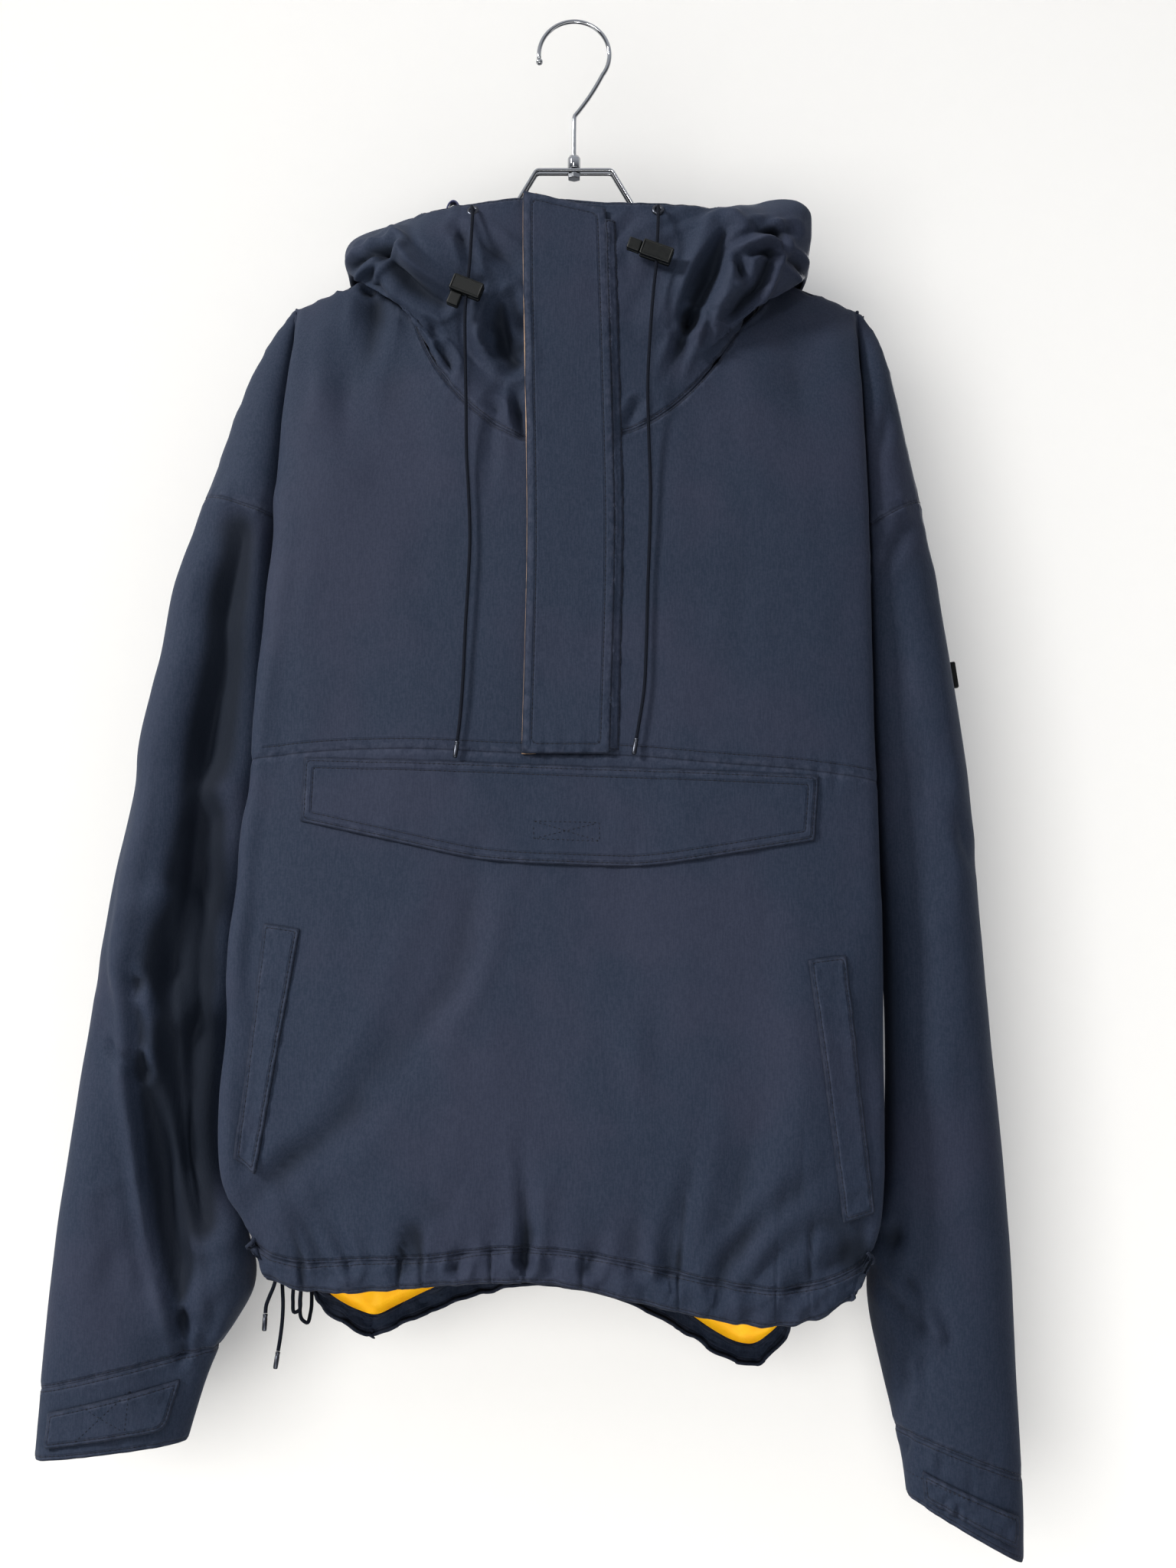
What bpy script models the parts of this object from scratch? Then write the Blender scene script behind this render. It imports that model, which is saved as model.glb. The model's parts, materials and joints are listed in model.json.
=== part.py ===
"""An anorak pullover with a fallen hood, on its chrome wire hanger.

Metres, +Z up. The front faces -Y, and left and right are the viewer's. The origin is the
inner top of the hanger's hook, and a "drop" is a distance below it, so z = -drop.

The cloth is a set of grids. A body column is numbered from the zip line: 0 is the zip
line, 1 the placket's edge, 6 the corner of neck and shoulder, 9 the front fold that hangs
from the end of the hanger, and 12 the valley behind that fold, where the armhole and the
side seam run. An arm is rings from that valley round the outside of the arm and back.
"""

import math

import bmesh
import bpy
import numpy as np
from mathutils import Matrix, Vector
from mathutils.bvhtree import BVHTree
from mathutils.kdtree import KDTree

# ------------------------------------------------------------------ driving dimensions
CLOTH = 0.0015
CASING_CLOTH = 0.0024
FLAP_CLOTH = 0.0018
LINING_CLOTH = 0.0010
LINING_LIFT = 0.0018
SEAM_GAP = 0.0004
MEET = 0.00005

# The hanger.
HOOK_WIRE = 0.00165
FRAME_WIRE = 0.0015
FRAME_SPREAD = 0.0034
HOOK_RADIUS = 0.0262
HOOK_BALL = 0.0026
HOOK_TURN = (186, -36, -9)
HOOK_BOW = 0.0012
HOOK_KNEE = ((0.0004, 0.0725), (0.0001, 0.0755), (0.0, 0.0800))
SHANK_END = 0.1168
BAR_DROP = 0.1155
BAR_HALF = 0.0277
LEG_FOOT = (0.059, 0.1695)
HANGER_END = (0.1935, 0.2250)
CORNER_RADIUS = 0.0038
FERRULE = {"radius": 0.0047, "neck": 0.0032, "top": 0.1033, "foot": 0.1134, "play": 0.0003}
NUT = {"radius": 0.0053, "top": 0.1175, "foot": 0.1212, "taper": 0.92}

# The body.
ZIP_X = -0.0045
SHOULDER_SLOPE = 0.42
SHOULDER_DROP = 0.161
SHOULDER_START = 0.06
SHOULDER_LEAN = 0.055
SHOULDER_ROUND = 0.006
FOLD_LOSS = 0.2
SHOULDER_END = 0.217
CHEST_MIDDLE = 0.568
CORNER, FOLD, VALLEY = 6, 9, 12
COLUMNS = (0, 1, 2, 3, 4, 5, 5.6, 6, 7, 8, 9, 10, 11, 12)
HOOD_COLUMNS = (0, 1, 2, 3, 4, 5, 5.6, 6, 6.4, 7, 8, 9, 10, 11, 12)
PLACKET_SHARE = 0.138
COLUMN_CROWDING = 1.25
ARMHOLE_ALONG = 0.45
YOKE_ROWS = (0, 0.012, 0.035, 0.10, 0.20, 0.32, ARMHOLE_ALONG, 0.56, 0.67, 0.78, 0.89, 1)
LOWER_ROWS = 8
CAP_COLUMNS = 6
ARM_ROUND = 0.8
ROLL_LEAN = 0.4
UPPER_COLUMNS = COLUMNS + tuple(range(VALLEY + 1, VALLEY + CAP_COLUMNS + 1))
HOOD_KNOTS = (0, 0.10, 0.45, 0.75, 1)
HOOD_ROWS = (0, 0.05, 0.10, 0.17, 0.25, 0.35, 0.45, 0.55, 0.65, 0.75, 0.83, 0.92, 1)
CASING_SPLIT = 3
CASING_ROWS = 2
CASING_BULGE = 0.004
CASING_ROUND = 0.8
GATHER_LIFT = 0.3
BACK_SHIFT = 0.5
LINING_ROWS = 3

# Trims.
PLACKET = {"lift": 0.0024, "thick": 0.0022, "rows": 11}
FACING = {"lift": 0.0008, "thick": 0.0010, "out": 0.0009, "width": 0.010}
FLAP_LIFT = 0.0010
CUFF_CLOTH = 0.0021
CUFF_TAB_LIFT = 0.0014
CUFF_TAB_TURN = (140, 48)
CUFF_TAB_ROWS = {"left": (0.28, 0.54, 0.80), "right": (0.30, 0.55, 0.80)}
EYELET = {"radius": 0.0043, "hole": 0.0020, "high": 0.0011, "lift": 0.0013}
CORD_RADIUS = 0.0011
HEM_CORD_RADIUS = 0.0013
TIP = {"radius": 0.0015, "length": 0.0115}
LOCK = {"long": 0.0225, "wide": 0.0115, "deep": 0.0085, "bevel": 0.0012, "bore": 0.0018}
PLUNGER = {"long": 0.0095, "wide": 0.0085, "deep": 0.0062, "gap": 0.0004, "bevel": 0.0008}


def slopes(keys, values):
    """The slope at each row, for a smooth curve through uneven rows."""
    return np.gradient(values, keys)


class Table:
    """Rows of named columns, read between the rows along smooth curves of the first."""

    def __init__(self, columns, rows):
        self.names = columns.split()
        self.rows = np.array(rows, float)

    def at(self, name, key):
        keys = self.rows[:, 0]
        values = self.rows[:, self.names.index(name)]
        slope = slopes(keys, values)
        key = np.clip(np.asarray(key, float), keys[0], keys[-1])
        row = np.clip(np.searchsorted(keys, key) - 1, 0, len(keys) - 2)
        span = keys[row + 1] - keys[row]
        t = (key - keys[row]) / span
        start = (1 + 2 * t) * (1 - t) ** 2 * values[row] + t * (1 - t) ** 2 * span * slope[row]
        end = t * t * (3 - 2 * t) * values[row + 1] + t * t * (t - 1) * span * slope[row + 1]
        return start + end


# The body by height: its front fold edges, its side seams and how deep it stands.
BODY = Table("drop fold_left fold_right side_left side_right front back", (
    (0.150, 0.1970, 0.2025, 0.203, 0.205, 0.046, 0.030),
    (0.217, 0.1970, 0.2025, 0.203, 0.205, 0.050, 0.036),
    (0.250, 0.2000, 0.2045, 0.203, 0.205, 0.052, 0.040),
    (0.302, 0.2055, 0.2055, 0.205, 0.205, 0.055, 0.043),
    (0.390, 0.2097, 0.2084, 0.209, 0.205, 0.059, 0.046),
    (0.468, 0.2157, 0.2087, 0.213, 0.205, 0.061, 0.047),
    (0.570, 0.2205, 0.2102, 0.216, 0.205, 0.063, 0.048),
    (0.647, 0.2268, 0.2104, 0.218, 0.203, 0.066, 0.049),
    (0.707, 0.2324, 0.2125, 0.221, 0.202, 0.068, 0.050),
    (0.774, 0.2361, 0.2115, 0.225, 0.202, 0.071, 0.051),
    (0.826, 0.2360, 0.2105, 0.225, 0.200, 0.072, 0.050),
    (0.858, 0.2297, 0.2108, 0.219, 0.199, 0.070, 0.047),
    (0.886, 0.2158, 0.2053, 0.206, 0.196, 0.068, 0.043),
    (0.915, 0.2010, 0.1920, 0.193, 0.186, 0.066, 0.041),
    (0.945, 0.1880, 0.1740, 0.184, 0.170, 0.062, 0.040),
))

# The chest seam, from side to side.
CHEST = Table("x drop", (
    (-0.2180, 0.5605), (-0.1833, 0.5566), (-0.1167, 0.5545), (-0.0340, 0.5582),
    (0.0269, 0.5587), (0.0945, 0.5645), (0.1673, 0.5697), (0.2100, 0.5755),
))

# The neck seam in front, by column from the zip line to the shoulder's corner.
NECK = {
    "left": Table("column x drop", (
        (0, 0.0045, 0.3385), (1, 0.0325, 0.3380), (2, 0.0577, 0.3250), (3, 0.0880, 0.2970),
        (4, 0.1115, 0.2520), (5, 0.1205, 0.2130), (6, 0.1225, 0.1873),
    )),
    "right": Table("column x drop", (
        (0, -0.0045, 0.3385), (1, 0.0265, 0.3340), (2, 0.0568, 0.3243), (3, 0.0930, 0.2910),
        (4, 0.1205, 0.2470), (5, 0.1342, 0.2160), (6, 0.1370, 0.1933),
    )),
}

# The neck seam behind, by column from the centre of the back to the corner.
NAPE = {
    "left": Table("column x drop", (
        (0, 0.0000, 0.2120), (2, 0.0480, 0.2100), (4, 0.0900, 0.2010), (6, 0.1225, 0.1873),
    )),
    "right": Table("column x drop", (
        (0, 0.0000, 0.2120), (2, 0.0530, 0.2105), (4, 0.0990, 0.2040), (6, 0.1370, 0.1933),
    )),
}

# The arms, from the end of the hanger to the cuff: the outer and inner edge and the depth.
# Along 0.45 is the top of the armhole, 1 the underarm, 2.2 the cuff's seam and 2.5 its end.
ARM = {
    "left": Table("along out_x out_drop in_x in_drop front back valley", (
        (0.00, 0.2065, 0.2230, 0.2030, 0.2210, 0.000, 0.000, 0.0015),
        (0.10, 0.2180, 0.2430, 0.2032, 0.2560, 0.013, 0.010, 0.007),
        (0.20, 0.2300, 0.2620, 0.2042, 0.2900, 0.021, 0.017, 0.010),
        (0.32, 0.2460, 0.3020, 0.2060, 0.3350, 0.030, 0.025, 0.013),
        (0.45, 0.2665, 0.3640, 0.2090, 0.3840, 0.037, 0.031, 0.014),
        (0.70, 0.2905, 0.4600, 0.2135, 0.4700, 0.041, 0.036, 0.010),
        (1.00, 0.3110, 0.5750, 0.2160, 0.5700, 0.042, 0.040, 0.000),
        (1.25, 0.3265, 0.6500, 0.2290, 0.6550, 0.042, 0.042, 0.000),
        (1.50, 0.3420, 0.7520, 0.2365, 0.7550, 0.041, 0.041, 0.000),
        (1.75, 0.3545, 0.8450, 0.2380, 0.8450, 0.038, 0.038, 0.000),
        (2.00, 0.3640, 0.9250, 0.2130, 0.9150, 0.034, 0.034, 0.000),
        (2.20, 0.3675, 0.9890, 0.2410, 0.9590, 0.025, 0.025, 0.000),
        (2.50, 0.3700, 1.0360, 0.2620, 1.0230, 0.021, 0.021, 0.000),
    )),
    "right": Table("along out_x out_drop in_x in_drop front back valley", (
        (0.00, 0.2110, 0.2250, 0.2075, 0.2230, 0.000, 0.000, 0.0015),
        (0.10, 0.2210, 0.2420, 0.2065, 0.2580, 0.013, 0.010, 0.007),
        (0.20, 0.2290, 0.2620, 0.2055, 0.2920, 0.021, 0.017, 0.010),
        (0.32, 0.2375, 0.3050, 0.2050, 0.3390, 0.029, 0.024, 0.013),
        (0.45, 0.2500, 0.3665, 0.2050, 0.3920, 0.034, 0.030, 0.014),
        (0.70, 0.2655, 0.4700, 0.2050, 0.4830, 0.037, 0.034, 0.010),
        (1.00, 0.2815, 0.5750, 0.2050, 0.5850, 0.039, 0.038, 0.000),
        (1.25, 0.2880, 0.6660, 0.2150, 0.6650, 0.040, 0.040, 0.000),
        (1.50, 0.2930, 0.7450, 0.2170, 0.7550, 0.040, 0.040, 0.000),
        (1.75, 0.3000, 0.8300, 0.2130, 0.8450, 0.038, 0.038, 0.000),
        (2.00, 0.3050, 0.9300, 0.1990, 0.9250, 0.034, 0.034, 0.000),
        (2.20, 0.3090, 1.0480, 0.2185, 1.0130, 0.026, 0.026, 0.000),
        (2.50, 0.3070, 1.1040, 0.2250, 1.0580, 0.023, 0.023, 0.000),
    )),
}
UNDERARM, CUFF_SEAM, CUFF_END = 1.0, 2.2, 2.5
ARM_ROWS = (0.45, 0.56, 0.67, 0.78, 0.89, 1, 1.1, 1.2, 1.3, 1.4, 1.48, 1.56, 1.66, 1.76, 1.87,
            1.98, 2.09, 2.2)
CUFF_ROWS = (2.2, 2.3, 2.4, 2.5)

# The hood: each section stands up from the neck seam in a roll, then passes through a low
# place, a high place and its rim. Columns 0 to 6 are in front, 12 is the centre behind.
HOOD_TABLE = "column out up low_x low_y low_drop high_x high_y high_drop rim_x rim_y rim_drop"
HOOD = {
    "left": Table(HOOD_TABLE, (
        (0, 0.000, 0.015, 0.005, -0.061, 0.275, 0.006, -0.060, 0.205, 0.006, -0.051, 0.157),
        (1, 0.000, 0.015, 0.034, -0.058, 0.275, 0.036, -0.061, 0.205, 0.036, -0.052, 0.1555),
        (2, 0.000, 0.013, 0.060, -0.048, 0.268, 0.062, -0.065, 0.205, 0.060, -0.052, 0.160),
        (3, 0.003, 0.012, 0.094, -0.051, 0.257, 0.096, -0.070, 0.205, 0.088, -0.049, 0.161),
        (4, 0.008, 0.011, 0.122, -0.054, 0.236, 0.127, -0.068, 0.197, 0.107, -0.040, 0.163),
        (5, 0.009, 0.015, 0.150, -0.036, 0.217, 0.160, -0.040, 0.188, 0.118, -0.018, 0.158),
        (6, 0.005, 0.015, 0.163, -0.004, 0.1980, 0.163, -0.004, 0.170, 0.122, 0.004, 0.153),
        (7, 0.010, 0.020, 0.160, 0.034, 0.210, 0.160, 0.042, 0.172, 0.116, 0.030, 0.154),
        (8, 0.015, 0.014, 0.135, 0.064, 0.300, 0.150, 0.085, 0.235, 0.106, 0.054, 0.157),
        (9, 0.016, 0.014, 0.105, 0.076, 0.370, 0.120, 0.104, 0.300, 0.088, 0.072, 0.163),
        (10, 0.016, 0.014, 0.070, 0.081, 0.410, 0.085, 0.113, 0.325, 0.060, 0.084, 0.170),
        (11, 0.016, 0.014, 0.035, 0.083, 0.425, 0.042, 0.117, 0.335, 0.030, 0.090, 0.175),
        (12, 0.016, 0.014, 0.000, 0.084, 0.430, 0.000, 0.118, 0.338, 0.000, 0.092, 0.176),
    )),
    "right": Table(HOOD_TABLE, (
        (0, 0.000, 0.015, -0.005, -0.061, 0.275, -0.006, -0.060, 0.205, -0.006, -0.051, 0.157),
        (1, 0.000, 0.015, 0.0275, -0.061, 0.275, 0.0265, -0.061, 0.205, 0.0235, -0.051, 0.160),
        (2, 0.000, 0.013, 0.058, -0.060, 0.268, 0.058, -0.063, 0.205, 0.048, -0.052, 0.160),
        (3, 0.003, 0.012, 0.100, -0.059, 0.252, 0.098, -0.067, 0.200, 0.080, -0.049, 0.160),
        (4, 0.008, 0.011, 0.135, -0.057, 0.235, 0.140, -0.066, 0.183, 0.102, -0.040, 0.157),
        (5, 0.009, 0.015, 0.162, -0.036, 0.217, 0.167, -0.036, 0.160, 0.114, -0.020, 0.151),
        (6, 0.005, 0.015, 0.171, -0.004, 0.2010, 0.163, -0.004, 0.145, 0.118, 0.004, 0.1450),
        (7, 0.010, 0.021, 0.167, 0.034, 0.213, 0.162, 0.041, 0.151, 0.112, 0.030, 0.149),
        (8, 0.015, 0.014, 0.140, 0.064, 0.300, 0.153, 0.085, 0.225, 0.103, 0.054, 0.154),
        (9, 0.016, 0.014, 0.107, 0.076, 0.370, 0.122, 0.104, 0.297, 0.086, 0.072, 0.162),
        (10, 0.016, 0.014, 0.070, 0.081, 0.410, 0.085, 0.113, 0.325, 0.060, 0.084, 0.170),
        (11, 0.016, 0.014, 0.035, 0.083, 0.425, 0.042, 0.117, 0.335, 0.030, 0.090, 0.175),
        (12, 0.016, 0.014, 0.000, 0.084, 0.430, 0.000, 0.118, 0.338, 0.000, 0.092, 0.176),
    )),
}

# The hem by its place across, -12 to 12 as the columns are numbered: the casings' seams and
# edges in front and behind. The back hangs lower in a lobe at each side.
HEM = Table("column front_seam front_edge back_seam back_edge", (
    (-12.0, 0.880, 0.903, 0.880, 0.903),
    (-9.0, 0.885, 0.9075, 0.892, 0.912),
    (-7.4, 0.899, 0.9165, 0.931, 0.948),
    (-6.4, 0.898, 0.9175, 0.944, 0.960),
    (-5.2, 0.896, 0.9165, 0.937, 0.953),
    (-3.2, 0.8945, 0.9125, 0.918, 0.936),
    (-1.4, 0.888, 0.9105, 0.906, 0.926),
    (0.0, 0.890, 0.9125, 0.908, 0.928),
    (1.4, 0.897, 0.921, 0.916, 0.936),
    (3.2, 0.907, 0.931, 0.937, 0.955),
    (5.0, 0.915, 0.9385, 0.961, 0.977),
    (6.2, 0.9155, 0.940, 0.962, 0.979),
    (7.4, 0.910, 0.937, 0.938, 0.956),
    (9.0, 0.896, 0.921, 0.899, 0.921),
    (12.0, 0.885, 0.908, 0.885, 0.908),
))

# The gathers of the hem: their place across, how deep they pinch and how wide they are.
GATHERS = Table("column depth width", (
    (-10.6, 0.0030, 0.35), (-8.4, 0.0034, 0.30), (-6.9, 0.0048, 0.26), (-6.3, 0.0030, 0.24),
    (-5.2, 0.0030, 0.34), (-4.2, 0.0036, 0.30), (-3.2, 0.0026, 0.34), (-2.2, 0.0032, 0.30),
    (-1.0, 0.0052, 0.24), (-0.4, 0.0050, 0.22), (0.9, 0.0030, 0.34), (2.0, 0.0038, 0.30),
    (3.1, 0.0030, 0.32), (4.1, 0.0042, 0.28), (5.2, 0.0034, 0.34), (6.2, 0.0044, 0.28),
    (7.3, 0.0034, 0.32), (8.5, 0.0038, 0.30), (10.4, 0.0030, 0.36),
))

# The largest folds. Each is a trough from one end to the other, deep if its depth is
# positive and a ridge if it is negative.
FOLD_TABLE = "x0 drop0 x1 drop1 width depth"
FRONT_FOLDS = Table(FOLD_TABLE, (
    (-0.047, 0.245, -0.047, 0.300, 0.010, 0.008),
    (-0.145, 0.218, -0.080, 0.236, 0.008, 0.005),
    (0.103, 0.180, 0.072, 0.262, 0.012, 0.013),
    (0.150, 0.192, 0.118, 0.204, 0.010, 0.010),
    (-0.190, 0.230, -0.165, 0.330, 0.012, 0.003),
    (-0.166, 0.215, -0.150, 0.300, 0.010, 0.003),
    (0.158, 0.700, 0.150, 0.840, 0.022, -0.003),
    (-0.150, 0.880, -0.175, 0.840, 0.016, 0.007),
    (-0.028, 0.884, -0.030, 0.845, 0.009, 0.007),
    (0.100, 0.905, 0.150, 0.870, 0.018, -0.005),
))
SLEEVE_FOLDS = Table(FOLD_TABLE, (
    (-0.308, 0.752, -0.272, 0.985, 0.016, 0.022),
    (-0.330, 0.735, -0.300, 0.752, 0.012, 0.009),
    (-0.245, 0.925, -0.262, 0.955, 0.012, 0.006),
    (-0.262, 0.372, -0.220, 0.470, 0.012, 0.008),
    (-0.285, 0.420, -0.235, 0.560, 0.014, 0.006),
    (0.250, 0.378, 0.222, 0.480, 0.011, 0.007),
    (0.212, 0.905, 0.262, 0.965, 0.013, 0.007),
    (0.222, 0.960, 0.250, 1.010, 0.010, 0.006),
    (0.205, 0.870, 0.235, 0.900, 0.012, 0.008),
))
BACK_FOLDS = Table(FOLD_TABLE, (
    (-0.170, 0.250, -0.120, 0.420, 0.018, 0.006),
    (0.172, 0.255, 0.118, 0.430, 0.018, 0.006),
    (-0.060, 0.560, -0.085, 0.820, 0.024, 0.005),
    (0.050, 0.600, 0.075, 0.860, 0.022, 0.006),
    (-0.150, 0.900, -0.130, 0.780, 0.018, 0.007),
    (0.140, 0.915, 0.150, 0.800, 0.018, 0.007),
    (0.000, 0.480, 0.010, 0.700, 0.026, -0.004),
))
SLEEVE_BACK_FOLDS = Table(FOLD_TABLE, (
    (-0.315, 0.720, -0.250, 0.800, 0.016, 0.010),
    (-0.330, 0.840, -0.280, 0.930, 0.015, 0.008),
    (-0.270, 0.400, -0.235, 0.560, 0.014, 0.007),
    (0.280, 0.720, 0.235, 0.800, 0.014, 0.009),
    (0.290, 0.900, 0.240, 0.980, 0.014, 0.007),
    (0.255, 0.400, 0.225, 0.540, 0.012, 0.006),
))

# What lies on the front, by the corners of each piece: (x, drop).
PLACKET_EDGES = Table("drop left right", (
    (0.1560, -0.0350, 0.0221), (0.1700, -0.0350, 0.0225), (0.3000, -0.0328, 0.0262),
    (0.3960, -0.0310, 0.0282), (0.5570, -0.0340, 0.0243),
))
PLACKET_TOP = (0.1545, 0.1675)
FLAP_EDGE = Table("share left_x drop", (
    (0.0, -0.1841, 0.6036), (0.36, -0.0578, 0.6321), (0.68, 0.0510, 0.6357), (1.0, 0.1631, 0.6171),
))
FLAP_TOP = ((-0.1827, 0.5610), (0.1668, 0.5735))
WELT_LEFT = ((-0.2081, 0.6742), (-0.1844, 0.6778), (-0.2110, 0.8390), (-0.2235, 0.8290))
WELT_RIGHT = ((0.1588, 0.6988), (0.1830, 0.6957), (0.2000, 0.8650), (0.1800, 0.8709))

# The cords' routes: x, y, drop. A hood cord starts in its eyelet, which is at (x, drop).
HOOD_CORD_LEFT = (
    (-0.0710, -0.0640, 0.1735), (-0.0710, -0.0680, 0.1810), (-0.0714, -0.0715, 0.1950),
    (-0.0728, -0.0735, 0.2200), (-0.0741, -0.0738, 0.2316), (-0.0752, -0.0735, 0.2480),
    (-0.0752, -0.0715, 0.2700), (-0.0744, -0.0690, 0.3100), (-0.0738, -0.0675, 0.3500),
    (-0.0722, -0.0680, 0.3765), (-0.0710, -0.0690, 0.4090), (-0.0720, -0.0700, 0.4400),
    (-0.0735, -0.0710, 0.4700), (-0.0750, -0.0720, 0.5100), (-0.0774, -0.0725, 0.5420),
    (-0.0784, -0.0726, 0.5500),
)
HOOD_CORD_RIGHT = (
    (0.0597, -0.0635, 0.1728), (0.0595, -0.0675, 0.1800), (0.0591, -0.0710, 0.1900),
    (0.0585, -0.0728, 0.2000), (0.0582, -0.0730, 0.2060), (0.0578, -0.0730, 0.2150),
    (0.0560, -0.0715, 0.2320), (0.0538, -0.0700, 0.2600), (0.0518, -0.0685, 0.3000),
    (0.0524, -0.0675, 0.3350), (0.0534, -0.0680, 0.3765), (0.0526, -0.0690, 0.4100),
    (0.0512, -0.0700, 0.4450), (0.0500, -0.0712, 0.4850), (0.0484, -0.0720, 0.5150),
    (0.0442, -0.0725, 0.5420), (0.0432, -0.0726, 0.5480),
)
EYELET_LEFT = (-0.0713, 0.1680)
EYELET_RIGHT = (0.0598, 0.1673)
HEM_CORD_A = (
    (-0.2010, -0.0300, 0.9110), (-0.2024, -0.0302, 0.9170), (-0.2052, -0.0306, 0.9240),
    (-0.2072, -0.0310, 0.9300), (-0.2075, -0.0312, 0.9345),
)
HEM_CORD_B = (
    (-0.1975, -0.0260, 0.9120), (-0.1970, -0.0262, 0.9190), (-0.1964, -0.0266, 0.9290),
    (-0.1966, -0.0270, 0.9390), (-0.1976, -0.0274, 0.9500), (-0.1990, -0.0278, 0.9600),
)
HEM_LOOP_A = (
    (-0.1925, 0.0020, 0.9110), (-0.1934, 0.0022, 0.9200), (-0.1938, 0.0026, 0.9310),
    (-0.1925, 0.0030, 0.9385), (-0.1900, 0.0034, 0.9375), (-0.1888, 0.0040, 0.9290),
    (-0.1890, 0.0050, 0.9190), (-0.1900, 0.0060, 0.9115),
)
HEM_LOOP_B = (
    (-0.1885, 0.0110, 0.9135), (-0.1894, 0.0108, 0.9230), (-0.1900, 0.0104, 0.9350),
    (-0.1880, 0.0100, 0.9445), (-0.1848, 0.0100, 0.9465), (-0.1826, 0.0106, 0.9400),
    (-0.1820, 0.0116, 0.9290), (-0.1830, 0.0130, 0.9190),
)
LOCK_LEFT = {"drop": 0.2316, "turn": -22, "plunger": "down"}
LOCK_RIGHT = {"drop": 0.2060, "turn": -20, "plunger": "left"}
SLEEVE_TAB = {"along": 0.76, "wide": 0.0050, "long": 0.0190, "high": 0.0042}
HANG_LOOP = {"x": -0.0860, "y": -0.0440, "drop": 0.1555, "wide": 0.007, "rise": 0.012,
             "half": 0.0055, "thick": 0.0010}

NAVY = (0.021, 0.026, 0.043, 1)
YELLOW = (0.94, 0.42, 0.02, 1)
ORANGE = (0.86, 0.38, 0.10, 1)
BLACK = (0.012, 0.012, 0.014, 1)
CHROME = (0.78, 0.78, 0.80, 1)


# ------------------------------------------------------------------------- scene helpers
def clear_scene():
    for thing in list(bpy.data.objects):
        bpy.data.objects.remove(thing, do_unlink=True)


def new_collection(name):
    collection = bpy.data.collections.new(name)
    bpy.context.scene.collection.children.link(collection)
    return collection


def new_material(name, colour, roughness, metallic=0.0):
    material = bpy.data.materials.new(name)
    material.use_nodes = True
    shader = material.node_tree.nodes["Principled BSDF"]
    shader.inputs["Base Color"].default_value = colour
    shader.inputs["Roughness"].default_value = roughness
    shader.inputs["Metallic"].default_value = metallic
    return material


clear_scene()
PARTS = new_collection("anorak")
CUTTERS = new_collection("cutters")
SHELL = new_material("shell cloth", NAVY, 0.85)
LINING = new_material("lining", YELLOW, 0.75)
EDGING = new_material("facing", ORANGE, 0.8)
CORD = new_material("cord", BLACK, 0.7)
PLASTIC = new_material("black plastic", BLACK, 0.4)
METAL = new_material("chrome", CHROME, 0.12, 1.0)


def add_object(name, data, material, collection=PARTS):
    thing = bpy.data.objects.new(name, data)
    thing.data.materials.append(material)
    collection.objects.link(thing)
    return thing


def shade(mesh, angle=35):
    mesh.shade_smooth()
    mesh.set_sharp_from_angle(angle=math.radians(angle))


# ------------------------------------------------------------------------- cloth surfaces
def sign_of(side):
    return -1 if side == "left" else 1


def ridge_drop(x):
    """The drop of the shoulder line over the hanger's wires."""
    return SHOULDER_DROP + SHOULDER_SLOPE * (np.abs(x) - SHOULDER_START)


def trough(x, drop, folds):
    """How far the folds press in at a place, each tapering to nothing at its ends."""
    total = np.zeros(np.broadcast(x, drop).shape)
    for x0, drop0, x1, drop1, width, depth in folds.rows:
        run = np.array((x1 - x0, drop1 - drop0))
        along = ((x - x0) * run[0] + (drop - drop0) * run[1]) / run.dot(run)
        held = np.clip(along, 0, 1)
        away = np.hypot(x - x0 - held * run[0], drop - drop0 - held * run[1])
        taper = np.sin(math.pi * np.clip(0.12 + 0.76 * held, 0, 1))
        total = total + depth * taper * np.exp(-((away / width) ** 2))
    return total


def fold_x(side, drop):
    return BODY.at("fold_" + side, drop)


def body_depth(x, drop, face):
    """How far the front or back stands from the hanger's plane, before its folds."""
    fold = np.where(x < 0, fold_x("left", drop), fold_x("right", drop))
    flat = 1 - FOLD_LOSS * np.minimum(np.abs(x) / fold, 1) ** 4
    below = np.maximum(drop - ridge_drop(x), 0)
    lean = 1 - np.exp(-below / SHOULDER_LEAN)
    near = 1 - np.minimum(below / SHOULDER_ROUND, 1)
    return flat * BODY.at(face, drop) * lean + SHOULDER_ROUND * np.sqrt(1 - near**2)


def face_y(x, drop, face):
    """The y of the front's or the back's cloth, with its folds."""
    folds = FRONT_FOLDS if face == "front" else BACK_FOLDS
    below = np.maximum(drop - ridge_drop(x), 0)
    eased = np.minimum(below / SHOULDER_LEAN, 1)
    depth = body_depth(x, drop, face) - trough(x, drop, folds) * eased
    return -depth if face == "front" else depth


def share_across(column):
    """How far a column stands from the zip line to the fold, from 0 to 1."""
    column = np.clip(column, 0, FOLD)
    past = np.clip((column - 1) / (FOLD - 1), 0, 1)
    spread = PLACKET_SHARE + (1 - PLACKET_SHARE) * (1 - (1 - past) ** COLUMN_CROWDING)
    return np.where(column < 1, PLACKET_SHARE * column, spread)


def column_x(side, column, drop, face):
    """The x of a body column at a height. Behind, column 0 is the centre of the back."""
    share = share_across(column)
    middle = ZIP_X if face == "front" else 0
    return middle * (1 - share) + sign_of(side) * fold_x(side, drop) * share


def points(x, y, drop):
    return np.stack(np.broadcast_arrays(x, y, -np.asarray(drop)), axis=-1)


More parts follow.
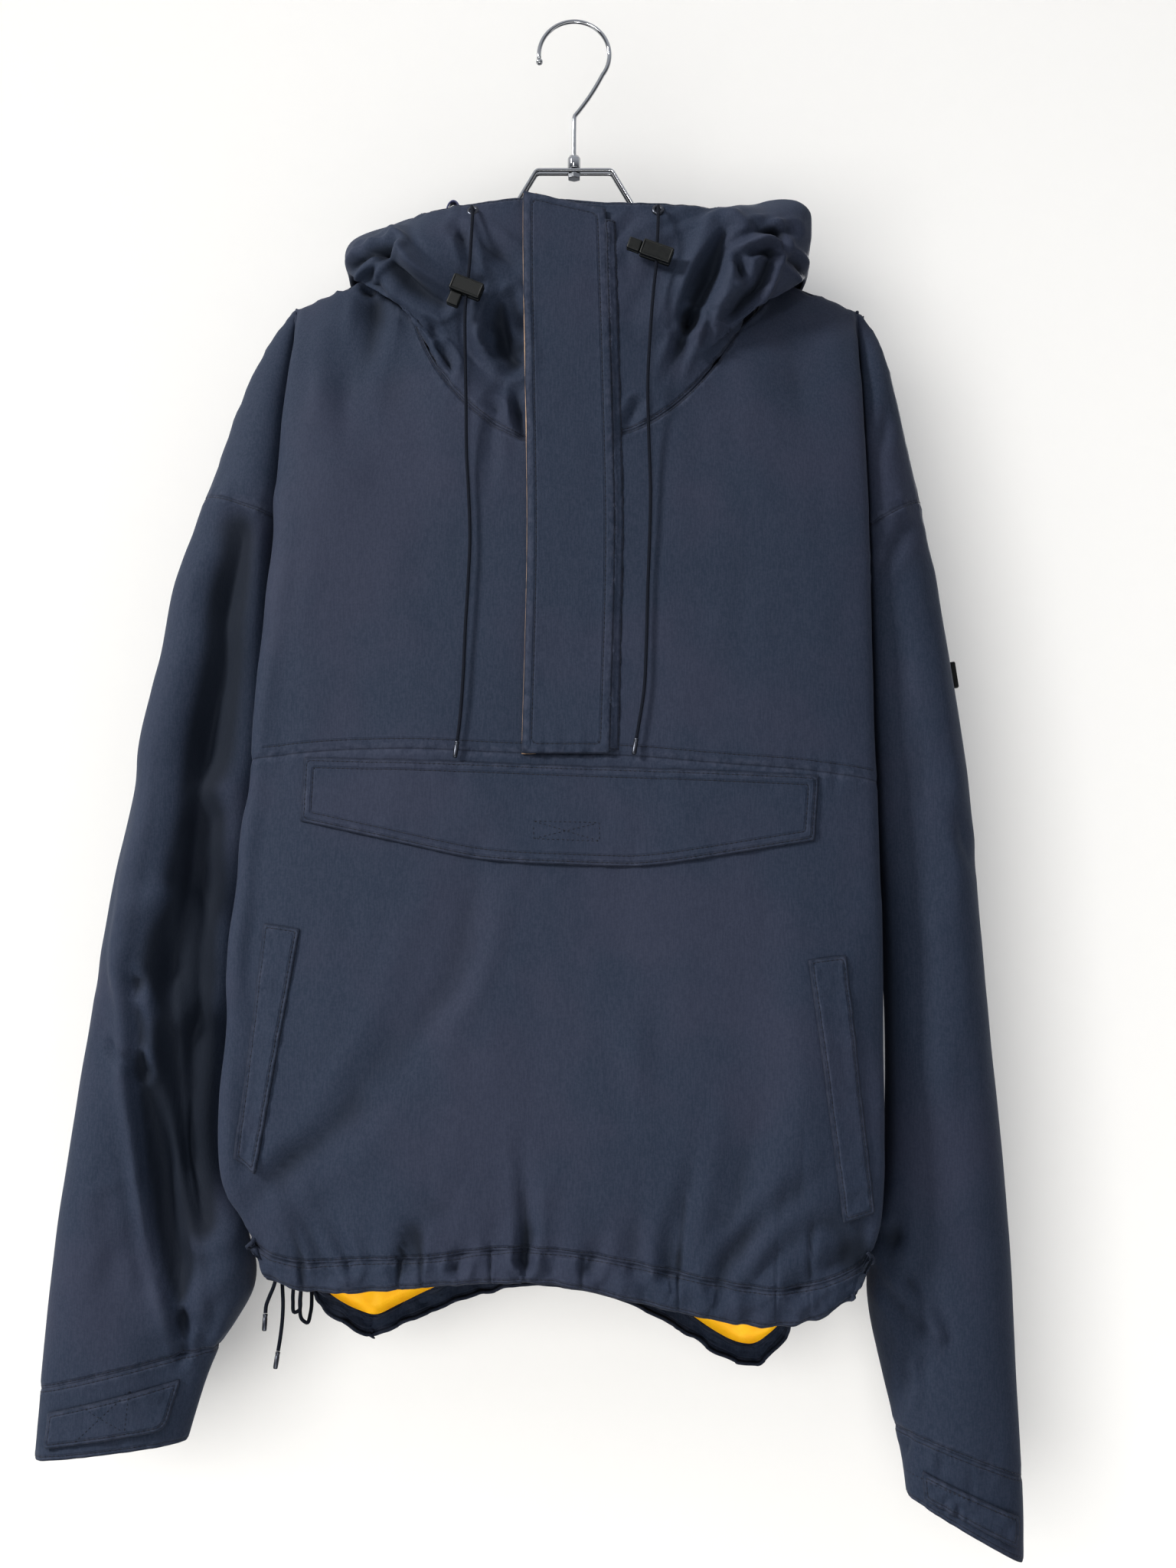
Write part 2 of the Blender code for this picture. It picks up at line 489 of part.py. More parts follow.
def side_wall(edge, seam, share):
    """Points from the fold's edge back to the seam in the valley."""
    return edge + (seam - edge) * share[..., None]


def arm_points(side, along, angle):
    """Points of an arm's rings. Angle 0 is the inner edge, pi the outer, 2 pi the inner."""
    table = ARM[side]
    along, angle = np.broadcast_arrays(along, angle)
    share = (1 - np.cos(angle)) / 2
    x = table.at("in_x", along) * (1 - share) + table.at("out_x", along) * share
    drop = table.at("in_drop", along) * (1 - share) + table.at("out_drop", along) * share
    turn = np.sin(angle)
    front = turn >= 0
    depth = np.where(front, table.at("front", along), table.at("back", along))
    round_out = np.abs(turn) ** ARM_ROUND
    split = table.at("valley", along) * np.abs(np.cos(angle / 2)) ** 3
    x = sign_of(side) * x
    inward = np.where(front, trough(x, drop, SLEEVE_FOLDS), trough(x, drop, SLEEVE_BACK_FOLDS))
    lower = np.clip(along / ARMHOLE_ALONG - 0.6, 0, 1)
    stand = depth * round_out + split - inward * np.abs(turn) * lower
    return points(x, np.where(angle <= math.pi, -stand, stand), drop)


def seam_top(side, column, face):
    """The (x, drop) of a column's top: on the neck seam, or on the shoulder line."""
    table = NECK[side] if face == "front" else NAPE[side]
    last = (table.rows[-1, 1], table.rows[-1, 2])
    end = fold_x(side, ridge_drop(fold_x(side, SHOULDER_END)))
    share = np.clip((column - CORNER) / (FOLD - CORNER), 0, 1)
    ridge_x = last[0] + (end - last[0]) * share
    x = np.where(column < CORNER, table.at("x", column), ridge_x)
    drop = np.where(column < CORNER, table.at("drop", column), ridge_drop(ridge_x))
    return sign_of(side) * x, drop


def chest_place(side, column, face):
    x = column_x(side, column, CHEST_MIDDLE, face)
    return x, CHEST.at("drop", x)


def upper_points(side, columns, rows, face):
    """The yoke's points, or the back's above the chest, with the cap over the arm."""
    column, down = np.meshgrid(np.asarray(columns, float), np.asarray(rows, float))
    flat = np.minimum(column, FOLD)
    top_x, top_drop = seam_top(side, flat, face)
    low_x, low_drop = chest_place(side, flat, face)
    drop = top_drop + (low_drop - top_drop) * down
    x = top_x + (low_x - top_x) * down
    edge_top, edge_low = seam_top(side, np.array(FOLD), face), chest_place(side, FOLD, face)
    edge_drop = edge_top[1] + (edge_low[1] - edge_top[1]) * down
    edge_x = edge_top[0] + (edge_low[0] - edge_top[0]) * down
    bow = sign_of(side) * fold_x(side, edge_drop) - edge_x
    x = x + bow * (flat / FOLD) ** 3
    grid = points(x, face_y(x, drop, face), drop)
    inner = 0.0 if face == "front" else 2 * math.pi
    valley = arm_points(side, down, inner)
    edge = points(sign_of(side) * fold_x(side, edge_drop), 0, edge_drop)
    edge[..., 1] = face_y(edge[..., 0], edge_drop, face)
    share = np.clip((column - FOLD) / (VALLEY - FOLD), 0, 1)
    grid = np.where((column > FOLD)[..., None], side_wall(edge, valley, share), grid)
    angle = np.clip((column - VALLEY) / CAP_COLUMNS, 0, 1) * math.pi
    cap = arm_points(side, np.minimum(down, ARMHOLE_ALONG), np.abs(inner - angle))
    return np.where((column > VALLEY)[..., None], cap, grid)


def lower_points(side, column, drop, face):
    """Points of the body below the chest, at body columns and drops."""
    x = column_x(side, column, drop, face)
    grid = points(x, face_y(x, drop, face), drop)
    seam_x = BODY.at("side_" + side, drop)
    seam = points(sign_of(side) * seam_x, 0, drop)
    edge = points(sign_of(side) * fold_x(side, drop), 0, drop)
    edge[..., 1] = face_y(edge[..., 0], drop, face)
    share = np.clip((column - FOLD) / (VALLEY - FOLD), 0, 1)
    return np.where((column > FOLD)[..., None], side_wall(edge, seam, share), grid)


def signed_columns(split):
    """Columns from the left valley to the right one, each split into equal steps."""
    both = np.array([-column for column in COLUMNS[:0:-1]] + list(COLUMNS))
    return np.interp(np.arange((len(both) - 1) * split + 1) / split, range(len(both)), both)


def both_sides(columns, drop, face):
    left = lower_points("left", np.abs(columns), drop, face)
    right = lower_points("right", np.abs(columns), drop, face)
    return np.where((columns < 0)[..., None], left, right)


def chest_drop(columns, face):
    """The drop of the chest seam at signed columns, as far as the underarm points."""
    x = np.where(
        columns < 0,
        chest_place("left", np.abs(columns), face)[0],
        chest_place("right", np.abs(columns), face)[0],
    )
    share = np.clip((np.abs(columns) - FOLD) / (VALLEY - FOLD), 0, 1)
    under = np.where(columns < 0, ARM["left"].at("in_drop", 1), ARM["right"].at("in_drop", 1))
    return CHEST.at("drop", x) * (1 - share) + under * share


def lower_grid(face):
    """The body below the chest, down to the casing's seam."""
    columns, down = np.meshgrid(signed_columns(1), np.linspace(0, 1, LOWER_ROWS + 1))
    top = chest_drop(columns, face)
    drop = top + (HEM.at(face + "_seam", columns) - top) * down
    grid = both_sides(columns, drop, face)
    left = upper_points("left", COLUMNS, (1,), face)[0][::-1]
    right = upper_points("right", COLUMNS, (1,), face)[0]
    grid[0] = np.concatenate([left[:-1], right])
    return grid


def gather(columns):
    """How far the hem's gathers pinch it in, by signed column."""
    total = np.zeros(columns.shape)
    for place, depth, width in GATHERS.rows:
        total = total + depth * np.exp(-(((columns - place) / width) ** 2))
    return total


def on_chords(row, split):
    """A row of points split into equal steps along its straight chords."""
    steps = np.arange((len(row) - 1) * split + 1) / split
    return np.stack([np.interp(steps, np.arange(len(row)), row[:, i]) for i in range(3)], -1)


def casing_grid(face, seam_row):
    """A gathered casing, from the panel's last row round to the hem's edge."""
    columns, down = np.meshgrid(signed_columns(CASING_SPLIT), np.linspace(0, 1, CASING_ROWS + 1))
    shift = 0 if face == "front" else BACK_SHIFT
    top, edge = HEM.at(face + "_seam", columns), HEM.at(face + "_edge", columns)
    pinch = gather(columns + shift * (np.abs(columns) < FOLD))
    drop = top + (edge - top) * down - GATHER_LIFT * pinch * down
    grid = both_sides(columns, drop, face)
    middle = np.clip((VALLEY - np.abs(columns)) / (VALLEY - FOLD), 0, 1)
    swell = CASING_BULGE * np.sin(math.pi * down * CASING_ROUND) - pinch * np.minimum(2 * down, 1)
    toward = -1 if face == "front" else 1
    grid[..., 1] += toward * swell * middle
    grid[..., 0] += np.sign(columns) * swell * (1 - middle)
    grid[0] = on_chords(seam_row, CASING_SPLIT)
    return grid


def neck_points(side, column):
    """The neck seam by hood column: 0 to 6 in front, then 6 to 12 to the centre behind."""
    front_x, front_drop = seam_top(side, np.minimum(column, CORNER), "front")
    back_x, back_drop = seam_top(side, 12 - np.maximum(column, CORNER), "back")
    front = points(front_x, face_y(front_x, front_drop, "front"), front_drop)
    back = points(back_x, face_y(back_x, back_drop, "back"), back_drop)
    return np.where((column <= CORNER)[..., None], front, back)


def hood_grid(side):
    """The fallen hood: up in front, out over the shoulder and a bag down the back."""
    column, up = np.meshgrid(np.array(HOOD_COLUMNS, float), HOOD_ROWS)
    table = HOOD[side]
    neck = neck_points(side, column)
    outward = unit(neck * (ROLL_LEAN, 1, 0))
    rise = points(0, 0, -table.at("up", column))
    passes = [neck, neck + outward * table.at("out", column)[..., None] + rise]
    for place in ("low", "high", "rim"):
        x, y, drop = (table.at(f"{place}_{axis}", column) for axis in ("x", "y", "drop"))
        passes.append(points(sign_of(side) * x, y, drop))
    grid = through(passes, up)
    facing = np.clip((CORNER + 0.5 - column) / 2, 0, 1) * np.clip(up * 5, 0, 1)
    press = trough(grid[..., 0], -grid[..., 2], FRONT_FOLDS)
    grid[..., 1] += press * facing
    return grid[::-1]


def through(passes, at):
    """A smooth curve through five places, read at shares of its length."""
    passes = np.stack(passes)
    keys = np.array(HOOD_KNOTS)
    lean = np.gradient(passes, keys, axis=0)
    index = np.clip(np.searchsorted(keys, at) - 1, 0, len(keys) - 2)
    span = (keys[index + 1] - keys[index])[..., None]
    t = ((at - keys[index]) / (keys[index + 1] - keys[index]))[..., None]
    rows, columns = np.indices(at.shape)
    start, end = passes[index, rows, columns], passes[index + 1, rows, columns]
    lean_in, lean_out = lean[index, rows, columns], lean[index + 1, rows, columns]
    first = (1 + 2 * t) * (1 - t) ** 2 * start + t * (1 - t) ** 2 * span * lean_in
    second = t * t * (3 - 2 * t) * end + t * t * (t - 1) * span * lean_out
    return first + second


# --------------------------------------------------------------------- panels and walls
class Panel:
    """A grid of cloth. Rows from closed_from on are rings, whose last column is the first."""

    def __init__(self, grid, flip=False, keep=None, closed_from=None, face=None):
        self.grid = grid
        self.face = face
        self.flip = flip
        rows, columns = grid.shape[:2]
        self.keep = np.ones((rows - 1, columns - 1), bool) if keep is None else keep
        self.closed_from = rows if closed_from is None else closed_from
        self.normals = np.zeros(grid.shape)

    def corners(self):
        """Each kept face as four (row, column) corners."""
        for row, column in zip(*np.nonzero(self.keep)):
            loop = [(row, column), (row + 1, column), (row + 1, column + 1), (row, column + 1)]
            yield loop[::-1] if self.flip else loop

    def index_of(self, row, column):
        columns = self.grid.shape[1]
        if row >= self.closed_from and column == columns - 1:
            column = 0
        return row * columns + column

    def trimmed(self, gap):
        """The grid with each free edge drawn into the panel by half the gap."""
        rows, columns = self.grid.shape[:2]
        down = unit(np.gradient(self.grid, axis=0))
        over = unit(np.gradient(self.grid, axis=1))
        lean = (down * over).sum(axis=-1, keepdims=True)
        down_in, over_in = unit(down - over * lean), unit(over - down * lean)
        cells = np.zeros((rows + 1, columns + 1))
        cells[1:-1, 1:-1] = self.keep
        for row in range(self.closed_from, rows):
            cells[row + 1, 0] = cells[row + 1, -2]
            cells[row + 1, -1] = cells[row + 1, 1]
        up_left, up_right = cells[:-1, :-1], cells[:-1, 1:]
        low_left, low_right = cells[1:, :-1], cells[1:, 1:]
        push_down = np.sign(low_left + low_right - up_left - up_right)
        push_over = np.sign(up_right + low_right - up_left - low_left)
        if self.closed_from < rows:
            push_over[self.closed_from :, [0, -1]] = 0
            push_down[self.closed_from, 0] = 2
        move = push_down[..., None] * down_in + push_over[..., None] * over_in
        return self.grid + move * gap / 2


def unit(vectors):
    length = np.linalg.norm(vectors, axis=-1, keepdims=True)
    return vectors / np.maximum(length, 1e-9)


def own_normals(panel):
    """The normals of a panel's points from its own faces."""
    normals = np.zeros(panel.grid.shape)
    for loop in panel.corners():
        a, b, c, d = (panel.grid[place] for place in loop)
        normal = unit(np.cross(c - a, d - b))
        for place in loop:
            normals[place] += normal
    return unit(normals)


def share_normals(panels):
    """Gives panels that meet at a seam the same normals there, so that their walls meet."""
    places = np.concatenate([panel.grid.reshape(-1, 3) for panel in panels])
    normals = np.concatenate([own_normals(panel).reshape(-1, 3) for panel in panels])
    tree = KDTree(len(places))
    for i, place in enumerate(places):
        tree.insert(place, i)
    tree.balance()
    shared = [sum(normals[i] for _, i, _ in tree.find_range(place, MEET)) for place in places]
    shared = unit(np.array(shared))
    start = 0
    for panel in panels:
        count = panel.grid.shape[0] * panel.grid.shape[1]
        panel.normals = shared[start : start + count].reshape(panel.grid.shape)
        start += count


def wall(panel, thick, gap=SEAM_GAP):
    """The vertices and faces of a panel as a closed wall, its thickness on the inside.

    A front or back panel's inside stops short of the plane between them.
    """
    outer = panel.trimmed(gap).reshape(-1, 3)
    inner = outer - panel.normals.reshape(-1, 3) * thick
    if panel.face == "front":
        inner[:, 1] = np.minimum(inner[:, 1], -gap / 2)
    if panel.face == "back":
        inner[:, 1] = np.maximum(inner[:, 1], gap / 2)
    count = len(outer)
    faces, edges = [], set()
    for loop in panel.corners():
        ids = [panel.index_of(row, column) for row, column in loop]
        ids = [a for i, a in enumerate(ids) if a != ids[i - 1]]
        faces.append(ids)
        faces.append([count + a for a in reversed(ids)])
        edges.update(zip(ids, ids[1:] + ids[:1]))
    for a, b in edges:
        if (b, a) not in edges:
            faces.append([b, a, count + a, count + b])
    return np.concatenate([outer, inner]), faces


def mesh_object(name, vertices, faces, material):
    """A mesh object of the used vertices alone, shaded smooth."""
    used = sorted({a for face in faces for a in face})
    order = {a: i for i, a in enumerate(used)}
    mesh = bpy.data.meshes.new(name)
    mesh.from_pydata([vertices[a] for a in used], [], [[order[a] for a in f] for f in faces])
    mesh.validate()
    shade(mesh)
    return add_object(name, mesh, material)


def add_panel(name, panel, thick, material=SHELL, gap=SEAM_GAP):
    return mesh_object(name, *wall(panel, thick, gap), material)


def yoke_keep(columns):
    """The yoke's and the back's faces: the cap's columns end at the armhole's top."""
    keep = np.ones((len(YOKE_ROWS) - 1, columns - 1), bool)
    keep[YOKE_ROWS.index(ARMHOLE_ALONG) :, -CAP_COLUMNS:] = False
    return keep


def yoke_panel(side):
    columns = UPPER_COLUMNS
    grid = upper_points(side, columns, YOKE_ROWS, "front")
    return Panel(grid, flip=side == "left", keep=yoke_keep(len(columns)), face="front")


def back_panel():
    """The back in one piece: the left half's columns, the centre and the right half's."""
    columns = UPPER_COLUMNS
    left = upper_points("left", columns, YOKE_ROWS, "back")[:, ::-1]
    right = upper_points("right", columns, YOKE_ROWS, "back")
    upper = np.concatenate([left[:, :-1], right], axis=1)
    half = yoke_keep(len(columns))
    keep = np.concatenate([half[:, ::-1], half], axis=1)
    lower = lower_grid("back")[1:]
    spare = np.repeat(lower[:, :1], CAP_COLUMNS, axis=1)
    other = np.repeat(lower[:, -1:], CAP_COLUMNS, axis=1)
    grid = np.concatenate([upper, np.concatenate([spare, lower, other], axis=1)])
    below = np.ones((len(lower), keep.shape[1]), bool)
    below[:, :CAP_COLUMNS] = False
    below[:, -CAP_COLUMNS:] = False
    return Panel(grid, flip=True, keep=np.concatenate([keep, below]), face="back")


def arm_panel(side, rows):
    angles = np.linspace(0, 2 * math.pi, 2 * CAP_COLUMNS + 1)
    angle, along = np.meshgrid(angles, np.asarray(rows, float))
    first = next(i for i, row in enumerate(rows) if row >= UNDERARM)
    return Panel(arm_points(side, along, angle), flip=side == "left", closed_from=first)


# ------------------------------------------------------------------- pieces on the cloth
class Cloth:
    """The outer points of the front, for the pieces that lie on it."""

    def __init__(self, panels):
        vertices, faces = [], []
        for panel in panels:
            start = len(vertices)
            vertices.extend(map(tuple, panel.grid.reshape(-1, 3)))
            for loop in panel.corners():
                faces.append([start + panel.index_of(row, column) for row, column in loop])
        self.tree = BVHTree.FromPolygons(vertices, faces)

    def at(self, x, drop):
        """The point and normal of the front's outer surface at a place, seen in front."""
        spot, normal = self.tree.ray_cast(Vector((x, -0.5, -drop)), Vector((0, 1, 0)))[:2]
        if spot is None:
            spot, normal = self.tree.find_nearest(Vector((x, -0.06, -drop)))[:2]
        return spot, normal if normal.y < 0 else -normal

    def y(self, x, drop):
        return self.at(x, drop)[0].y

    def lifted(self, places, lift, flat=False):
        """A grid of (x, drop) places in front of the cloth, each row level if it is flat."""
        rows = []
        for row in places:
            depths = [self.y(x, drop) for x, drop in row]
            level = [min(depths)] * len(row) if flat else depths
            rows.append([(x, y - lift, -drop) for (x, drop), y in zip(row, level)])
        return np.array(rows)


def laid_piece(name, grid, thick, material=SHELL):
    """A flat piece on the front, from the grid of its outer points."""
    panel = Panel(grid)
    share_normals([panel])
    if panel.normals[..., 1].mean() > 0:
        panel.flip = True
        share_normals([panel])
    return mesh_object(name, *wall(panel, thick, 0), material)


def quad_places(corners, rows, columns):
    """A grid of places between four corners: top left, top right, low right, low left."""
    top_left, top_right, low_right, low_left = (np.array(corner) for corner in corners)
    grid = []
    for down in np.linspace(0, 1, rows + 1):
        start = top_left + (low_left - top_left) * down
        end = top_right + (low_right - top_right) * down
        grid.append([start + (end - start) * over for over in np.linspace(0, 1, columns + 1)])
    return grid


def placket_places():
    """Places across the placket from its sloping top to the chest seam."""
    grid = []
    foot = CHEST.at("drop", 0.0) - SEAM_GAP
    for down in np.linspace(0, 1, PLACKET["rows"] + 1):
        row = []
        for over in (0, 0.25, 0.5, 0.75, 1):
            top = PLACKET_TOP[0] + (PLACKET_TOP[1] - PLACKET_TOP[0]) * over
            drop = top + (foot - top) * down
            left, right = PLACKET_EDGES.at("left", drop), PLACKET_EDGES.at("right", drop)
            row.append((left + (right - left) * over, drop))
        grid.append(row)
    return grid


def facing_grid(placket):
    """The facing behind the placket's left edge, standing out of it a little."""
    edge = placket[:, 0] + (-FACING["out"], PLACKET["thick"] + 2 * SEAM_GAP, 0)
    steps = np.linspace(0, FACING["width"], 3)
    return np.stack([edge + (step, 0, 0) for step in steps], axis=1)


def flap_places():
    """The chest pocket's flap, whose lower edge dips in a shallow point at each side."""
    grid = []
    for down in np.linspace(0, 1, 5):
        row = []
        for over in np.linspace(0, 1, 13):
            top = np.array(FLAP_TOP[0]) * (1 - over) + np.array(FLAP_TOP[1]) * over
            low_x = np.interp(over, FLAP_EDGE.rows[:, 0], FLAP_EDGE.rows[:, 1])
            low_drop = np.interp(over, FLAP_EDGE.rows[:, 0], FLAP_EDGE.rows[:, 2])
            row.append(top + (np.array((low_x, low_drop)) - top) * down)
        grid.append(row)
    return grid


# --------------------------------------------------------------------- round and hard bits
def turned(name, profile, material, steps=20, place=Matrix()):
    """A turned piece about Z from a closed profile of (radius, z), its outer side first."""
    mesh = bpy.data.meshes.new(name)
    count = len(profile)
    edges = [(i, (i + 1) % count) for i in range(count)]
    mesh.from_pydata([(radius, 0, z) for radius, z in profile], edges, [])
    thing = add_object(name, mesh, material)
    screw = thing.modifiers.new("turn", "SCREW")
    screw.steps = steps
    screw.render_steps = steps
    screw.use_merge_vertices = True
    screw.merge_threshold = 0.0001
    screw.use_smooth_shade = True
    thing.matrix_world = place
    return thing


def tube(name, route, radius, material, cyclic=False, scales=None):
    """A round tube on a poly line of points."""
    curve = bpy.data.curves.new(name, "CURVE")
    curve.dimensions = "3D"
    curve.bevel_depth = radius
    curve.bevel_resolution = 2
    curve.use_fill_caps = not cyclic
    spline = curve.splines.new("POLY")
    spline.points.add(len(route) - 1)
    for i, point in enumerate(route):
        spline.points[i].co = (*point, 1)
        spline.points[i].radius = 1 if scales is None else scales[i]
    spline.use_cyclic_u = cyclic
    spline.use_smooth = True
    return add_object(name, curve, material)


def smooth_route(nodes, step):
    """Points a step apart on a smooth curve through a route's own points."""
    nodes = np.array(nodes, float)
    length = np.concatenate([[0], np.cumsum(np.linalg.norm(np.diff(nodes, axis=0), axis=1))])
    count = max(3, round(length[-1] / step) + 1)
    at = np.linspace(0, length[-1], count)
    table = Table("length x y z", np.column_stack([length, nodes]))
    return np.column_stack([table.at(axis, at) for axis in "xyz"])


def rounded(corners, radius, steps=3):
    """A line through corners, each turned by an arc of about the given radius."""
    line = []
    count = len(corners)
    for i, corner in enumerate(corners):
        corner = Vector(corner)
        before = (Vector(corners[i - 1]) - corner).normalized()
        after = (Vector(corners[(i + 1) % count]) - corner).normalized()
        half = before.angle(after) / 2
        reach = min(radius / math.tan(half), 0.006)
        start, end = corner + before * reach, corner + after * reach
        for step in range(steps + 1):
            t = step / steps
            line.append(start.lerp(corner, t).lerp(corner.lerp(end, t), t))
    return line


def bevelled_box(name, size, bevel, material, place, collection=PARTS):
    """A box with rounded edges, placed by a matrix."""
    mesh = bpy.data.meshes.new(name)
    shape = bmesh.new()
    bmesh.ops.create_cube(shape, size=1)
    bmesh.ops.scale(shape, vec=size, verts=shape.verts)
    shape.to_mesh(mesh)
    shape.free()
    thing = add_object(name, mesh, material, collection)
    thing.matrix_world = place
    edge = thing.modifiers.new("edge", "BEVEL")
    edge.width = bevel
    edge.segments = 1
    return thing


# ------------------------------------------------------------------------------ sub-parts
def make_frame():
    """The double wire frame: a flat bar, two legs and two shoulders, bent from one wire."""
    end_x, end_drop = HANGER_END
    foot_x, foot_drop = LEG_FOOT
    run = [(-end_x, end_drop), (-foot_x, foot_drop), (-BAR_HALF, BAR_DROP),
           (BAR_HALF, BAR_DROP), (foot_x, foot_drop), (end_x, end_drop)]
    front = [(x, -FRAME_SPREAD, -drop) for x, drop in run]
    back = [(x, FRAME_SPREAD, -drop) for x, drop in reversed(run)]
    tube("hanger_frame", rounded(front + back, CORNER_RADIUS), FRAME_WIRE, METAL, cyclic=True)


def ball_end(tip, outward):
    """The centres and the radius scales of the ball at the end of the hook's wire."""
    places, scales = [], []
    for degrees in range(40, 166, 25):
        turn = math.radians(degrees)
        places.append(tip + outward * HOOK_BALL * (1 + math.cos(turn)))
        scales.append(HOOK_BALL * math.sin(turn) / HOOK_WIRE)
    return places, scales


def make_hook():
    """The hook: an arc from its ball end round to the knee, then the straight shank."""
    centre = Vector((0, 0, HOOK_WIRE - HOOK_RADIUS))
    arc = []
    for degrees in range(*HOOK_TURN):
        turn = math.radians(degrees)
        arc.append(centre + HOOK_RADIUS * Vector((math.cos(turn), 0, math.sin(turn))))
    knee, below, lower = (Vector((x, 0, -drop)) for x, drop in HOOK_KNEE)
    leg = []
    for share in (0.35, 0.7, 0.92):
        bow = Vector((HOOK_BOW * math.sin(math.pi * share), 0, 0))
        leg.append(arc[-1].lerp(knee, share) + bow)
    shank = [below, lower, Vector((0, 0, -SHANK_END))]
    ball, scales = ball_end(arc[0], (arc[0] - arc[1]).normalized())
    route = ball + arc + leg + shank
    scales += [1] * (len(route) - len(ball))
    tube("hanger_hook", route, HOOK_WIRE, METAL, scales=scales)


def make_ferrule():
    bore = HOOK_WIRE + FERRULE["play"]
    neck, radius = FERRULE["neck"], FERRULE["radius"]
    top, foot = -FERRULE["top"], -FERRULE["foot"]
    profile = [(bore, top), (neck, top), (neck + 0.0010, top - 0.0008), (radius, top - 0.0022),
               (radius, foot), (bore, foot)]
    turned("hanger_ferrule", profile, METAL)


def make_nut():
    mesh = bpy.data.meshes.new("hanger_nut")
    shape = bmesh.new()
    bmesh.ops.create_cone(shape, cap_ends=True, segments=6, radius1=NUT["radius"] * NUT["taper"],
                          radius2=NUT["radius"], depth=NUT["foot"] - NUT["top"])
    shape.to_mesh(mesh)
    shape.free()
    nut = add_object("hanger_nut", mesh, METAL)
    nut.location = (0, 0, -(NUT["foot"] + NUT["top"]) / 2)


def make_hanger():
    make_frame()
    make_hook()
    make_ferrule()
    make_nut()


def make_lining(back):
    """The band of lining that shows inside the back, above its casing."""
    first = len(YOKE_ROWS) + LOWER_ROWS - LINING_ROWS
    edge = CAP_COLUMNS + VALLEY - FOLD + 1
    inner = back.grid - back.normals * (CLOTH + LINING_LIFT)
    panel = Panel(inner[first:, edge:-edge], flip=True)
    panel.normals = back.normals[first:, edge:-edge]
    mesh_object("back_lining", *wall(panel, LINING_CLOTH), LINING)


def make_front_pieces(cloth):
    placket = cloth.lifted(placket_places(), PLACKET["lift"] + PLACKET["thick"], flat=True)
    laid_piece("placket", placket, PLACKET["thick"])
    laid_piece("placket_facing", facing_grid(placket), FACING["thick"], EDGING)
    lift = FLAP_LIFT + FLAP_CLOTH
    laid_piece("chest_pocket_flap", cloth.lifted(flap_places(), lift), FLAP_CLOTH)
    for side, corners in (("left", WELT_LEFT), ("right", WELT_RIGHT)):
        grid = cloth.lifted(quad_places(corners, 8, 2), lift)
        laid_piece(f"hand_pocket_welt_{side}", grid, FLAP_CLOTH)


def make_eyelet(name, cloth, x, drop):
    """A small turned grommet on the hood's front. Returns two points of its cord's way out."""
    high, radius, hole = EYELET["high"], EYELET["radius"], EYELET["hole"]
    spot, normal = cloth.at(x, drop)
    turn = normal.to_track_quat("Z", "Y").to_matrix().to_4x4()
    place = Matrix.Translation(spot + normal * EYELET["lift"]) @ turn
    profile = [(hole, high * 0.8), (hole + 0.0008, high), (radius - 0.0007, high),
               (radius, high * 0.4), (radius, 0), (hole, 0)]
    turned(name, profile, METAL, 16, place)
    return [spot + normal * EYELET["high"] * share for share in (1, 4)]


def route_points(nodes):
    return [(x, y, -drop) for x, y, drop in nodes]


def add_tip(name, route, radius):
    """A metal tip beyond the end of a cord, in line with it."""
    end, before = Vector(route[-1]), Vector(route[-2])
    along = (end - before).normalized()
    start = end + along * SEAM_GAP
    stop = start + along * TIP["length"]
    tube(name, [start, start.lerp(stop, 0.5), stop], radius, METAL)


def bored(thing, centre, along):
    """Cuts a bore for the cord through a piece, along the cord."""
    mesh = bpy.data.meshes.new(thing.name + "_bore")
    shape = bmesh.new()
    bmesh.ops.create_cone(shape, cap_ends=True, segments=12, radius1=LOCK["bore"],
                          radius2=LOCK["bore"], depth=0.06)
    shape.to_mesh(mesh)
    shape.free()
    cutter = add_object(thing.name + "_bore", mesh, PLASTIC, CUTTERS)
    turn = along.to_track_quat("Z", "Y").to_matrix().to_4x4()
    cutter.matrix_world = Matrix.Translation(centre) @ turn
    cutter.hide_render = True
    cutter.display_type = "WIRE"
    cut = thing.modifiers.new("bore", "BOOLEAN")
    cut.operation = "DIFFERENCE"
    cut.object = cutter


def make_cord_lock(side, spec, route):
    """A spring cord lock: a block with a bore for the cord, and its plunger."""
    near = min(range(len(route)), key=lambda i: abs(-route[i][2] - spec["drop"]))
    centre = Vector(route[near])
    along = (Vector(route[near + 1]) - Vector(route[near - 1])).normalized()
    turn = Matrix.Rotation(math.radians(-spec["turn"]), 4, "Y")
    place = Matrix.Translation(centre) @ turn
    block = bevelled_box(f"cord_lock_{side}", (LOCK["long"], LOCK["deep"], LOCK["wide"]),
                         LOCK["bevel"], PLASTIC, place)
    bored(block, centre, along)
    if spec["plunger"] == "down":
        reach = (LOCK["wide"] + PLUNGER["long"]) / 2 + PLUNGER["gap"]
        offset = Vector((-0.0050, 0.0010, -reach))
        size = (PLUNGER["wide"], PLUNGER["deep"], PLUNGER["long"])
    else:
        reach = (LOCK["long"] + PLUNGER["long"]) / 2 + PLUNGER["gap"]
        offset = Vector((-reach, 0.0008, 0))
        size = (PLUNGER["long"], PLUNGER["deep"], PLUNGER["wide"])
    bevelled_box(f"cord_lock_plunger_{side}", size, PLUNGER["bevel"], PLASTIC,
                 place @ Matrix.Translation(offset))


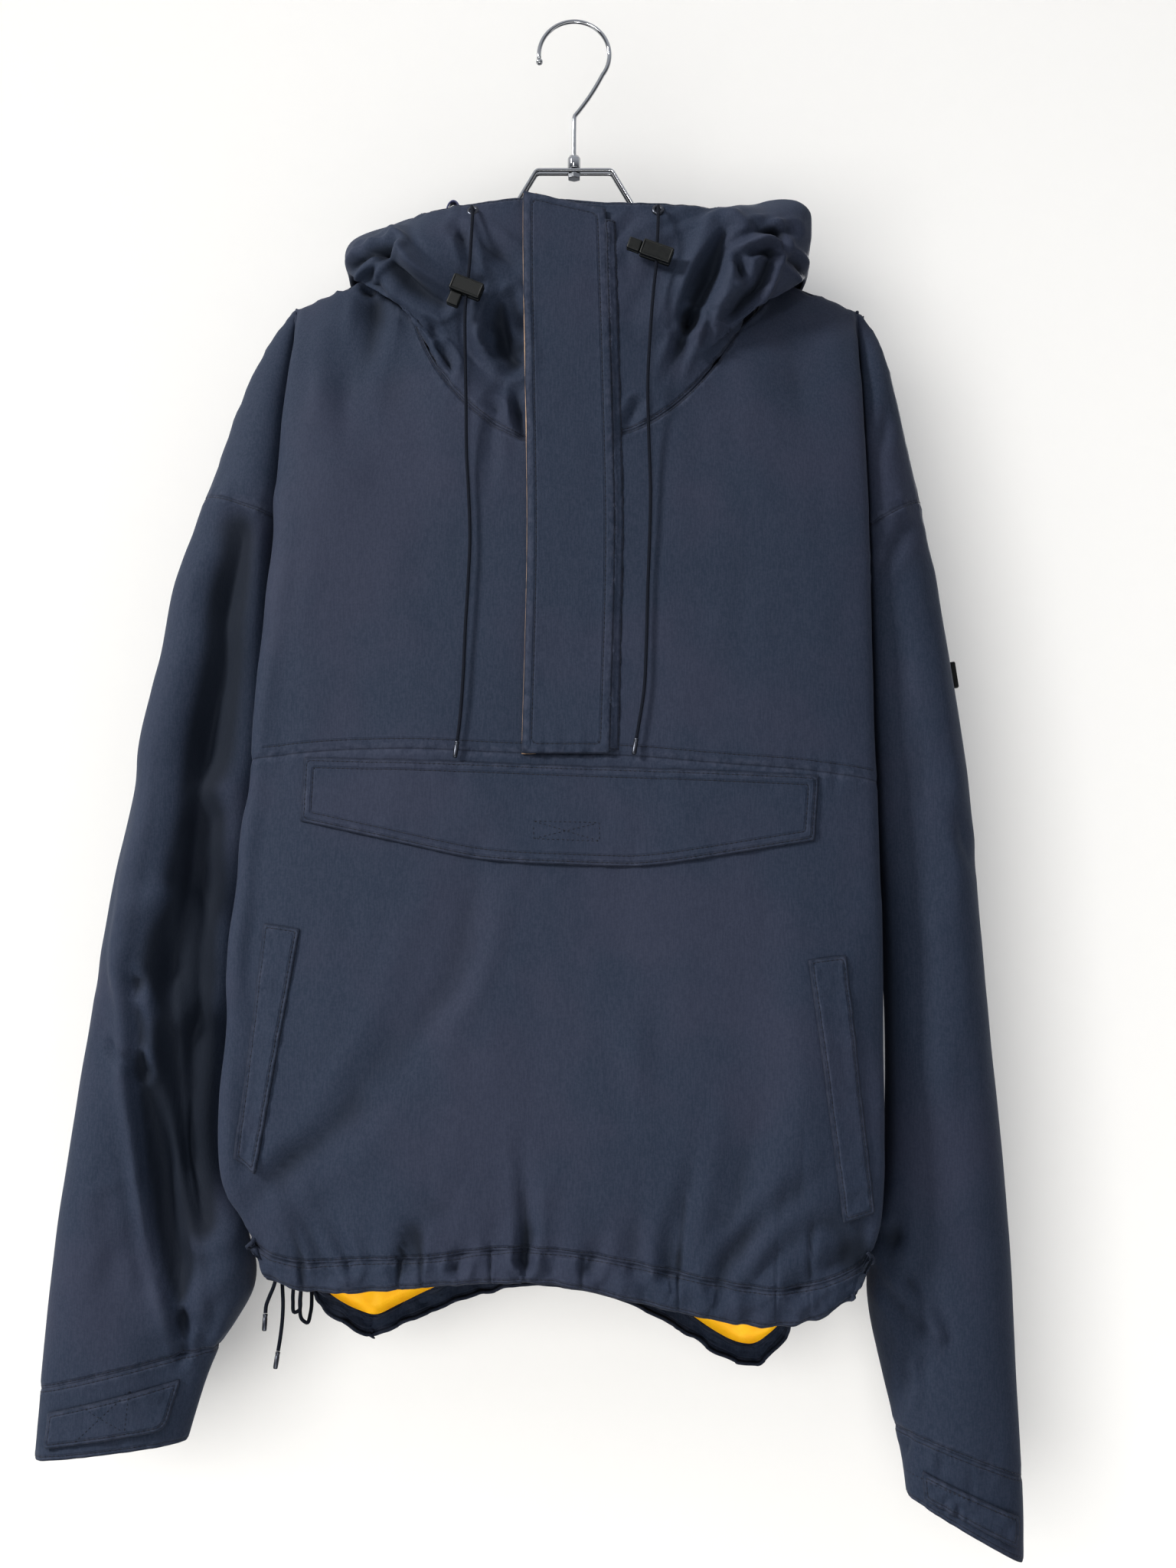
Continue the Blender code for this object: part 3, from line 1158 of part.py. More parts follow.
def make_hood_cords(cloth):
    for side, eyelet, nodes, spec in (("left", EYELET_LEFT, HOOD_CORD_LEFT, LOCK_LEFT),
                                      ("right", EYELET_RIGHT, HOOD_CORD_RIGHT, LOCK_RIGHT)):
        way_out = make_eyelet(f"eyelet_{side}", cloth, *eyelet)
        route = smooth_route(way_out + route_points(nodes), 3 * 2 * CORD_RADIUS)
        tube(f"hood_cord_{side}", route, CORD_RADIUS, CORD)
        add_tip(f"hood_cord_tip_{side}", route, TIP["radius"])
        make_cord_lock(side, spec, route)


def make_hem_cords():
    for name, nodes, tipped in (("hem_cord_a", HEM_CORD_A, True), ("hem_cord_b", HEM_CORD_B, True),
                                ("hem_cord_loop_a", HEM_LOOP_A, False),
                                ("hem_cord_loop_b", HEM_LOOP_B, False)):
        step = (4.6 if tipped else 2.8) * HEM_CORD_RADIUS
        route = smooth_route(route_points(nodes), step)
        tube(name, route, HEM_CORD_RADIUS, CORD)
        if tipped:
            add_tip(name.replace("cord", "cord_tip"), route, HEM_CORD_RADIUS + 0.0003)


def make_cuff_tab(side):
    """The closing tab round the front of a cuff, from the outside towards the inside."""
    grid = []
    for down in CUFF_TAB_ROWS[side]:
        along = CUFF_SEAM + (CUFF_END - CUFF_SEAM) * down
        angles = np.radians(np.linspace(*CUFF_TAB_TURN, 9))
        grid.append(arm_points(side, along, angles))
    grid = np.array(grid)
    panel = Panel(grid, flip=side == "right")
    share_normals([panel])
    panel.grid = grid + panel.normals * (CUFF_TAB_LIFT + FLAP_CLOTH)
    mesh_object(f"cuff_tab_{side}", *wall(panel, FLAP_CLOTH, 0), SHELL)


def make_sleeve_tab():
    """A small plain tab on the outer edge of the right sleeve."""
    at = arm_points("right", np.array(SLEEVE_TAB["along"]), np.array(math.pi))
    above = arm_points("right", np.array(SLEEVE_TAB["along"] - 0.05), np.array(math.pi))
    lean = Vector(above - at)
    turn = Matrix.Rotation(math.atan2(lean.x, lean.z), 4, "Y")
    reach = SLEEVE_TAB["wide"] / 2 + SEAM_GAP
    place = Matrix.Translation(Vector(at) + Vector((reach, 0, 0))) @ turn
    bevelled_box("sleeve_tab", (SLEEVE_TAB["wide"], SLEEVE_TAB["high"], SLEEVE_TAB["long"]),
                 0.0012, PLASTIC, place)


def make_hang_loop():
    """A small loop of tape that stands above the hood's rim from inside the neck."""
    half, rise, thick = HANG_LOOP["half"], HANG_LOOP["rise"], HANG_LOOP["thick"]
    foot = Vector((HANG_LOOP["x"], HANG_LOOP["y"], -HANG_LOOP["drop"] - rise))
    grid = []
    for degrees in range(0, 181, 20):
        turn = math.radians(degrees)
        arch = foot + Vector((half * math.cos(turn), 0, rise * math.sin(turn)))
        grid.append([arch, arch + Vector((0, HANG_LOOP["wide"], 0))])
    panel = Panel(np.array(grid))
    share_normals([panel])
    mesh_object("hang_loop", *wall(panel, thick, 0), SHELL)


def main():
    yokes = {side: yoke_panel(side) for side in ("left", "right")}
    sleeves = {side: arm_panel(side, ARM_ROWS) for side in ("left", "right")}
    cuffs = {side: arm_panel(side, CUFF_ROWS) for side in ("left", "right")}
    hoods = {side: Panel(hood_grid(side), flip=side == "left") for side in ("left", "right")}
    lower = Panel(lower_grid("front"), face="front")
    back = back_panel()
    front_casing = Panel(casing_grid("front", lower.grid[-1]), face="front")
    back_row = back.grid[-1, CAP_COLUMNS:-CAP_COLUMNS]
    back_casing = Panel(casing_grid("back", back_row), flip=True, face="back")
    panels = [*yokes.values(), *sleeves.values(), *cuffs.values(), *hoods.values(),
              lower, back, front_casing, back_casing]
    share_normals(panels)

    for side in ("left", "right"):
        add_panel(f"front_yoke_{side}", yokes[side], CLOTH)
        add_panel(f"sleeve_{side}", sleeves[side], CLOTH)
        add_panel(f"cuff_{side}", cuffs[side], CUFF_CLOTH)
        add_panel(f"hood_{side}", hoods[side], CLOTH, gap=3 * SEAM_GAP)
        make_cuff_tab(side)
    add_panel("front_lower", lower, CLOTH)
    add_panel("back", back, CLOTH)
    add_panel("hem_casing_front", front_casing, CASING_CLOTH, gap=2 * SEAM_GAP)
    add_panel("hem_casing_back", back_casing, CASING_CLOTH, gap=6 * SEAM_GAP)
    make_lining(back)

    cloth = Cloth([*yokes.values(), lower, *hoods.values()])
    make_front_pieces(cloth)
    make_hood_cords(cloth)
    make_hem_cords()
    make_sleeve_tab()
    make_hang_loop()
    make_hanger()


main()
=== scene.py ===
"""The looks of an anorak pullover on its wire hanger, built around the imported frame.

Lengths are in metres, +Z is up and the garment's front faces -Y. "Drop" is the distance
below the hook. Left and right are those of someone who looks at the front.
"""

from __future__ import annotations
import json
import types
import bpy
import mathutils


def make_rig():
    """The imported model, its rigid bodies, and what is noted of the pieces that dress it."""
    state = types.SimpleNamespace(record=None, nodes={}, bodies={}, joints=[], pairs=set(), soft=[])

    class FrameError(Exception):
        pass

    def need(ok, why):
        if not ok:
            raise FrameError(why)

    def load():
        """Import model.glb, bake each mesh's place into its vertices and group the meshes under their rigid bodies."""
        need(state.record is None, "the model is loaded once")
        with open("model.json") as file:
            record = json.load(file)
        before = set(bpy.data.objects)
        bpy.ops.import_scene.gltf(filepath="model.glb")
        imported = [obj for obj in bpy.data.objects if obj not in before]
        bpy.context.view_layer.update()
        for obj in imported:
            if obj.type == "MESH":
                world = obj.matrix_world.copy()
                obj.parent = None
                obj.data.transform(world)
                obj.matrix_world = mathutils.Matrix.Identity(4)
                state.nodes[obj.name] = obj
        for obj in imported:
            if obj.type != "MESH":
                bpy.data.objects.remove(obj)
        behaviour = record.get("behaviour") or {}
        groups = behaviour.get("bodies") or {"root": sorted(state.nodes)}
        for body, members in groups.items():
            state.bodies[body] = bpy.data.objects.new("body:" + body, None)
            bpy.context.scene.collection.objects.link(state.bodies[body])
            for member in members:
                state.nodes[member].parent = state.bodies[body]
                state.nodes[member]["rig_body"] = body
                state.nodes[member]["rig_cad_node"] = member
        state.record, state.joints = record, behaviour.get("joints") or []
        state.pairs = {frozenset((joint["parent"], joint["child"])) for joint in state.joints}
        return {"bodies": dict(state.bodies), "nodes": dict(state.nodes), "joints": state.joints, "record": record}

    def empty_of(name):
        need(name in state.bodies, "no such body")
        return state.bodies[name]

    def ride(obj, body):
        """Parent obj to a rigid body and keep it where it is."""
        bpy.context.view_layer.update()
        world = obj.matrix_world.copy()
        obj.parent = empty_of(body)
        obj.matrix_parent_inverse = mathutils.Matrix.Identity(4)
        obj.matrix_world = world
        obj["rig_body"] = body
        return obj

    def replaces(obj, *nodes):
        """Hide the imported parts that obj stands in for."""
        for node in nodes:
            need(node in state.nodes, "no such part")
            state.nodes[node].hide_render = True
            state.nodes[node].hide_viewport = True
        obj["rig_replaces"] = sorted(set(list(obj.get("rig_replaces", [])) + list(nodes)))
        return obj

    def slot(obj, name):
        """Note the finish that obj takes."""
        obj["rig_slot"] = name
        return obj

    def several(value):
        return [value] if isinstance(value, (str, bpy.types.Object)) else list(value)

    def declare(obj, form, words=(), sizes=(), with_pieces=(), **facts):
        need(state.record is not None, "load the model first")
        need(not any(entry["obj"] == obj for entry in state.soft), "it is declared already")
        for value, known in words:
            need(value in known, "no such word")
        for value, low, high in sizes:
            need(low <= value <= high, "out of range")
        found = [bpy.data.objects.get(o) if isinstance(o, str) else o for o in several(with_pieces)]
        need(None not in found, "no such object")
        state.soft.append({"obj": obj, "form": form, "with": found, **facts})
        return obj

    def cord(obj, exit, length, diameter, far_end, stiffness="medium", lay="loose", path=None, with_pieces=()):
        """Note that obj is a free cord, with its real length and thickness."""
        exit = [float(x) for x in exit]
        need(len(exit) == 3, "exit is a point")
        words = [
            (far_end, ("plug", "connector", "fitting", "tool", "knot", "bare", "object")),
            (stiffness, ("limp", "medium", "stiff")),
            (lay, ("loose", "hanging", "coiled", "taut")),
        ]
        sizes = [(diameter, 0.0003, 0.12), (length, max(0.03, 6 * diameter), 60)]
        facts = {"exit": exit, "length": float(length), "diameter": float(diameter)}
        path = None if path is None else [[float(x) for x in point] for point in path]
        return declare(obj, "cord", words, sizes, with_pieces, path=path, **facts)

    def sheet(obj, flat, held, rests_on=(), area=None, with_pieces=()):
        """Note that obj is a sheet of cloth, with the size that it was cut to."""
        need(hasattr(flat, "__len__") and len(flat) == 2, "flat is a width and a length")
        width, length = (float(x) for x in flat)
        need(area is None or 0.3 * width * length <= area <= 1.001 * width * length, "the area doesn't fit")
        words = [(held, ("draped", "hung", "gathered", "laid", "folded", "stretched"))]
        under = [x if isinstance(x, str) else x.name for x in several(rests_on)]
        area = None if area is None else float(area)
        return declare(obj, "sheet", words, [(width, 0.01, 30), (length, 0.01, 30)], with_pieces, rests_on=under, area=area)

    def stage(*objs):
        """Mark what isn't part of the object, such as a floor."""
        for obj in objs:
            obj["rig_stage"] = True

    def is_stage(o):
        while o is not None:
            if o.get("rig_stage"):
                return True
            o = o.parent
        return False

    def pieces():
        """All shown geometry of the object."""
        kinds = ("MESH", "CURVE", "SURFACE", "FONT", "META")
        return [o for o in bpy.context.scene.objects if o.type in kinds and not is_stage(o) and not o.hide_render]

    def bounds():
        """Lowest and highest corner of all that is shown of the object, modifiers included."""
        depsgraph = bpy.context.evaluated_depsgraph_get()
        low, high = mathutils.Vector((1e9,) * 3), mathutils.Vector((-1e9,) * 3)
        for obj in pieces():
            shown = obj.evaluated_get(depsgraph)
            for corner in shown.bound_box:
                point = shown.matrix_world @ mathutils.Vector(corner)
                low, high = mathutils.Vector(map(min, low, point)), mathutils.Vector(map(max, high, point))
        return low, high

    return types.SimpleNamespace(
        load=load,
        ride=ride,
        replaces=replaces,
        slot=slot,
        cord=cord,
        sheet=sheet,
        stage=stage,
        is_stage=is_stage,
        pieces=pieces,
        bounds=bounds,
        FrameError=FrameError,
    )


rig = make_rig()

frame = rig.load()
CAD_BOX = [list(corner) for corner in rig.bounds()]

import json
import logging
import math
from collections.abc import Iterable, Iterator
from dataclasses import dataclass, field
from enum import Enum

import bmesh
import bpy
import numpy as np
from mathutils import Matrix, Vector
from mathutils.bvhtree import BVHTree
from mathutils.kdtree import KDTree

LOG = logging.getLogger("anorak")
BODY = "root"
SIDES = ("left", "right")
SIZE_FILE = "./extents.json"
MILLIMETRE = 0.001
METRE = 1000
Pair = tuple[float, float]
Pairs = tuple[Pair, ...]
Triple = tuple[float, float, float]
Rows = tuple[tuple[float, ...], ...]
Piece = bpy.types.Object
RGB = Triple

# ---- shader wrappers -----------------------------------


class Value:
    """A shader socket that can be used in Python expressions, which add Math nodes."""

    def __init__(self, graph: Graph, socket: bpy.types.NodeSocket) -> None:
        """Keeps the socket and the graph that it belongs to."""
        self.graph = graph
        self.socket = socket

    def _join(self, operation: str, first: object, second: object) -> Value:
        """Adds one node for two operands.

        Args:
            operation: The Math or Vector Math operation.
            first: The first operand, a value or a number.
            second: The second operand.

        Returns:
            The node's result.
        """
        vector = self.socket.type == "VECTOR"
        kind = "VectorMath" if vector else "Math"
        return self.graph.node(kind, {"operation": operation}, {0: first, 1: second})

    def __add__(self, other: object) -> Value:
        """Value plus other."""
        return self._join("ADD", self, other)

    def __radd__(self, other: object) -> Value:
        """Other plus value."""
        return self._join("ADD", other, self)

    def __sub__(self, other: object) -> Value:
        """Value minus other."""
        return self._join("SUBTRACT", self, other)

    def __rsub__(self, other: object) -> Value:
        """Other minus value."""
        return self._join("SUBTRACT", other, self)

    def __mul__(self, other: object) -> Value:
        """Value times other."""
        return self._join("MULTIPLY", self, other)

    def __rmul__(self, other: object) -> Value:
        """Other times value."""
        return self._join("MULTIPLY", other, self)

    def __or__(self, other: object) -> Value:
        """The larger of value and other."""
        return self._join("MAXIMUM", self, other)

    def clamped(self, low: float, high: float) -> Value:
        """The value mapped smoothly from low..high to 0..1."""
        settings = {"interpolation_type": "SMOOTHSTEP"}
        sockets = {"Value": self, "From Min": low, "From Max": high}
        return self.graph.node("MapRange", settings, sockets)


class Graph:
    """The node tree of one material, or of the world."""

    def __init__(self, name: str, owner: bpy.types.ID | None = None) -> None:
        """Starts an empty material of that name, or empties its owner's tree.

        Args:
            name: The material's name.
            owner: A world, where the tree is one's.
        """
        self.material = owner or bpy.data.materials.new(name)
        self.material.use_nodes = True
        self.tree = self.material.node_tree
        self.tree.nodes.clear()

    def node(
        self,
        kind: str,
        settings: dict[str, object] | None = None,
        sockets: dict[str | int, object] | None = None,
        output: str | int = 0,
    ) -> Value:
        """Adds a node, sets it up, and then fills its sockets.

        Args:
            kind: The node's type, without "ShaderNode".
            settings: The node's own settings. "stops" holds a ramp's (place, colour) pairs.
            sockets: Numbers, colours or values by the socket's name or place.
            output: The output to give back.

        Returns:
            The chosen output as a value.
        """
        made = self.tree.nodes.new("ShaderNode" + kind)
        for key, setting in (settings or {}).items():
            if key == "stops":
                self._set_stops(made.color_ramp, setting)
            else:
                setattr(made, key, setting)
        for key, value in (sockets or {}).items():
            self.plug(made.inputs[key], value)
        return Value(self, made.outputs[output] if made.outputs else None)

    @staticmethod
    def _set_stops(ramp: bpy.types.ColorRamp, stops: tuple[tuple[float, RGB], ...]) -> None:
        """Gives a ramp its stops.

        Args:
            ramp: The ramp of a node.
            stops: The place and the colour of each stop.
        """
        while len(ramp.elements) < len(stops):
            ramp.elements.new(0.5)
        for element, (place, colour) in zip(ramp.elements, stops):
            element.position = place
            element.color = (*colour, 1.0)

    def plug(self, socket: bpy.types.NodeSocket, value: object) -> None:
        """Links a value to a socket, or sets a constant on it.

        Args:
            socket: The input.
            value: A value, a number, a vector or a colour without its alpha.
        """
        if isinstance(value, Value):
            self.tree.links.new(value.socket, socket)
        elif socket.type == "RGBA":
            socket.default_value = (*value, 1.0)
        else:
            socket.default_value = value

    def place(self, scale: Triple = (1, 1, 1)) -> Value:
        """The object's own coordinates in metres, times a scale."""
        where = self.node("TexCoord", output="Object")
        return where * scale if scale != (1, 1, 1) else where

    def noise(self, where: Value, scale: float, detail: float = 2.0, rough: float = 0.5) -> Value:
        """Noise from 0 to 1 with that many cells a metre."""
        sockets = {"Vector": where, "Scale": scale, "Detail": detail, "Roughness": rough}
        return self.node("TexNoise", {}, sockets)

    def wave(self, scale: Triple, distortion: float = 0.0) -> Value:
        """Slanting bands from 0 to 1."""
        sockets = {"Vector": self.place(scale), "Scale": 1.0, "Distortion": distortion}
        return self.node("TexWave", {"bands_direction": "DIAGONAL"}, sockets, 1)

    def attribute(self, name: str) -> Value:
        """A number stored on the mesh's points."""
        return self.node("Attribute", {"attribute_name": name}, output="Fac")

    def mix(self, share: object, first: object, second: object) -> Value:
        """One colour blended into another by a share from 0 to 1."""
        sockets = {0: share, 6: first, 7: second}
        return self.node("Mix", {"data_type": "RGBA"}, sockets, 2)

    def bump(self, height: Value, depth: float, **under: Value) -> Value:
        """A bumped normal from a height of 0 to 1 that stands for a depth in metres."""
        return self.node("Bump", {}, {"Height": height, "Distance": depth, "Strength": 1.0, **under})

    def surface(self, sockets: dict[str | int, object]) -> bpy.types.Material:
        """Finishes the material with one Principled shader of those sockets."""
        shader = self.node("BsdfPrincipled", {}, sockets)
        self.node("OutputMaterial", {}, {"Surface": shader})
        return self.material


# ---- the finishes --------------------------------------


@dataclass(frozen=True)
class ShellCloth:
    """The outer cloth: a dense matte weave with a brushed face, rubbed pale at its seams."""

    name: str = "shell_cloth"
    colour: RGB = (0.0165, 0.0250, 0.0440)
    faded: RGB = (0.0290, 0.0315, 0.0530)
    # Pale wear in the grain and beside seams, and painted light on the crests of creases.
    worn: RGB = (0.0430, 0.0500, 0.0760)
    # Also the colour of the painted shadow along each border.
    thread: RGB = (0.0035, 0.0045, 0.0090)
    # Painted shade: the colour that troughs and gathers are darkened towards, by their depth.
    deep: RGB = (0.0040, 0.0068, 0.0125)
    roughness: float = 0.78
    nap: float = 0.00026
    pucker: float = 0.0012
    valley: float = 0.0015
    needle: float = 0.00055

    def material(self) -> bpy.types.Material:
        """Builds the material.

        Returns:
            The material, which reads the attributes that store_rows and ClothPiece write.
        """
        graph = Graph(self.name)
        where = graph.place()
        mottle = graph.noise(where, 620.0, 3.0, 0.6)
        slubs = graph.noise(graph.place((1600.0, 1600.0, 140.0)), 1.0, 2.0)
        along = graph.noise(where, 190.0, 2.0)
        seam = graph.attribute("seam")
        near = 1 - seam.clamped(0.001, 0.010)
        lines = [self.row(graph, seam, letter, self.needle) for letter in "ab"]
        grooves = [self.row(graph, seam, letter, self.valley) for letter in "ab"]
        return graph.surface(
            {
                "Base Color": self.tint(graph, mottle * 0.5 + slubs * 0.5, near * along, lines),
                "Roughness": self.roughness,
                "Specular IOR Level": 0.22,
                "Sheen Weight": 0.06,
                "Sheen Roughness": 0.45,
                "Sheen Tint": (0.55, 0.62, 0.80),
                "Normal": self.relief(graph, mottle * 0.6 + slubs * 0.4, along * near, grooves),
            }
        )

    def row(self, graph: Graph, seam: Value, letter: str, width: float) -> Value:
        """How close a place is to one of the piece's two rows of stitches, 1 on it."""
        away = (seam - graph.attribute("row_" + letter)) * (1 / width)
        return (1 - (away * away).clamped(0.0, 1.0)) * graph.attribute("sewn_" + letter)

    def tint(self, graph: Graph, grain: Value, rubbed: Value, lines: list[Value]) -> Value:
        """The colour: layers of it, each laid over the last by its share.

        Args:
            graph: The material's graph.
            grain: The weave's grain, from 0 to 1.
            rubbed: How much a place beside a seam is rubbed.
            lines: How close a place is to each row of stitches.

        Returns:
            The colour.
        """
        patches = graph.noise(graph.place(), 9.0, 3.0, 0.55).clamped(0.42, 0.66)
        # Painted shadow: the last 0.7 mm of each border, and the turned-in allowance, darkened towards the thread's
        # colour.
        edge = 1 - graph.attribute("seam").clamped(0.0, 0.0007)
        fold = graph.attribute("fold")
        layers = (
            (patches * 0.55, self.faded),
            (grain.clamped(0.38, 0.62) * 0.36, self.worn),
            (rubbed.clamped(0.35, 0.70) * 0.60, self.worn),
            *((line * 0.45, self.thread) for line in lines),
            # Painted seam shadow.
            (edge * 0.35, self.thread),
            # Painted light: crests lightened towards the pale wear colour, by their height.
            ((0 - fold).clamped(0.10, 0.80) * 0.20, self.worn),
            # Painted shade in troughs and gathers, darker where the crease is deeper.
            (fold.clamped(0.10, 0.90) * 0.80, self.deep),
        )
        base = self.colour
        for share, colour in layers:
            base = graph.mix(share, base, colour)
        return base

    def relief(self, graph: Graph, nap: Value, puckers: Value, grooves: list[Value]) -> Value:
        """The bump of the nap, the puckers along seams and the grooves of the stitches."""
        height = puckers * 0.8 - grooves[0] * 0.32 - grooves[1] * 0.32
        return graph.bump(height, self.pucker, Normal=graph.bump(nap, self.nap))


@dataclass(frozen=True)
class PlainWeave:
    """A smooth thin cloth, such as the lining and the front opening's facing."""

    name: str
    colour: RGB
    shade: RGB
    roughness: float = 0.6
    glow: float = 0.0

    def material(self) -> bpy.types.Material:
        """Builds the material.

        Returns:
            The material.
        """
        graph = Graph(self.name)
        where = graph.place()
        folds = graph.noise(where, 60.0, 3.0)
        weave = graph.noise(graph.place((2600.0, 2600.0, 900.0)), 1.0, 1.0)
        base = graph.mix(folds.clamped(0.35, 0.7) * 0.6, self.colour, self.shade)
        return graph.surface(
            {
                "Base Color": base,
                "Roughness": self.roughness,
                "Sheen Weight": 0.1,
                # Painted light: the cloth gives off light in its own colour, though it is no lamp.
                "Emission Color": base,
                "Emission Strength": self.glow,
                "Normal": graph.bump(folds * 0.8 + weave * 0.2, 0.0006),
            }
        )


@dataclass(frozen=True)
class BraidedCord:
    """A thin round cord of black braid."""

    name: str = "braided_cord"
    colour: RGB = (0.0045, 0.0060, 0.0110)
    # Painted highlight: the colour of the braid's raised strands.
    light: RGB = (0.016, 0.020, 0.032)

    def material(self) -> bpy.types.Material:
        """Builds the material.

        Returns:
            The material.
        """
        graph = Graph(self.name)
        strands = graph.wave((900.0, 900.0, 420.0), 1.5)
        crossing = graph.wave((-900.0, 900.0, 420.0), 1.5)
        braid = strands * 0.5 + crossing * 0.5
        return graph.surface(
            {
                # Painted highlight and shade: raised strands lighter than the grooves between them.
                "Base Color": graph.mix(braid * 0.7, self.colour, self.light),
                "Roughness": 0.75,
                "Specular IOR Level": 0.15,
                "Normal": graph.bump(braid, 0.0003),
            }
        )


@dataclass(frozen=True)
class MouldedPlastic:
    """Satin black plastic with a fine moulded grain."""

    name: str = "moulded_plastic"
    colour: RGB = (0.0028, 0.0034, 0.0036)
    rubbed: RGB = (0.0120, 0.0145, 0.0130)

    def material(self) -> bpy.types.Material:
        """Builds the material.

        Returns:
            The material.
        """
        graph = Graph(self.name)
        where = graph.place()
        grain = graph.noise(where, 2600.0, 2.0)
        wear = graph.noise(where, 420.0, 4.0, 0.65)
        shine = wear.clamped(0.3, 0.8)
        return graph.surface(
            {
                "Base Color": graph.mix(shine * 0.5, self.colour, self.rubbed),
                "Roughness": 0.34 + shine * 0.20,
                "Specular IOR Level": 0.30,
                "Normal": graph.bump(grain, 0.00005),
            }
        )


@dataclass(frozen=True)
class PlatedMetal:
    """Bright plated steel with faint wiping marks."""

    name: str
    colour: RGB
    smooth: float
    rough: float

    def material(self) -> bpy.types.Material:
        """Builds the material.

        Returns:
            The material.
        """
        graph = Graph(self.name)
        where = graph.place()
        marks = graph.noise(where, 260.0, 4.0, 0.6)
        hue = tuple(0.86 * part for part in self.colour)
        return graph.surface(
            {
                "Base Color": graph.mix(marks * 0.5, self.colour, hue),
                "Metallic": 1.0,
                "Roughness": self.smooth + marks * (self.rough - self.smooth),
                "Normal": graph.bump(marks, 0.00002),
            }
        )


@dataclass(frozen=True)
class SewingThread:
    """Twisted polyester thread."""

    name: str = "sewing_thread"
    colour: RGB = (0.0045, 0.0055, 0.0110)
    # Painted highlight: the colour of the twist's ridges.
    light: RGB = (0.020, 0.023, 0.036)

    def material(self) -> bpy.types.Material:
        """Builds the material.

        Returns:
            The material.
        """
        graph = Graph(self.name)
        twist = graph.wave((2400.0, 2400.0, 2400.0))
        return graph.surface(
            {
                # Painted highlight and shade: the twist's ridges lighter than its grooves.
                "Base Color": graph.mix(twist * 0.5, self.colour, self.light),
                "Roughness": 0.5,
                "Normal": graph.bump(twist, 0.0001),
            }
        )


class Finish(Enum):
    """The finishes that pieces are made in."""

    SHELL = ShellCloth()
    # The lining gives off light at 0.30: painted light, though it is no lamp.
    LINING = PlainWeave("lining_cloth", (1.0, 0.53, 0.012), (0.88, 0.38, 0.008), 0.6, 0.30)
    FACING = PlainWeave("facing_cloth", (0.52, 0.35, 0.22), (0.26, 0.17, 0.12))
    CORD = BraidedCord()
    PLASTIC = MouldedPlastic()
    CHROME = PlatedMetal("chrome_plate", (0.43, 0.44, 0.46), 0.04, 0.10)
    DARK_METAL = PlatedMetal("dark_metal", (0.075, 0.080, 0.095), 0.28, 0.42)
    THREAD = SewingThread()
    TAPE = PlainWeave("loop_tape", (0.050, 0.055, 0.130), (0.035, 0.038, 0.095), 0.7)

    def material(self) -> bpy.types.Material:
        """The finish's material, built once."""
        return bpy.data.materials.get(self.value.name) or self.value.material()


# ---- mesh helpers --------------------------------------

def add_piece(
    name: str, data: bpy.types.ID, finishes: list[Finish], slot: str, node: str = ""
) -> Piece:
    """Adds an object that rides on the part's one body.

    Args:
        name: The piece's name.
        data: Its mesh or curve.
        finishes: Its finishes, in the order of its material slots.
        slot: The record's material slot.
        node: The frame's node that it stands in for, if it does.

    Returns:
        The new object.
    """
    piece = bpy.data.objects.new(name, data)
    bpy.context.scene.collection.objects.link(piece)
    for finish in finishes:
        data.materials.append(finish.material())
    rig.ride(piece, BODY)
    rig.slot(piece, slot)
    if node:
        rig.replaces(piece, node)
    LOG.info("piece %s", name)
    return piece


# How wide the broken edges of hard pieces are.
TURNED_EDGE = 0.00020
MOULDED_EDGE = 0.00018


def thickened(piece: Piece, thickness: float) -> bpy.types.Modifier:
    """Makes a sheet a wall of that thickness, behind its seen side.

    Args:
        piece: The sheet's object.
        thickness: How thick the wall is.

    Returns:
        The modifier that does it.
    """
    wall = piece.modifiers.new("thickness", "SOLIDIFY")
    wall.thickness = thickness
    wall.offset = -1
    return wall


def eased(piece: Piece, width: float) -> Piece:
    """Breaks a hard piece's sharp edges.

    Args:
        piece: The piece.
        width: How wide each broken edge is.

    Returns:
        The piece.
    """
    edge = piece.modifiers.new("edge", "BEVEL")
    edge.width = width
    edge.segments = 2
    edge.limit_method = "ANGLE"
    return piece


def mesh_of(name: str, points: np.ndarray, faces: np.ndarray) -> bpy.types.Mesh:
    """A smooth mesh from arrays.

    Args:
        name: The mesh's name.
        points: Its points, n by 3.
        faces: Its faces, which all have as many corners.

    Returns:
        The mesh.
    """
    mesh = bpy.data.meshes.new(name)
    mesh.vertices.add(len(points))
    mesh.vertices.foreach_set("co", points.astype(np.float32).ravel())
    corners = faces.shape[1]
    mesh.loops.add(faces.size)
    mesh.loops.foreach_set("vertex_index", faces.astype(np.int32).ravel())
    mesh.polygons.add(len(faces))
    mesh.polygons.foreach_set("loop_start", np.arange(len(faces), dtype=np.int32) * corners)
    mesh.polygons.foreach_set("use_smooth", np.full(len(faces), True))
    mesh.update(calc_edges=True)
    return mesh


def arrays_of(mesh: bpy.types.Mesh) -> tuple[np.ndarray, np.ndarray]:
    """A mesh as arrays.

    Args:
        mesh: The mesh.

    Returns:
        Its points, and its faces if all have four corners, else its triangles.
    """
    points = np.empty(len(mesh.vertices) * 3, np.float32)
    mesh.vertices.foreach_get("co", points)
    source, corners = mesh.polygons, 4
    if any(len(face.vertices) != corners for face in mesh.polygons):
        mesh.calc_loop_triangles()
        source, corners = mesh.loop_triangles, 3
    faces = np.empty(len(source) * corners, np.int32)
    source.foreach_get("vertices", faces)
    return points.reshape(-1, 3).astype(float), faces.reshape(-1, corners)


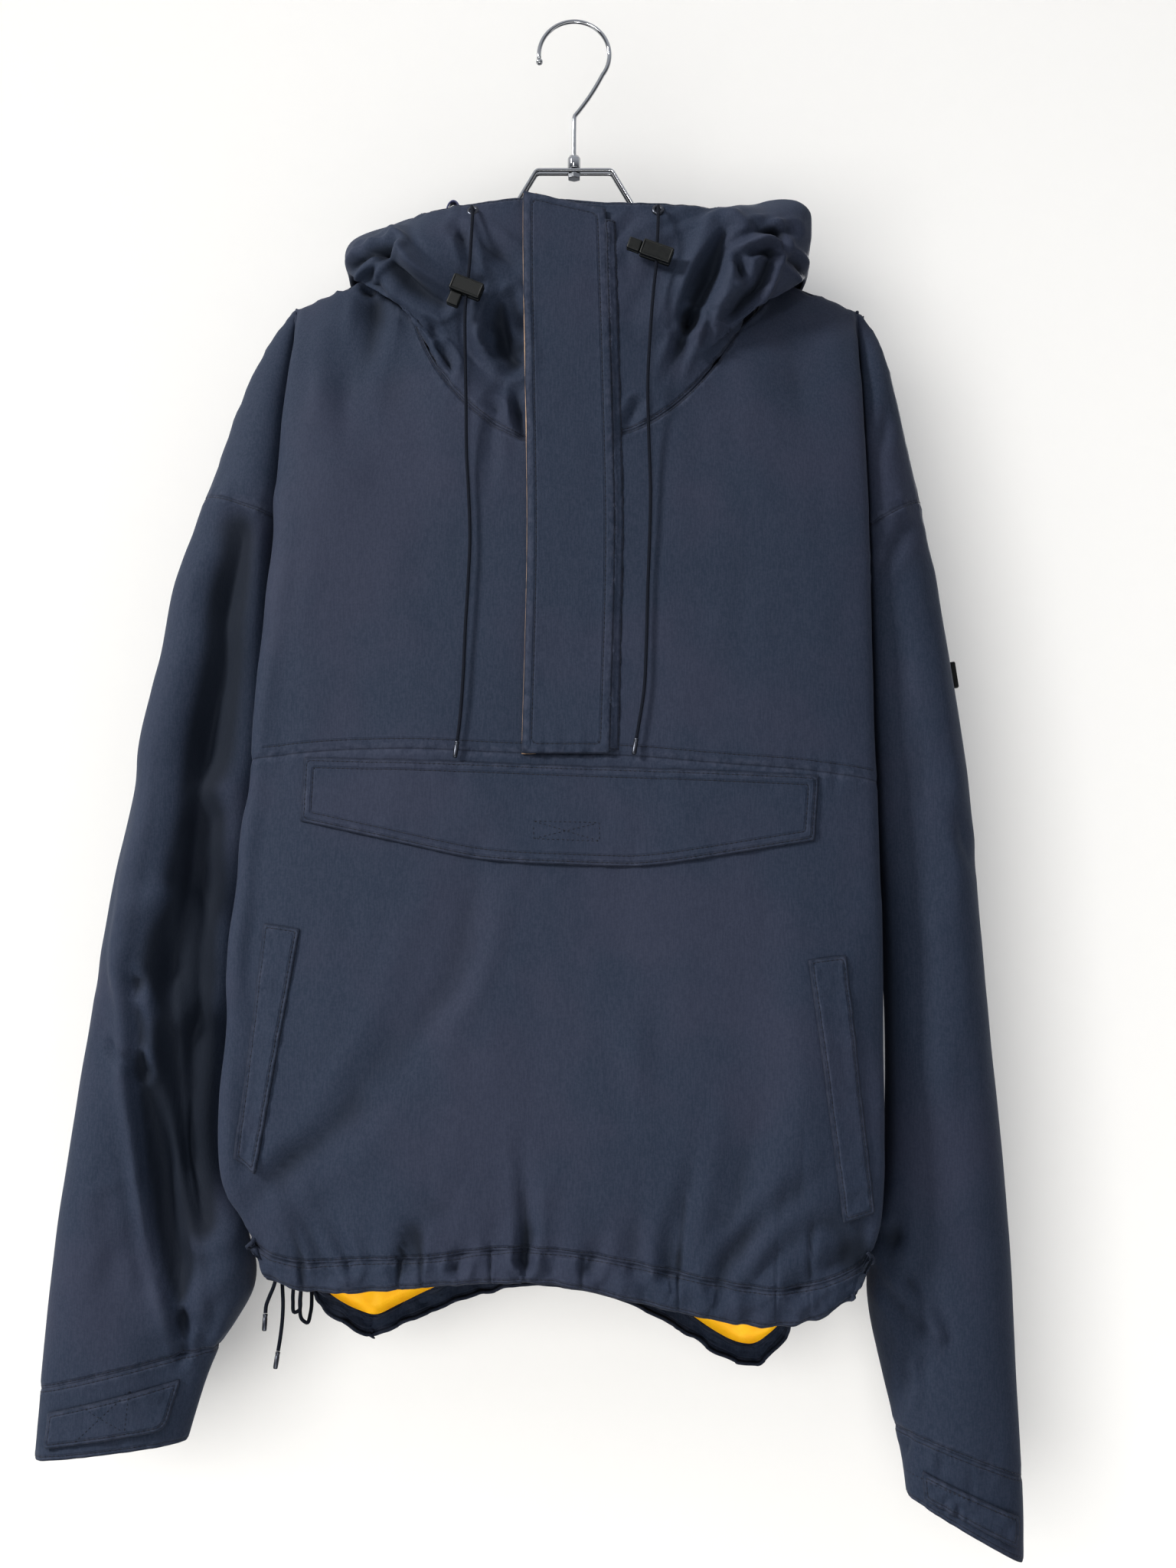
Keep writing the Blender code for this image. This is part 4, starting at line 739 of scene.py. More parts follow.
def unit(vectors: np.ndarray) -> np.ndarray:
    """Rows of vectors made one metre long."""
    return vectors / (np.linalg.norm(vectors, axis=-1, keepdims=True) + 1e-12)


def normals_of(points: np.ndarray, faces: np.ndarray) -> np.ndarray:
    """Unit normals of the points of four-sided faces.

    Args:
        points: The points.
        faces: The faces.

    Returns:
        One normal for each point.
    """
    normals = np.zeros_like(points)
    for corner in range(4):
        np.add.at(normals, faces[:, corner], doubled_areas(points[faces]))
    return normals / np.maximum(np.linalg.norm(normals, axis=1, keepdims=True), 1e-12)


def doubled_areas(corners: np.ndarray) -> np.ndarray:
    """The normal of each four-sided face, as long as twice its area."""
    return np.cross(corners[:, 2] - corners[:, 0], corners[:, 3] - corners[:, 1])


def grid_faces(rows: int, columns: int) -> np.ndarray:
    """The faces between rows of as many points."""
    first = np.arange(rows - 1)[:, None] * columns + np.arange(columns - 1)[None]
    return np.stack([first, first + columns, first + columns + 1, first + 1], axis=2).reshape(-1, 4)


def border_edges(faces: np.ndarray) -> np.ndarray:
    """The edges that only one face has.

    Args:
        faces: The faces of a sheet.

    Returns:
        The two points of each edge, in the order of its face.
    """
    corners = faces.shape[1]
    edges = np.concatenate([faces[:, [i, (i + 1) % corners]] for i in range(corners)])
    _, first, count = np.unique(np.sort(edges, axis=1), axis=0, return_index=True, return_counts=True)
    return edges[first[count == 1]]


def hashed(cells: np.ndarray, seed: int) -> np.ndarray:
    """A fixed number for each cell of a lattice, by an integer hash.

    Args:
        cells: The cells' whole coordinates.
        seed: Which lattice it is.

    Returns:
        One number from 0 to 1 for each cell.
    """
    mixed = cells[..., 0] * 73856093 ^ cells[..., 1] * 19349663 ^ cells[..., 2] * 83492791
    mixed = (mixed ^ seed * 2654435761) & 0xFFFFFFFF
    mixed = ((mixed ^ mixed >> 15) * 2246822519) & 0xFFFFFFFF
    mixed = ((mixed ^ mixed >> 13) * 3266489917) & 0xFFFFFFFF
    return (mixed ^ mixed >> 16) / 0xFFFFFFFF


def noise(points: np.ndarray, size: Triple | float, seed: int) -> np.ndarray:
    """Smooth noise from -1 to 1.

    Args:
        points: Where to read it, n by 3.
        size: The size of a cell in metres, or its three sizes.
        seed: Which noise it is.

    Returns:
        One number for each point.
    """
    scaled = points / np.broadcast_to(np.asarray(size, float), 3) + seed * 17.31
    low = np.floor(scaled).astype(np.int64)
    part = scaled - low
    part = part * part * part * (part * (part * 6 - 15) + 10)
    total = np.zeros(len(points))
    for corner in range(8):
        step = np.array([corner & 1, corner >> 1 & 1, corner >> 2 & 1])
        weight = np.prod(np.where(step, part, 1 - part), axis=1)
        total += weight * hashed(low + step, seed)
    return total * 2 - 1


def smoothstep(low: float, high: float, value: np.ndarray) -> np.ndarray:
    """0 below low and 1 above high, with a smooth rise between."""
    share = np.clip((value - low) / (high - low), 0, 1)
    return share * share * (3 - 2 * share)


class Table:
    """Rows of numbers with named columns. A row can leave out a last column that is 0."""

    def __init__(self, columns: str, rows: Rows) -> None:
        """Keeps the columns' names and the rows."""
        self.names = columns.split()
        self.rows = [row + (0.0,) * (len(self.names) - len(row)) for row in rows]

    def __iter__(self) -> Iterator[dict[str, float]]:
        """Each row as a dict by column."""
        return (dict(zip(self.names, row)) for row in self.rows)


# ---- creases -------------------------------------------

# Each crease bends from one end through its middle to the other. Its places, depths and width are
# in millimetres. A depth is positive for a trough and negative for a ridge, and a positive lean
# makes the side at larger x, or above, the gentler one.
CREASE = "x0 drop0 depth0 x1 drop1 depth1 x2 drop2 depth2 width lean"

FRONT_CREASES = Table(CREASE, (
    # right hood: the long light ridge, the dark valley beside it and the lower ridge
    (119, 164, -1.5, 92, 199, -3.2, 57, 251, -1.2, 9),
    (107, 180, 3.5, 96, 215, 6.5, 83, 251, 5, 6.5),
    (83, 251, 5, 78, 262, 3.5, 66, 293, 0.8, 5),
    (105.3, 186, 1, 87.8, 218, 1.8, 68.5, 257, 1.2, 2.6),
    (112, 185, -0.6, 101, 222, -1.5, 86, 260, -0.8, 2.8),
    (113, 207, -1.5, 107, 236, -3.5, 88, 269, -1, 6),
    (96.7, 247.4, 1.5, 95.1, 257, 2.6, 92.8, 268.6, 0.8, 3.2),
    # right hood: the hollow, the pointed fold below it and the outer roll
    (132, 178, 2, 143, 182, 4, 155, 179, 1.5, 4.5),
    (138, 173, 1, 145, 182, 2.5, 149, 193, 1.5, 3.5),
    (115, 201, -1.5, 128, 191, -3.5, 143, 190, -2, 4),
    (116.5, 203, 3.5, 118, 211, 4.5, 120, 218, 2, 4),
    (125, 198.5, 2, 132, 196.5, 3, 141.5, 194, 2, 3),
    (143, 197, 3.5, 130, 227, 5, 108.5, 250, 1.5, 4.5, 0.3),
    (128, 152, -1.5, 159, 156, -2.5, 174, 175, -1.5, 9),
    (156, 200, 2, 166, 205, 3, 173, 211, 1.5, 4),
    # right hood: small creases by the eyelet and the placket
    (46, 310, 1.6, 42, 319, 1.6, 38, 328, 0.4, 4),
    (46, 174, 0.4, 38, 184, 1.2, 30, 194, 0.3, 5),
    (62, 184, 0.4, 75, 176, 1.2, 87, 169, 0.3, 4),
    (47, 192, 0.4, 40, 206, 0.9, 41, 222, 0.2, 5),
    # left hood: the crest, the trough under it and the dark mouth above the shoulder
    (-128, 180, -1.5, -117, 211, -4.5, -85, 226, -2, 6),
    (-134, 190, 1.5, -124.5, 217, 4, -92, 236, 3, 5),
    (-164, 205, 3, -147, 198, 5, -128, 197, 2.5, 4.5),
    (-147, 211, 3, -138, 203, 4, -128, 197, 2, 4),
    (-151, 190, 1.5, -140, 195, 2.5, -130, 196, 1, 3.5),
    # left hood: the pocket beside the front opening, with its lit rim
    (-60.5, 230, -1.5, -68, 257, -3.5, -53, 278, -1.5, 5),
    (-53, 240, 4, -51, 263, 7, -42, 276, 4, 8),
    (-65, 251, -1, -58.5, 259, -2, -60, 267, -1, 3),
    (-83, 184.5, 0.8, -79, 189, 2.4, -72, 207, 1.2, 5),
    (-68, 189, 0.8, -53, 199, 2.2, -42, 207, 1.2, 6),
    (-43.8, 230, 2, -39, 251, 3.5, -38, 267, 2, 4),
    (-38, 301, 1.5, -37, 316, 4, -33, 332, 2, 4),
    (-60, 312.6, 0.8, -52.6, 316.4, 1.8, -56, 328, 0.8, 4),
    (-92, 266.6, 1.5, -87, 278, 3.2, -88, 290, 0.8, 3.6),
    (-94, 257, 0.8, -97.6, 251, 1.8, -101, 247, 0.6, 3),
    # yokes: soft valleys below the hood
    (-182, 250, -1, -184, 360, -2.2, -180, 500, -0.6, 34),
    (-142.6, 220.4, 2.2, -144, 251, 2.2, -147, 278, 0.5, 8),
    (-157, 263, 1.2, -160, 297, 1.8, -159.6, 335, 0.4, 12),
    (-136, 240, 0.8, -134, 300, 1.2, -132, 360, 0.2, 20),
    (-56, 328, 1, -56, 345, 1.5, -57, 372, 0.5, 5),
    (150, 230, 0.8, 158, 290, 1.2, 162, 350, 0.2, 18),
    (-75, 360, 0.2, -80, 430, 0.9, -78, 500, 0.2, 24),
    (110, 330, 0.2, 118, 420, 0.8, 112, 520, 0.2, 26),
    # lower front: the long soft fold, the hem's fans and the sides
    (-60, 634, 0.5, -78, 690, 1.8, -125, 800, 0.4, 15, 0.2),
    (-64, 690, 0.3, -80, 720, 1, -98, 745, 0.2, 8),
    (126, 785, 0.3, 114, 835, 1.6, 100, 880, 0.6, 13),
    (34, 736, -0.2, 40, 758, -0.9, 44, 780, -0.2, 9),
    (-214, 868, 0.6, -190, 834, 2.4, -137, 795, 0.4, 9, 0.3),
    (-180, 824, 0.3, -145, 790, 1.6, -107, 727, 0.2, 12, 0.2),
    (-160, 902, 1.8, -176, 872, 1.6, -196, 842, 0.3, 6),
    (-146, 897, 2.2, -155, 880, 1.8, -170, 868, 0.3, 5),
    (-77, 902, 2, -73, 892, 1.4, -66, 878, 0.2, 5),
    (-33, 896, 3, -31, 856, 1.8, -36, 812, 0.2, 5, 0.2),
    (-22, 894, -1.2, -17, 860, -1, -9, 830, -0.2, 6),
    (12, 900, 1.4, 16, 890, 1.2, 22, 876, 0.2, 5),
    (64, 904, 1.8, 68, 870, 1.4, 83, 824, 0.2, 7, 0.2),
    (96, 913, 1.8, 116, 880, 2.2, 172, 838, 0.3, 8, 0.2),
    (118, 916, 1.4, 138, 892, 1.6, 166, 874, 0.2, 6),
    (150, 918, 1.6, 168, 904, 1.6, 190, 890, 0.2, 6),
    (-112, 900, 1.4, -108, 885, 1.2, -100, 862, 0.2, 6),
    (40, 900, 1.2, 40, 886, 1, 44, 866, 0.2, 6),
    (205, 680, 0.3, 209, 730, 1.2, 206, 790, 0.3, 10),
    (-214, 672, 0.3, -224, 760, 1.2, -216, 838, 0.3, 10),
    # the sleeves' own fall: broad slopes away from the body
    (-234, 400, 5, -254, 560, 8, -270, 700, 7, 18),
    (-273, 690, 7, -272, 790, 8, -267, 900, 5, 18),
    (-246, 600, 4, -248, 740, 7, -252, 870, 4, 12),
    (-262, 420, -1.5, -290, 560, -2, -312, 690, -1.5, 15),
    (256, 420, -0.8, 262, 600, -1.4, 270, 860, -0.8, 16),
    # left sleeve in front: the lobe's crisp edge, the shade beside it and the folded tongue
    (-262, 400, 0.5, -286, 560, 1.2, -300, 715, 2, 7),
    (-300, 715, 3, -300, 745, 3, -299, 775, 3.2, 5),
    (-299, 775, 3.2, -284, 850, 5, -266, 940, 3.5, 7),
    (-266, 940, 2.5, -266, 955, 2.5, -268, 968, 1, 4),
    (-309, 780, -1, -295, 862, -2.2, -277, 945, -1.2, 5),
    (-318, 757, 1.4, -311, 767, 2.2, -299, 764, 1.4, 3.4),
    (-308, 712, 0.6, -303, 704, 1.6, -297, 696, 0.4, 4),
    (-222, 922, -0.6, -238, 938, -1.8, -248, 960, -1.2, 5),
    (-250, 962, 0.5, -240, 956, 2, -230, 950, 0.5, 4),
    (-300, 880, 0.3, -310, 900, 0.9, -322, 925, 0.3, 8),
    (-330, 860, -0.2, -318, 850, -0.6, -304, 846, -0.2, 4),
    # right sleeve in front, with thin ridges above the cuff
    (211.4, 911, -0.8, 221.5, 925, -2, 232.6, 943, -0.5, 4.2),
    (238.2, 919, -0.5, 243, 937, -1.5, 249, 947, -1.5, 4),
    (249, 947, -1.5, 234, 958, -1.8, 230, 970, -1.9, 4.4),
    (230, 970, -1.9, 229.7, 987, -1.8, 225.2, 1007, -0.5, 4.4),
    (216, 945, -0.5, 221, 957, -1.5, 212.5, 966, -0.3, 4),
    (222.6, 868, 1.5, 218, 889, 3.5, 213.6, 907, 2, 6),
    (227, 1020, 0.6, 226, 1028, 1.2, 224.7, 1036, 0.2, 2.2),
    (248.4, 1026, 0.6, 247.5, 1036, 1.4, 246.4, 1046, 0.2, 2.2),
    (237.5, 1055, 0.4, 237, 1062, 0.8, 236.3, 1069, 0.4, 1.8),
    (249.8, 1056, 0.4, 248.7, 1064, 0.8, 247.5, 1071, 0.4, 1.8),
    (257.9, 1060, 0.4, 257.2, 1068, 0.8, 256.6, 1077, 0.4, 1.8),
    (268, 1036, 0.4, 267.5, 1046, 0.8, 266.5, 1056, 0.3, 2),
    (204, 908, 1, 224, 932, 3, 240, 950, 0.6, 5),
    (221, 903, 0.8, 230, 916, 2.2, 241, 930, 0.4, 4),
    (238, 953, 0.8, 230, 972, 2.4, 224, 998, 0.5, 6),
    (209, 887, 0.8, 220, 884, 2.2, 232, 883, 0.4, 6),
    (264, 590, 0.3, 270, 612, 1.4, 277, 630, 0.3, 6),
    (216, 425, 1, 228, 402, 1.8, 244, 378, 0.5, 5),
    (217, 340, 0.4, 222, 322, 1.6, 227, 300, 0.4, 5),
    (236, 470, 0.3, 240, 560, 1.4, 252, 660, 0.3, 12),
    (262, 700, 0.3, 268, 790, 1.4, 266, 880, 0.3, 14),
))

BACK_CREASES = Table(CREASE, (
    # below the hood's bag and between the shoulders
    (-170, 235, 1.2, -130, 300, 2.2, -112, 400, 0.4, 11, 0.2),
    (172, 240, 1.2, 128, 310, 2.2, 110, 420, 0.4, 11, -0.2),
    (-80, 430, 1, -86, 500, 1.6, -100, 590, 0.3, 14),
    (74, 440, 1, 82, 520, 1.6, 100, 610, 0.3, 14),
    (-150, 470, 0.3, -168, 560, 1.5, -172, 660, 0.3, 12),
    (152, 480, 0.3, 166, 570, 1.5, 170, 680, 0.3, 12),
    # fans above the back hem
    (-170, 936, 2, -176, 900, 1.8, -190, 850, 0.3, 7),
    (-140, 940, 2.2, -134, 890, 1.8, -126, 820, 0.3, 7, 0.2),
    (-100, 926, 1.8, -92, 880, 1.4, -80, 800, 0.2, 7),
    (-60, 915, 1.8, -54, 870, 1.4, -46, 810, 0.2, 6),
    (-15, 908, 2, -12, 860, 1.6, -18, 790, 0.2, 7),
    (30, 912, 1.6, 34, 872, 1.4, 44, 816, 0.2, 6),
    (74, 924, 2, 74, 880, 1.6, 64, 800, 0.2, 8),
    (118, 950, 2.2, 116, 900, 1.8, 126, 820, 0.3, 8),
    (160, 950, 1.8, 168, 900, 1.6, 182, 850, 0.3, 7),
    # the hood's bag behind
    (-100, 220, 1.4, -74, 290, 2.6, -60, 380, 0.6, 9),
    (98, 215, 1.4, 78, 280, 2.6, 52, 370, 0.6, 9),
    (-40, 190, 0.6, -30, 250, 1.8, -34, 320, 0.4, 9),
    (30, 196, 0.6, 36, 262, 1.8, 30, 330, 0.4, 8),
    (-130, 240, 0.8, -118, 300, 2.2, -98, 350, 0.5, 7),
    (132, 236, 0.8, 122, 296, 2.2, 100, 350, 0.5, 7),
    # sleeves behind
    (-312, 720, 0.6, -286, 760, 2.8, -252, 800, 0.6, 8),
    (-330, 800, 0.5, -300, 850, 2.2, -280, 920, 0.4, 8),
    (-262, 400, 0.6, -246, 470, 2, -250, 550, 0.4, 9),
    (-300, 560, 0.3, -286, 610, 1.6, -270, 650, 0.3, 9),
    (284, 720, 0.6, 262, 760, 2.6, 236, 795, 0.6, 8),
    (292, 850, 0.5, 268, 900, 2.2, 246, 960, 0.4, 8),
    (246, 400, 0.6, 232, 470, 2, 232, 550, 0.4, 9),
    (270, 560, 0.3, 258, 620, 1.6, 240, 660, 0.3, 9),
))

CREASE_STEPS = 12
CREASE_GAIN = 2.2
CREASE_EDGE = 1.4
CREASE_REACH = 3.2
# The low bank on each side of a crease: its height, its place in widths and its spread.
BANK_HEIGHT, BANK_PLACE, BANK_SPREAD = 0.30, 1.9, 0.5


def crease_lift(row: dict[str, float], places: np.ndarray) -> np.ndarray:
    """How far one crease moves the cloth out at each place.

    Args:
        row: A row of a crease table.
        places: The (x, drop) of each point.

    Returns:
        The lift in metres, negative in a trough.
    """
    share = np.linspace(0, 1, CREASE_STEPS)[:, None]
    ends = [np.array([row[f"x{i}"], row[f"drop{i}"]]) / METRE for i in range(3)]
    bend = 2 * ends[1] - (ends[0] + ends[2]) / 2
    line = (1 - share) ** 2 * ends[0] + 2 * share * (1 - share) * bend + share**2 * ends[2]
    width = row["width"] * MILLIMETRE
    reach = CREASE_REACH * width
    inside = np.all((places > line.min(0) - reach) & (places < line.max(0) + reach), axis=1)
    lift = np.zeros(len(places))
    chosen = places[inside]
    if not len(chosen):
        return lift
    start, step = line[:-1], np.diff(line, axis=0)
    away = chosen[:, None] - start
    part = np.clip((away * step).sum(2) / (step * step).sum(1), 0, 1)
    gap = away - part[..., None] * step
    far = np.linalg.norm(gap, axis=2)
    nearest = far.argmin(1)
    index = np.arange(len(chosen))
    along = (nearest + part[index, nearest]) / (CREASE_STEPS - 1)
    way = step[nearest]
    side = np.sign(way[:, 0] * away[index, nearest, 1] - way[:, 1] * away[index, nearest, 0])
    spread = width * (1 + row["lean"] * side)
    away_share = far[index, nearest] / spread
    bank = BANK_HEIGHT * np.exp(-((away_share - BANK_PLACE) ** 2) / BANK_SPREAD)
    shape = np.exp(-(away_share**CREASE_EDGE)) - bank
    depth = np.interp(along, (0, 0.5, 1), (row["depth0"], row["depth1"], row["depth2"]))
    past = smoothstep(0.0, 1.0, 1 - np.maximum(away_share - 2.2, 0))
    lift[inside] = -depth * CREASE_GAIN * MILLIMETRE * shape * past
    return lift


# The eyelets' places, x and drop, and how far around them the cloth stays smooth.
EYELETS = {"left": (-0.0713, 0.1680), "right": (0.0598, 0.1673)}
CALM_RADIUS = 0.010


def calm_share(places: np.ndarray) -> np.ndarray:
    """How much of the creases is left at each place.

    Args:
        places: The (x, drop) of each point.

    Returns:
        One share for each point, 0 beside an eyelet.
    """
    share = np.ones(len(places))
    for spot in EYELETS.values():
        far = np.linalg.norm(places - np.array(spot), axis=1)
        share *= smoothstep(0.4 * CALM_RADIUS, 1.4 * CALM_RADIUS, far)
    return share


@dataclass(frozen=True)
class Relief:
    """How the cloth departs from the smooth form of its frame."""

    drift: float = 0.0035
    drift_size: float = 0.05
    uneven: float = 0.35
    uneven_size: float = 0.035
    sway: float = 0.0011
    sway_size: Triple = (0.045, 0.060, 0.120)
    ripple: float = 0.00035
    ripple_size: Triple = (0.014, 0.020, 0.034)
    pucker: float = 0.0009
    pucker_size: float = 0.0060
    pucker_reach: float = 0.011
    seam_dip: float = 0.0007
    seam_reach: float = 0.0020
    share: float = 1.0
    # The crease depth at which painted shade in troughs, and painted light on crests, is full.
    full_fold: float = 0.0090
    base: float = 0.0
    follows_back: bool = False
    gather: float = 0.0
    pleat: float = 0.45
    gather_size: Triple = (0.0105, 1.0, 0.110)
    pinch: float = 1.3
    pinch_size: Triple = (0.021, 1.0, 0.130)
    pinch_width: float = 0.11
    gather_reach: float = 0.030
    gather_shade: float = 2.2
    front_hem: float = 0.897
    back_hem: float = 0.938

    def lift(self, sheet: Sheet) -> np.ndarray:
        """How far each of a sheet's points moves out along its normal.

        Args:
            sheet: The smooth sheet, with its seam distances.

        Returns:
            One distance for each point.
        """
        points, normals = sheet.points, sheet.normals
        places = np.column_stack([points[:, 0], -points[:, 2]])
        wander = [noise(points, self.drift_size, seed) for seed in (3, 4)]
        places = places + np.column_stack(wander) * self.drift
        uneven = 1 + self.uneven * noise(points, self.uneven_size, 5)
        front = smoothstep(-0.25, 0.35, -normals[:, 1])
        back = smoothstep(-0.25, 0.35, normals[:, 1])
        if self.follows_back:
            front, back = back, -front
        lift = np.zeros(len(points))
        for table, weight in ((FRONT_CREASES, front), (BACK_CREASES, back)):
            for row in table:
                lift += crease_lift(row, places) * weight
        lift *= uneven * self.share * calm_share(places)
        # The fold share sets painted shade in troughs and painted light on crests, in the cloth's colour.
        sheet.fold = np.clip(-lift / self.full_fold, -1.0, 1.0)
        lift += self.base + self.sway * noise(points, self.sway_size, 11)
        lift += self.ripple * noise(points, self.ripple_size, 12)
        fade = np.exp(-((sheet.seam / self.pucker_reach) ** 2))
        lift += self.pucker * fade * noise(sheet.nearest, self.pucker_size, 13)
        lift -= self.seam_dip * np.exp(-((sheet.seam / self.seam_reach) ** 2))
        if self.gather:
            gathers = self.gathers(points)
            # The gathers' pinches add to the painted shade.
            sheet.fold = np.clip(sheet.fold - gathers / self.full_fold * self.gather_shade, -1.0, 1.0)
            lift += gathers
        return lift

    def gathers(self, points: np.ndarray) -> np.ndarray:
        """The small upright pleats above and below the hem's seams.

        Args:
            points: Where to work them out.

        Returns:
            One lift for each point.
        """
        seam_drop = np.where(points[:, 1] < 0, self.front_hem, self.back_hem)
        far = np.abs(-points[:, 2] - seam_drop)
        pleats = noise(points, self.gather_size, 21) + 0.6 * noise(points, self.gather_size, 22)
        pinch = np.exp(-((noise(points, self.pinch_size, 23) / self.pinch_width) ** 2))
        deep = 0.35 + 0.65 * smoothstep(-0.2, 0.5, noise(points, self.pinch_size, 24))
        height = self.pleat * pleats - self.pinch * pinch * deep
        return self.gather * height * np.exp(-far / self.gather_reach)


# ---- sheets of cloth -----------------------------------


class Facing(Enum):
    """The way in which the seen side of a sheet faces."""

    FRONT = (0, -1, 0)
    BACK = (0, 1, 0)
    LEFT = (-1, 0, 0)
    RIGHT = (1, 0, 0)


# The two folds of a seam allowance: the shares of its reach and of its depth.
ALLOWANCE = ((0.75, 0.25), (1.0, 1.0))


@dataclass
class Sheet:
    """The seen side of one wall of cloth, as four-sided faces."""

    points: np.ndarray
    faces: np.ndarray
    normals: np.ndarray = field(init=False)
    seam: np.ndarray = field(init=False)
    nearest: np.ndarray = field(init=False)
    fold: np.ndarray = field(init=False)

    def __post_init__(self) -> None:
        """Works out the normals and how far each point is from the sheet's border."""
        self.normals = normals_of(self.points, self.faces)
        self.fold = np.zeros(len(self.points))
        self._measure_seam()

    def _measure_seam(self) -> None:
        """Finds each point's distance to the border, and the nearest place on it."""
        edges = border_edges(self.faces)
        first, second = self.points[edges[:, 0]], self.points[edges[:, 1]]
        border = np.concatenate([first * (1 - t) + second * t for t in (0, 0.34, 0.67)])
        tree = KDTree(len(border))
        for i, point in enumerate(border):
            tree.insert(point, i)
        tree.balance()
        self.seam = np.empty(len(self.points))
        self.nearest = np.empty_like(self.points)
        for i, point in enumerate(self.points):
            place, _, distance = tree.find(point)
            self.seam[i] = distance
            self.nearest[i] = place

    def move(self, lift: np.ndarray) -> None:
        """Moves each point along its normal, and turns the normals to suit."""
        self.points = self.points + self.normals * lift[:, None]
        self.normals = normals_of(self.points, self.faces)

    def turned_in(self, out: float, down: float) -> tuple[np.ndarray, np.ndarray, np.ndarray]:
        """The sheet with a seam allowance that turns in along its whole border.

        Args:
            out: How far the allowance goes past the border.
            down: How far it goes in, under the neighbour.

        Returns:
            The points, the faces and each point's distance to the border.
        """
        edges = border_edges(self.faces)
        rim, index = np.unique(edges, return_inverse=True)
        ends = index.reshape(-1, 2)
        along = unit(self.points[edges[:, 1]] - self.points[edges[:, 0]])
        tangent = np.zeros((len(rim), 3))
        for corner in range(2):
            np.add.at(tangent, ends[:, corner], along)
        outward = unit(np.cross(tangent, self.normals[rim]))
        share = shoulder_share(self.points[rim])
        points, faces, seam = [self.points], [self.faces], [self.seam]
        before, total = edges, len(self.points)
        for far, deep in ALLOWANCE:
            step = outward * out * far - self.normals[rim] * down * deep
            points.append(self.points[rim] + step * share)
            seam.append(np.zeros(len(rim)))
            ring = ends + total
            faces.append(np.column_stack([before[:, 1], before[:, 0], ring[:, 0], ring[:, 1]]))
            before, total = ring, total + len(rim)
        return np.concatenate(points), np.concatenate(faces), np.concatenate(seam)


# The tips of the shoulders, where seams meet edge-on: x and drop.
SHOULDER = (0.210, 0.226)


def shoulder_distance(points: np.ndarray) -> np.ndarray:
    """How far each point is from the tip of its shoulder, seen from the front."""
    return np.hypot(np.abs(points[:, 0]) - SHOULDER[0], -points[:, 2] - SHOULDER[1])


def shoulder_share(points: np.ndarray) -> np.ndarray:
    """How much of a seam allowance is left at each point, little at the tips of the shoulders."""
    return (0.08 + 0.92 * smoothstep(0.012, 0.034, shoulder_distance(points)))[:, None]


def welded(points: np.ndarray, faces: np.ndarray, within: float = 2e-5) -> tuple[np.ndarray, np.ndarray]:
    """Points this close made one, and the triangles that collapse dropped.

    Args:
        points: The points.
        faces: The triangles.
        within: How close is the same.

    Returns:
        The points and the triangles that are left.
    """
    keys = np.round(points / within).astype(np.int64)
    _, first, index = np.unique(keys, axis=0, return_index=True, return_inverse=True)
    faces = index.reshape(-1)[faces]
    whole = (faces != np.roll(faces, 1, axis=1)).all(axis=1)
    return points[first], faces[whole]


def linked_faces(faces: np.ndarray) -> np.ndarray:
    """Finds the parts that triangles form by their shared edges.

    Args:
        faces: The triangles.

    Returns:
        A label for each triangle, the same in one part.
    """
    edges = np.sort(np.concatenate([faces[:, [0, 1]], faces[:, [1, 2]], faces[:, [2, 0]]]), axis=1)
    _, index = np.unique(edges, axis=0, return_inverse=True)
    sides = index.reshape(3, len(faces)).T
    labels = np.arange(len(faces))
    while True:
        lowest = np.full(sides.max() + 1, len(faces))
        np.minimum.at(lowest, sides.ravel(), np.repeat(labels, 3))
        changed = np.minimum(labels, lowest[sides].min(axis=1))
        if (changed == labels).all():
            return labels
        labels = changed


def shoulder_turn(corners: np.ndarray, way: np.ndarray) -> np.ndarray:
    """Finds the triangles that turn round the tip of a shoulder.

    Args:
        corners: The triangles' corners, n by 3 by 3.
        way: The direction that the seen side faces.

    Returns:
        True for each triangle near a tip that faces away from that direction.
    """
    centre = np.abs(corners.mean(axis=1))
    across = unit(np.cross(corners[:, 1] - corners[:, 0], corners[:, 2] - corners[:, 0]))
    low, high = np.array([0.196, 0.0, 0.217]), np.array([0.220, 0.008, 0.246])
    near = ((centre > low) & (centre < high)).all(axis=1)
    return near & (across @ way < 0.1)


# A rim's edge is as long as the wall is thick, within this. A part of so few triangles is no side.
RIM_TOLERANCE = 0.00003
SMALL_PART = 12


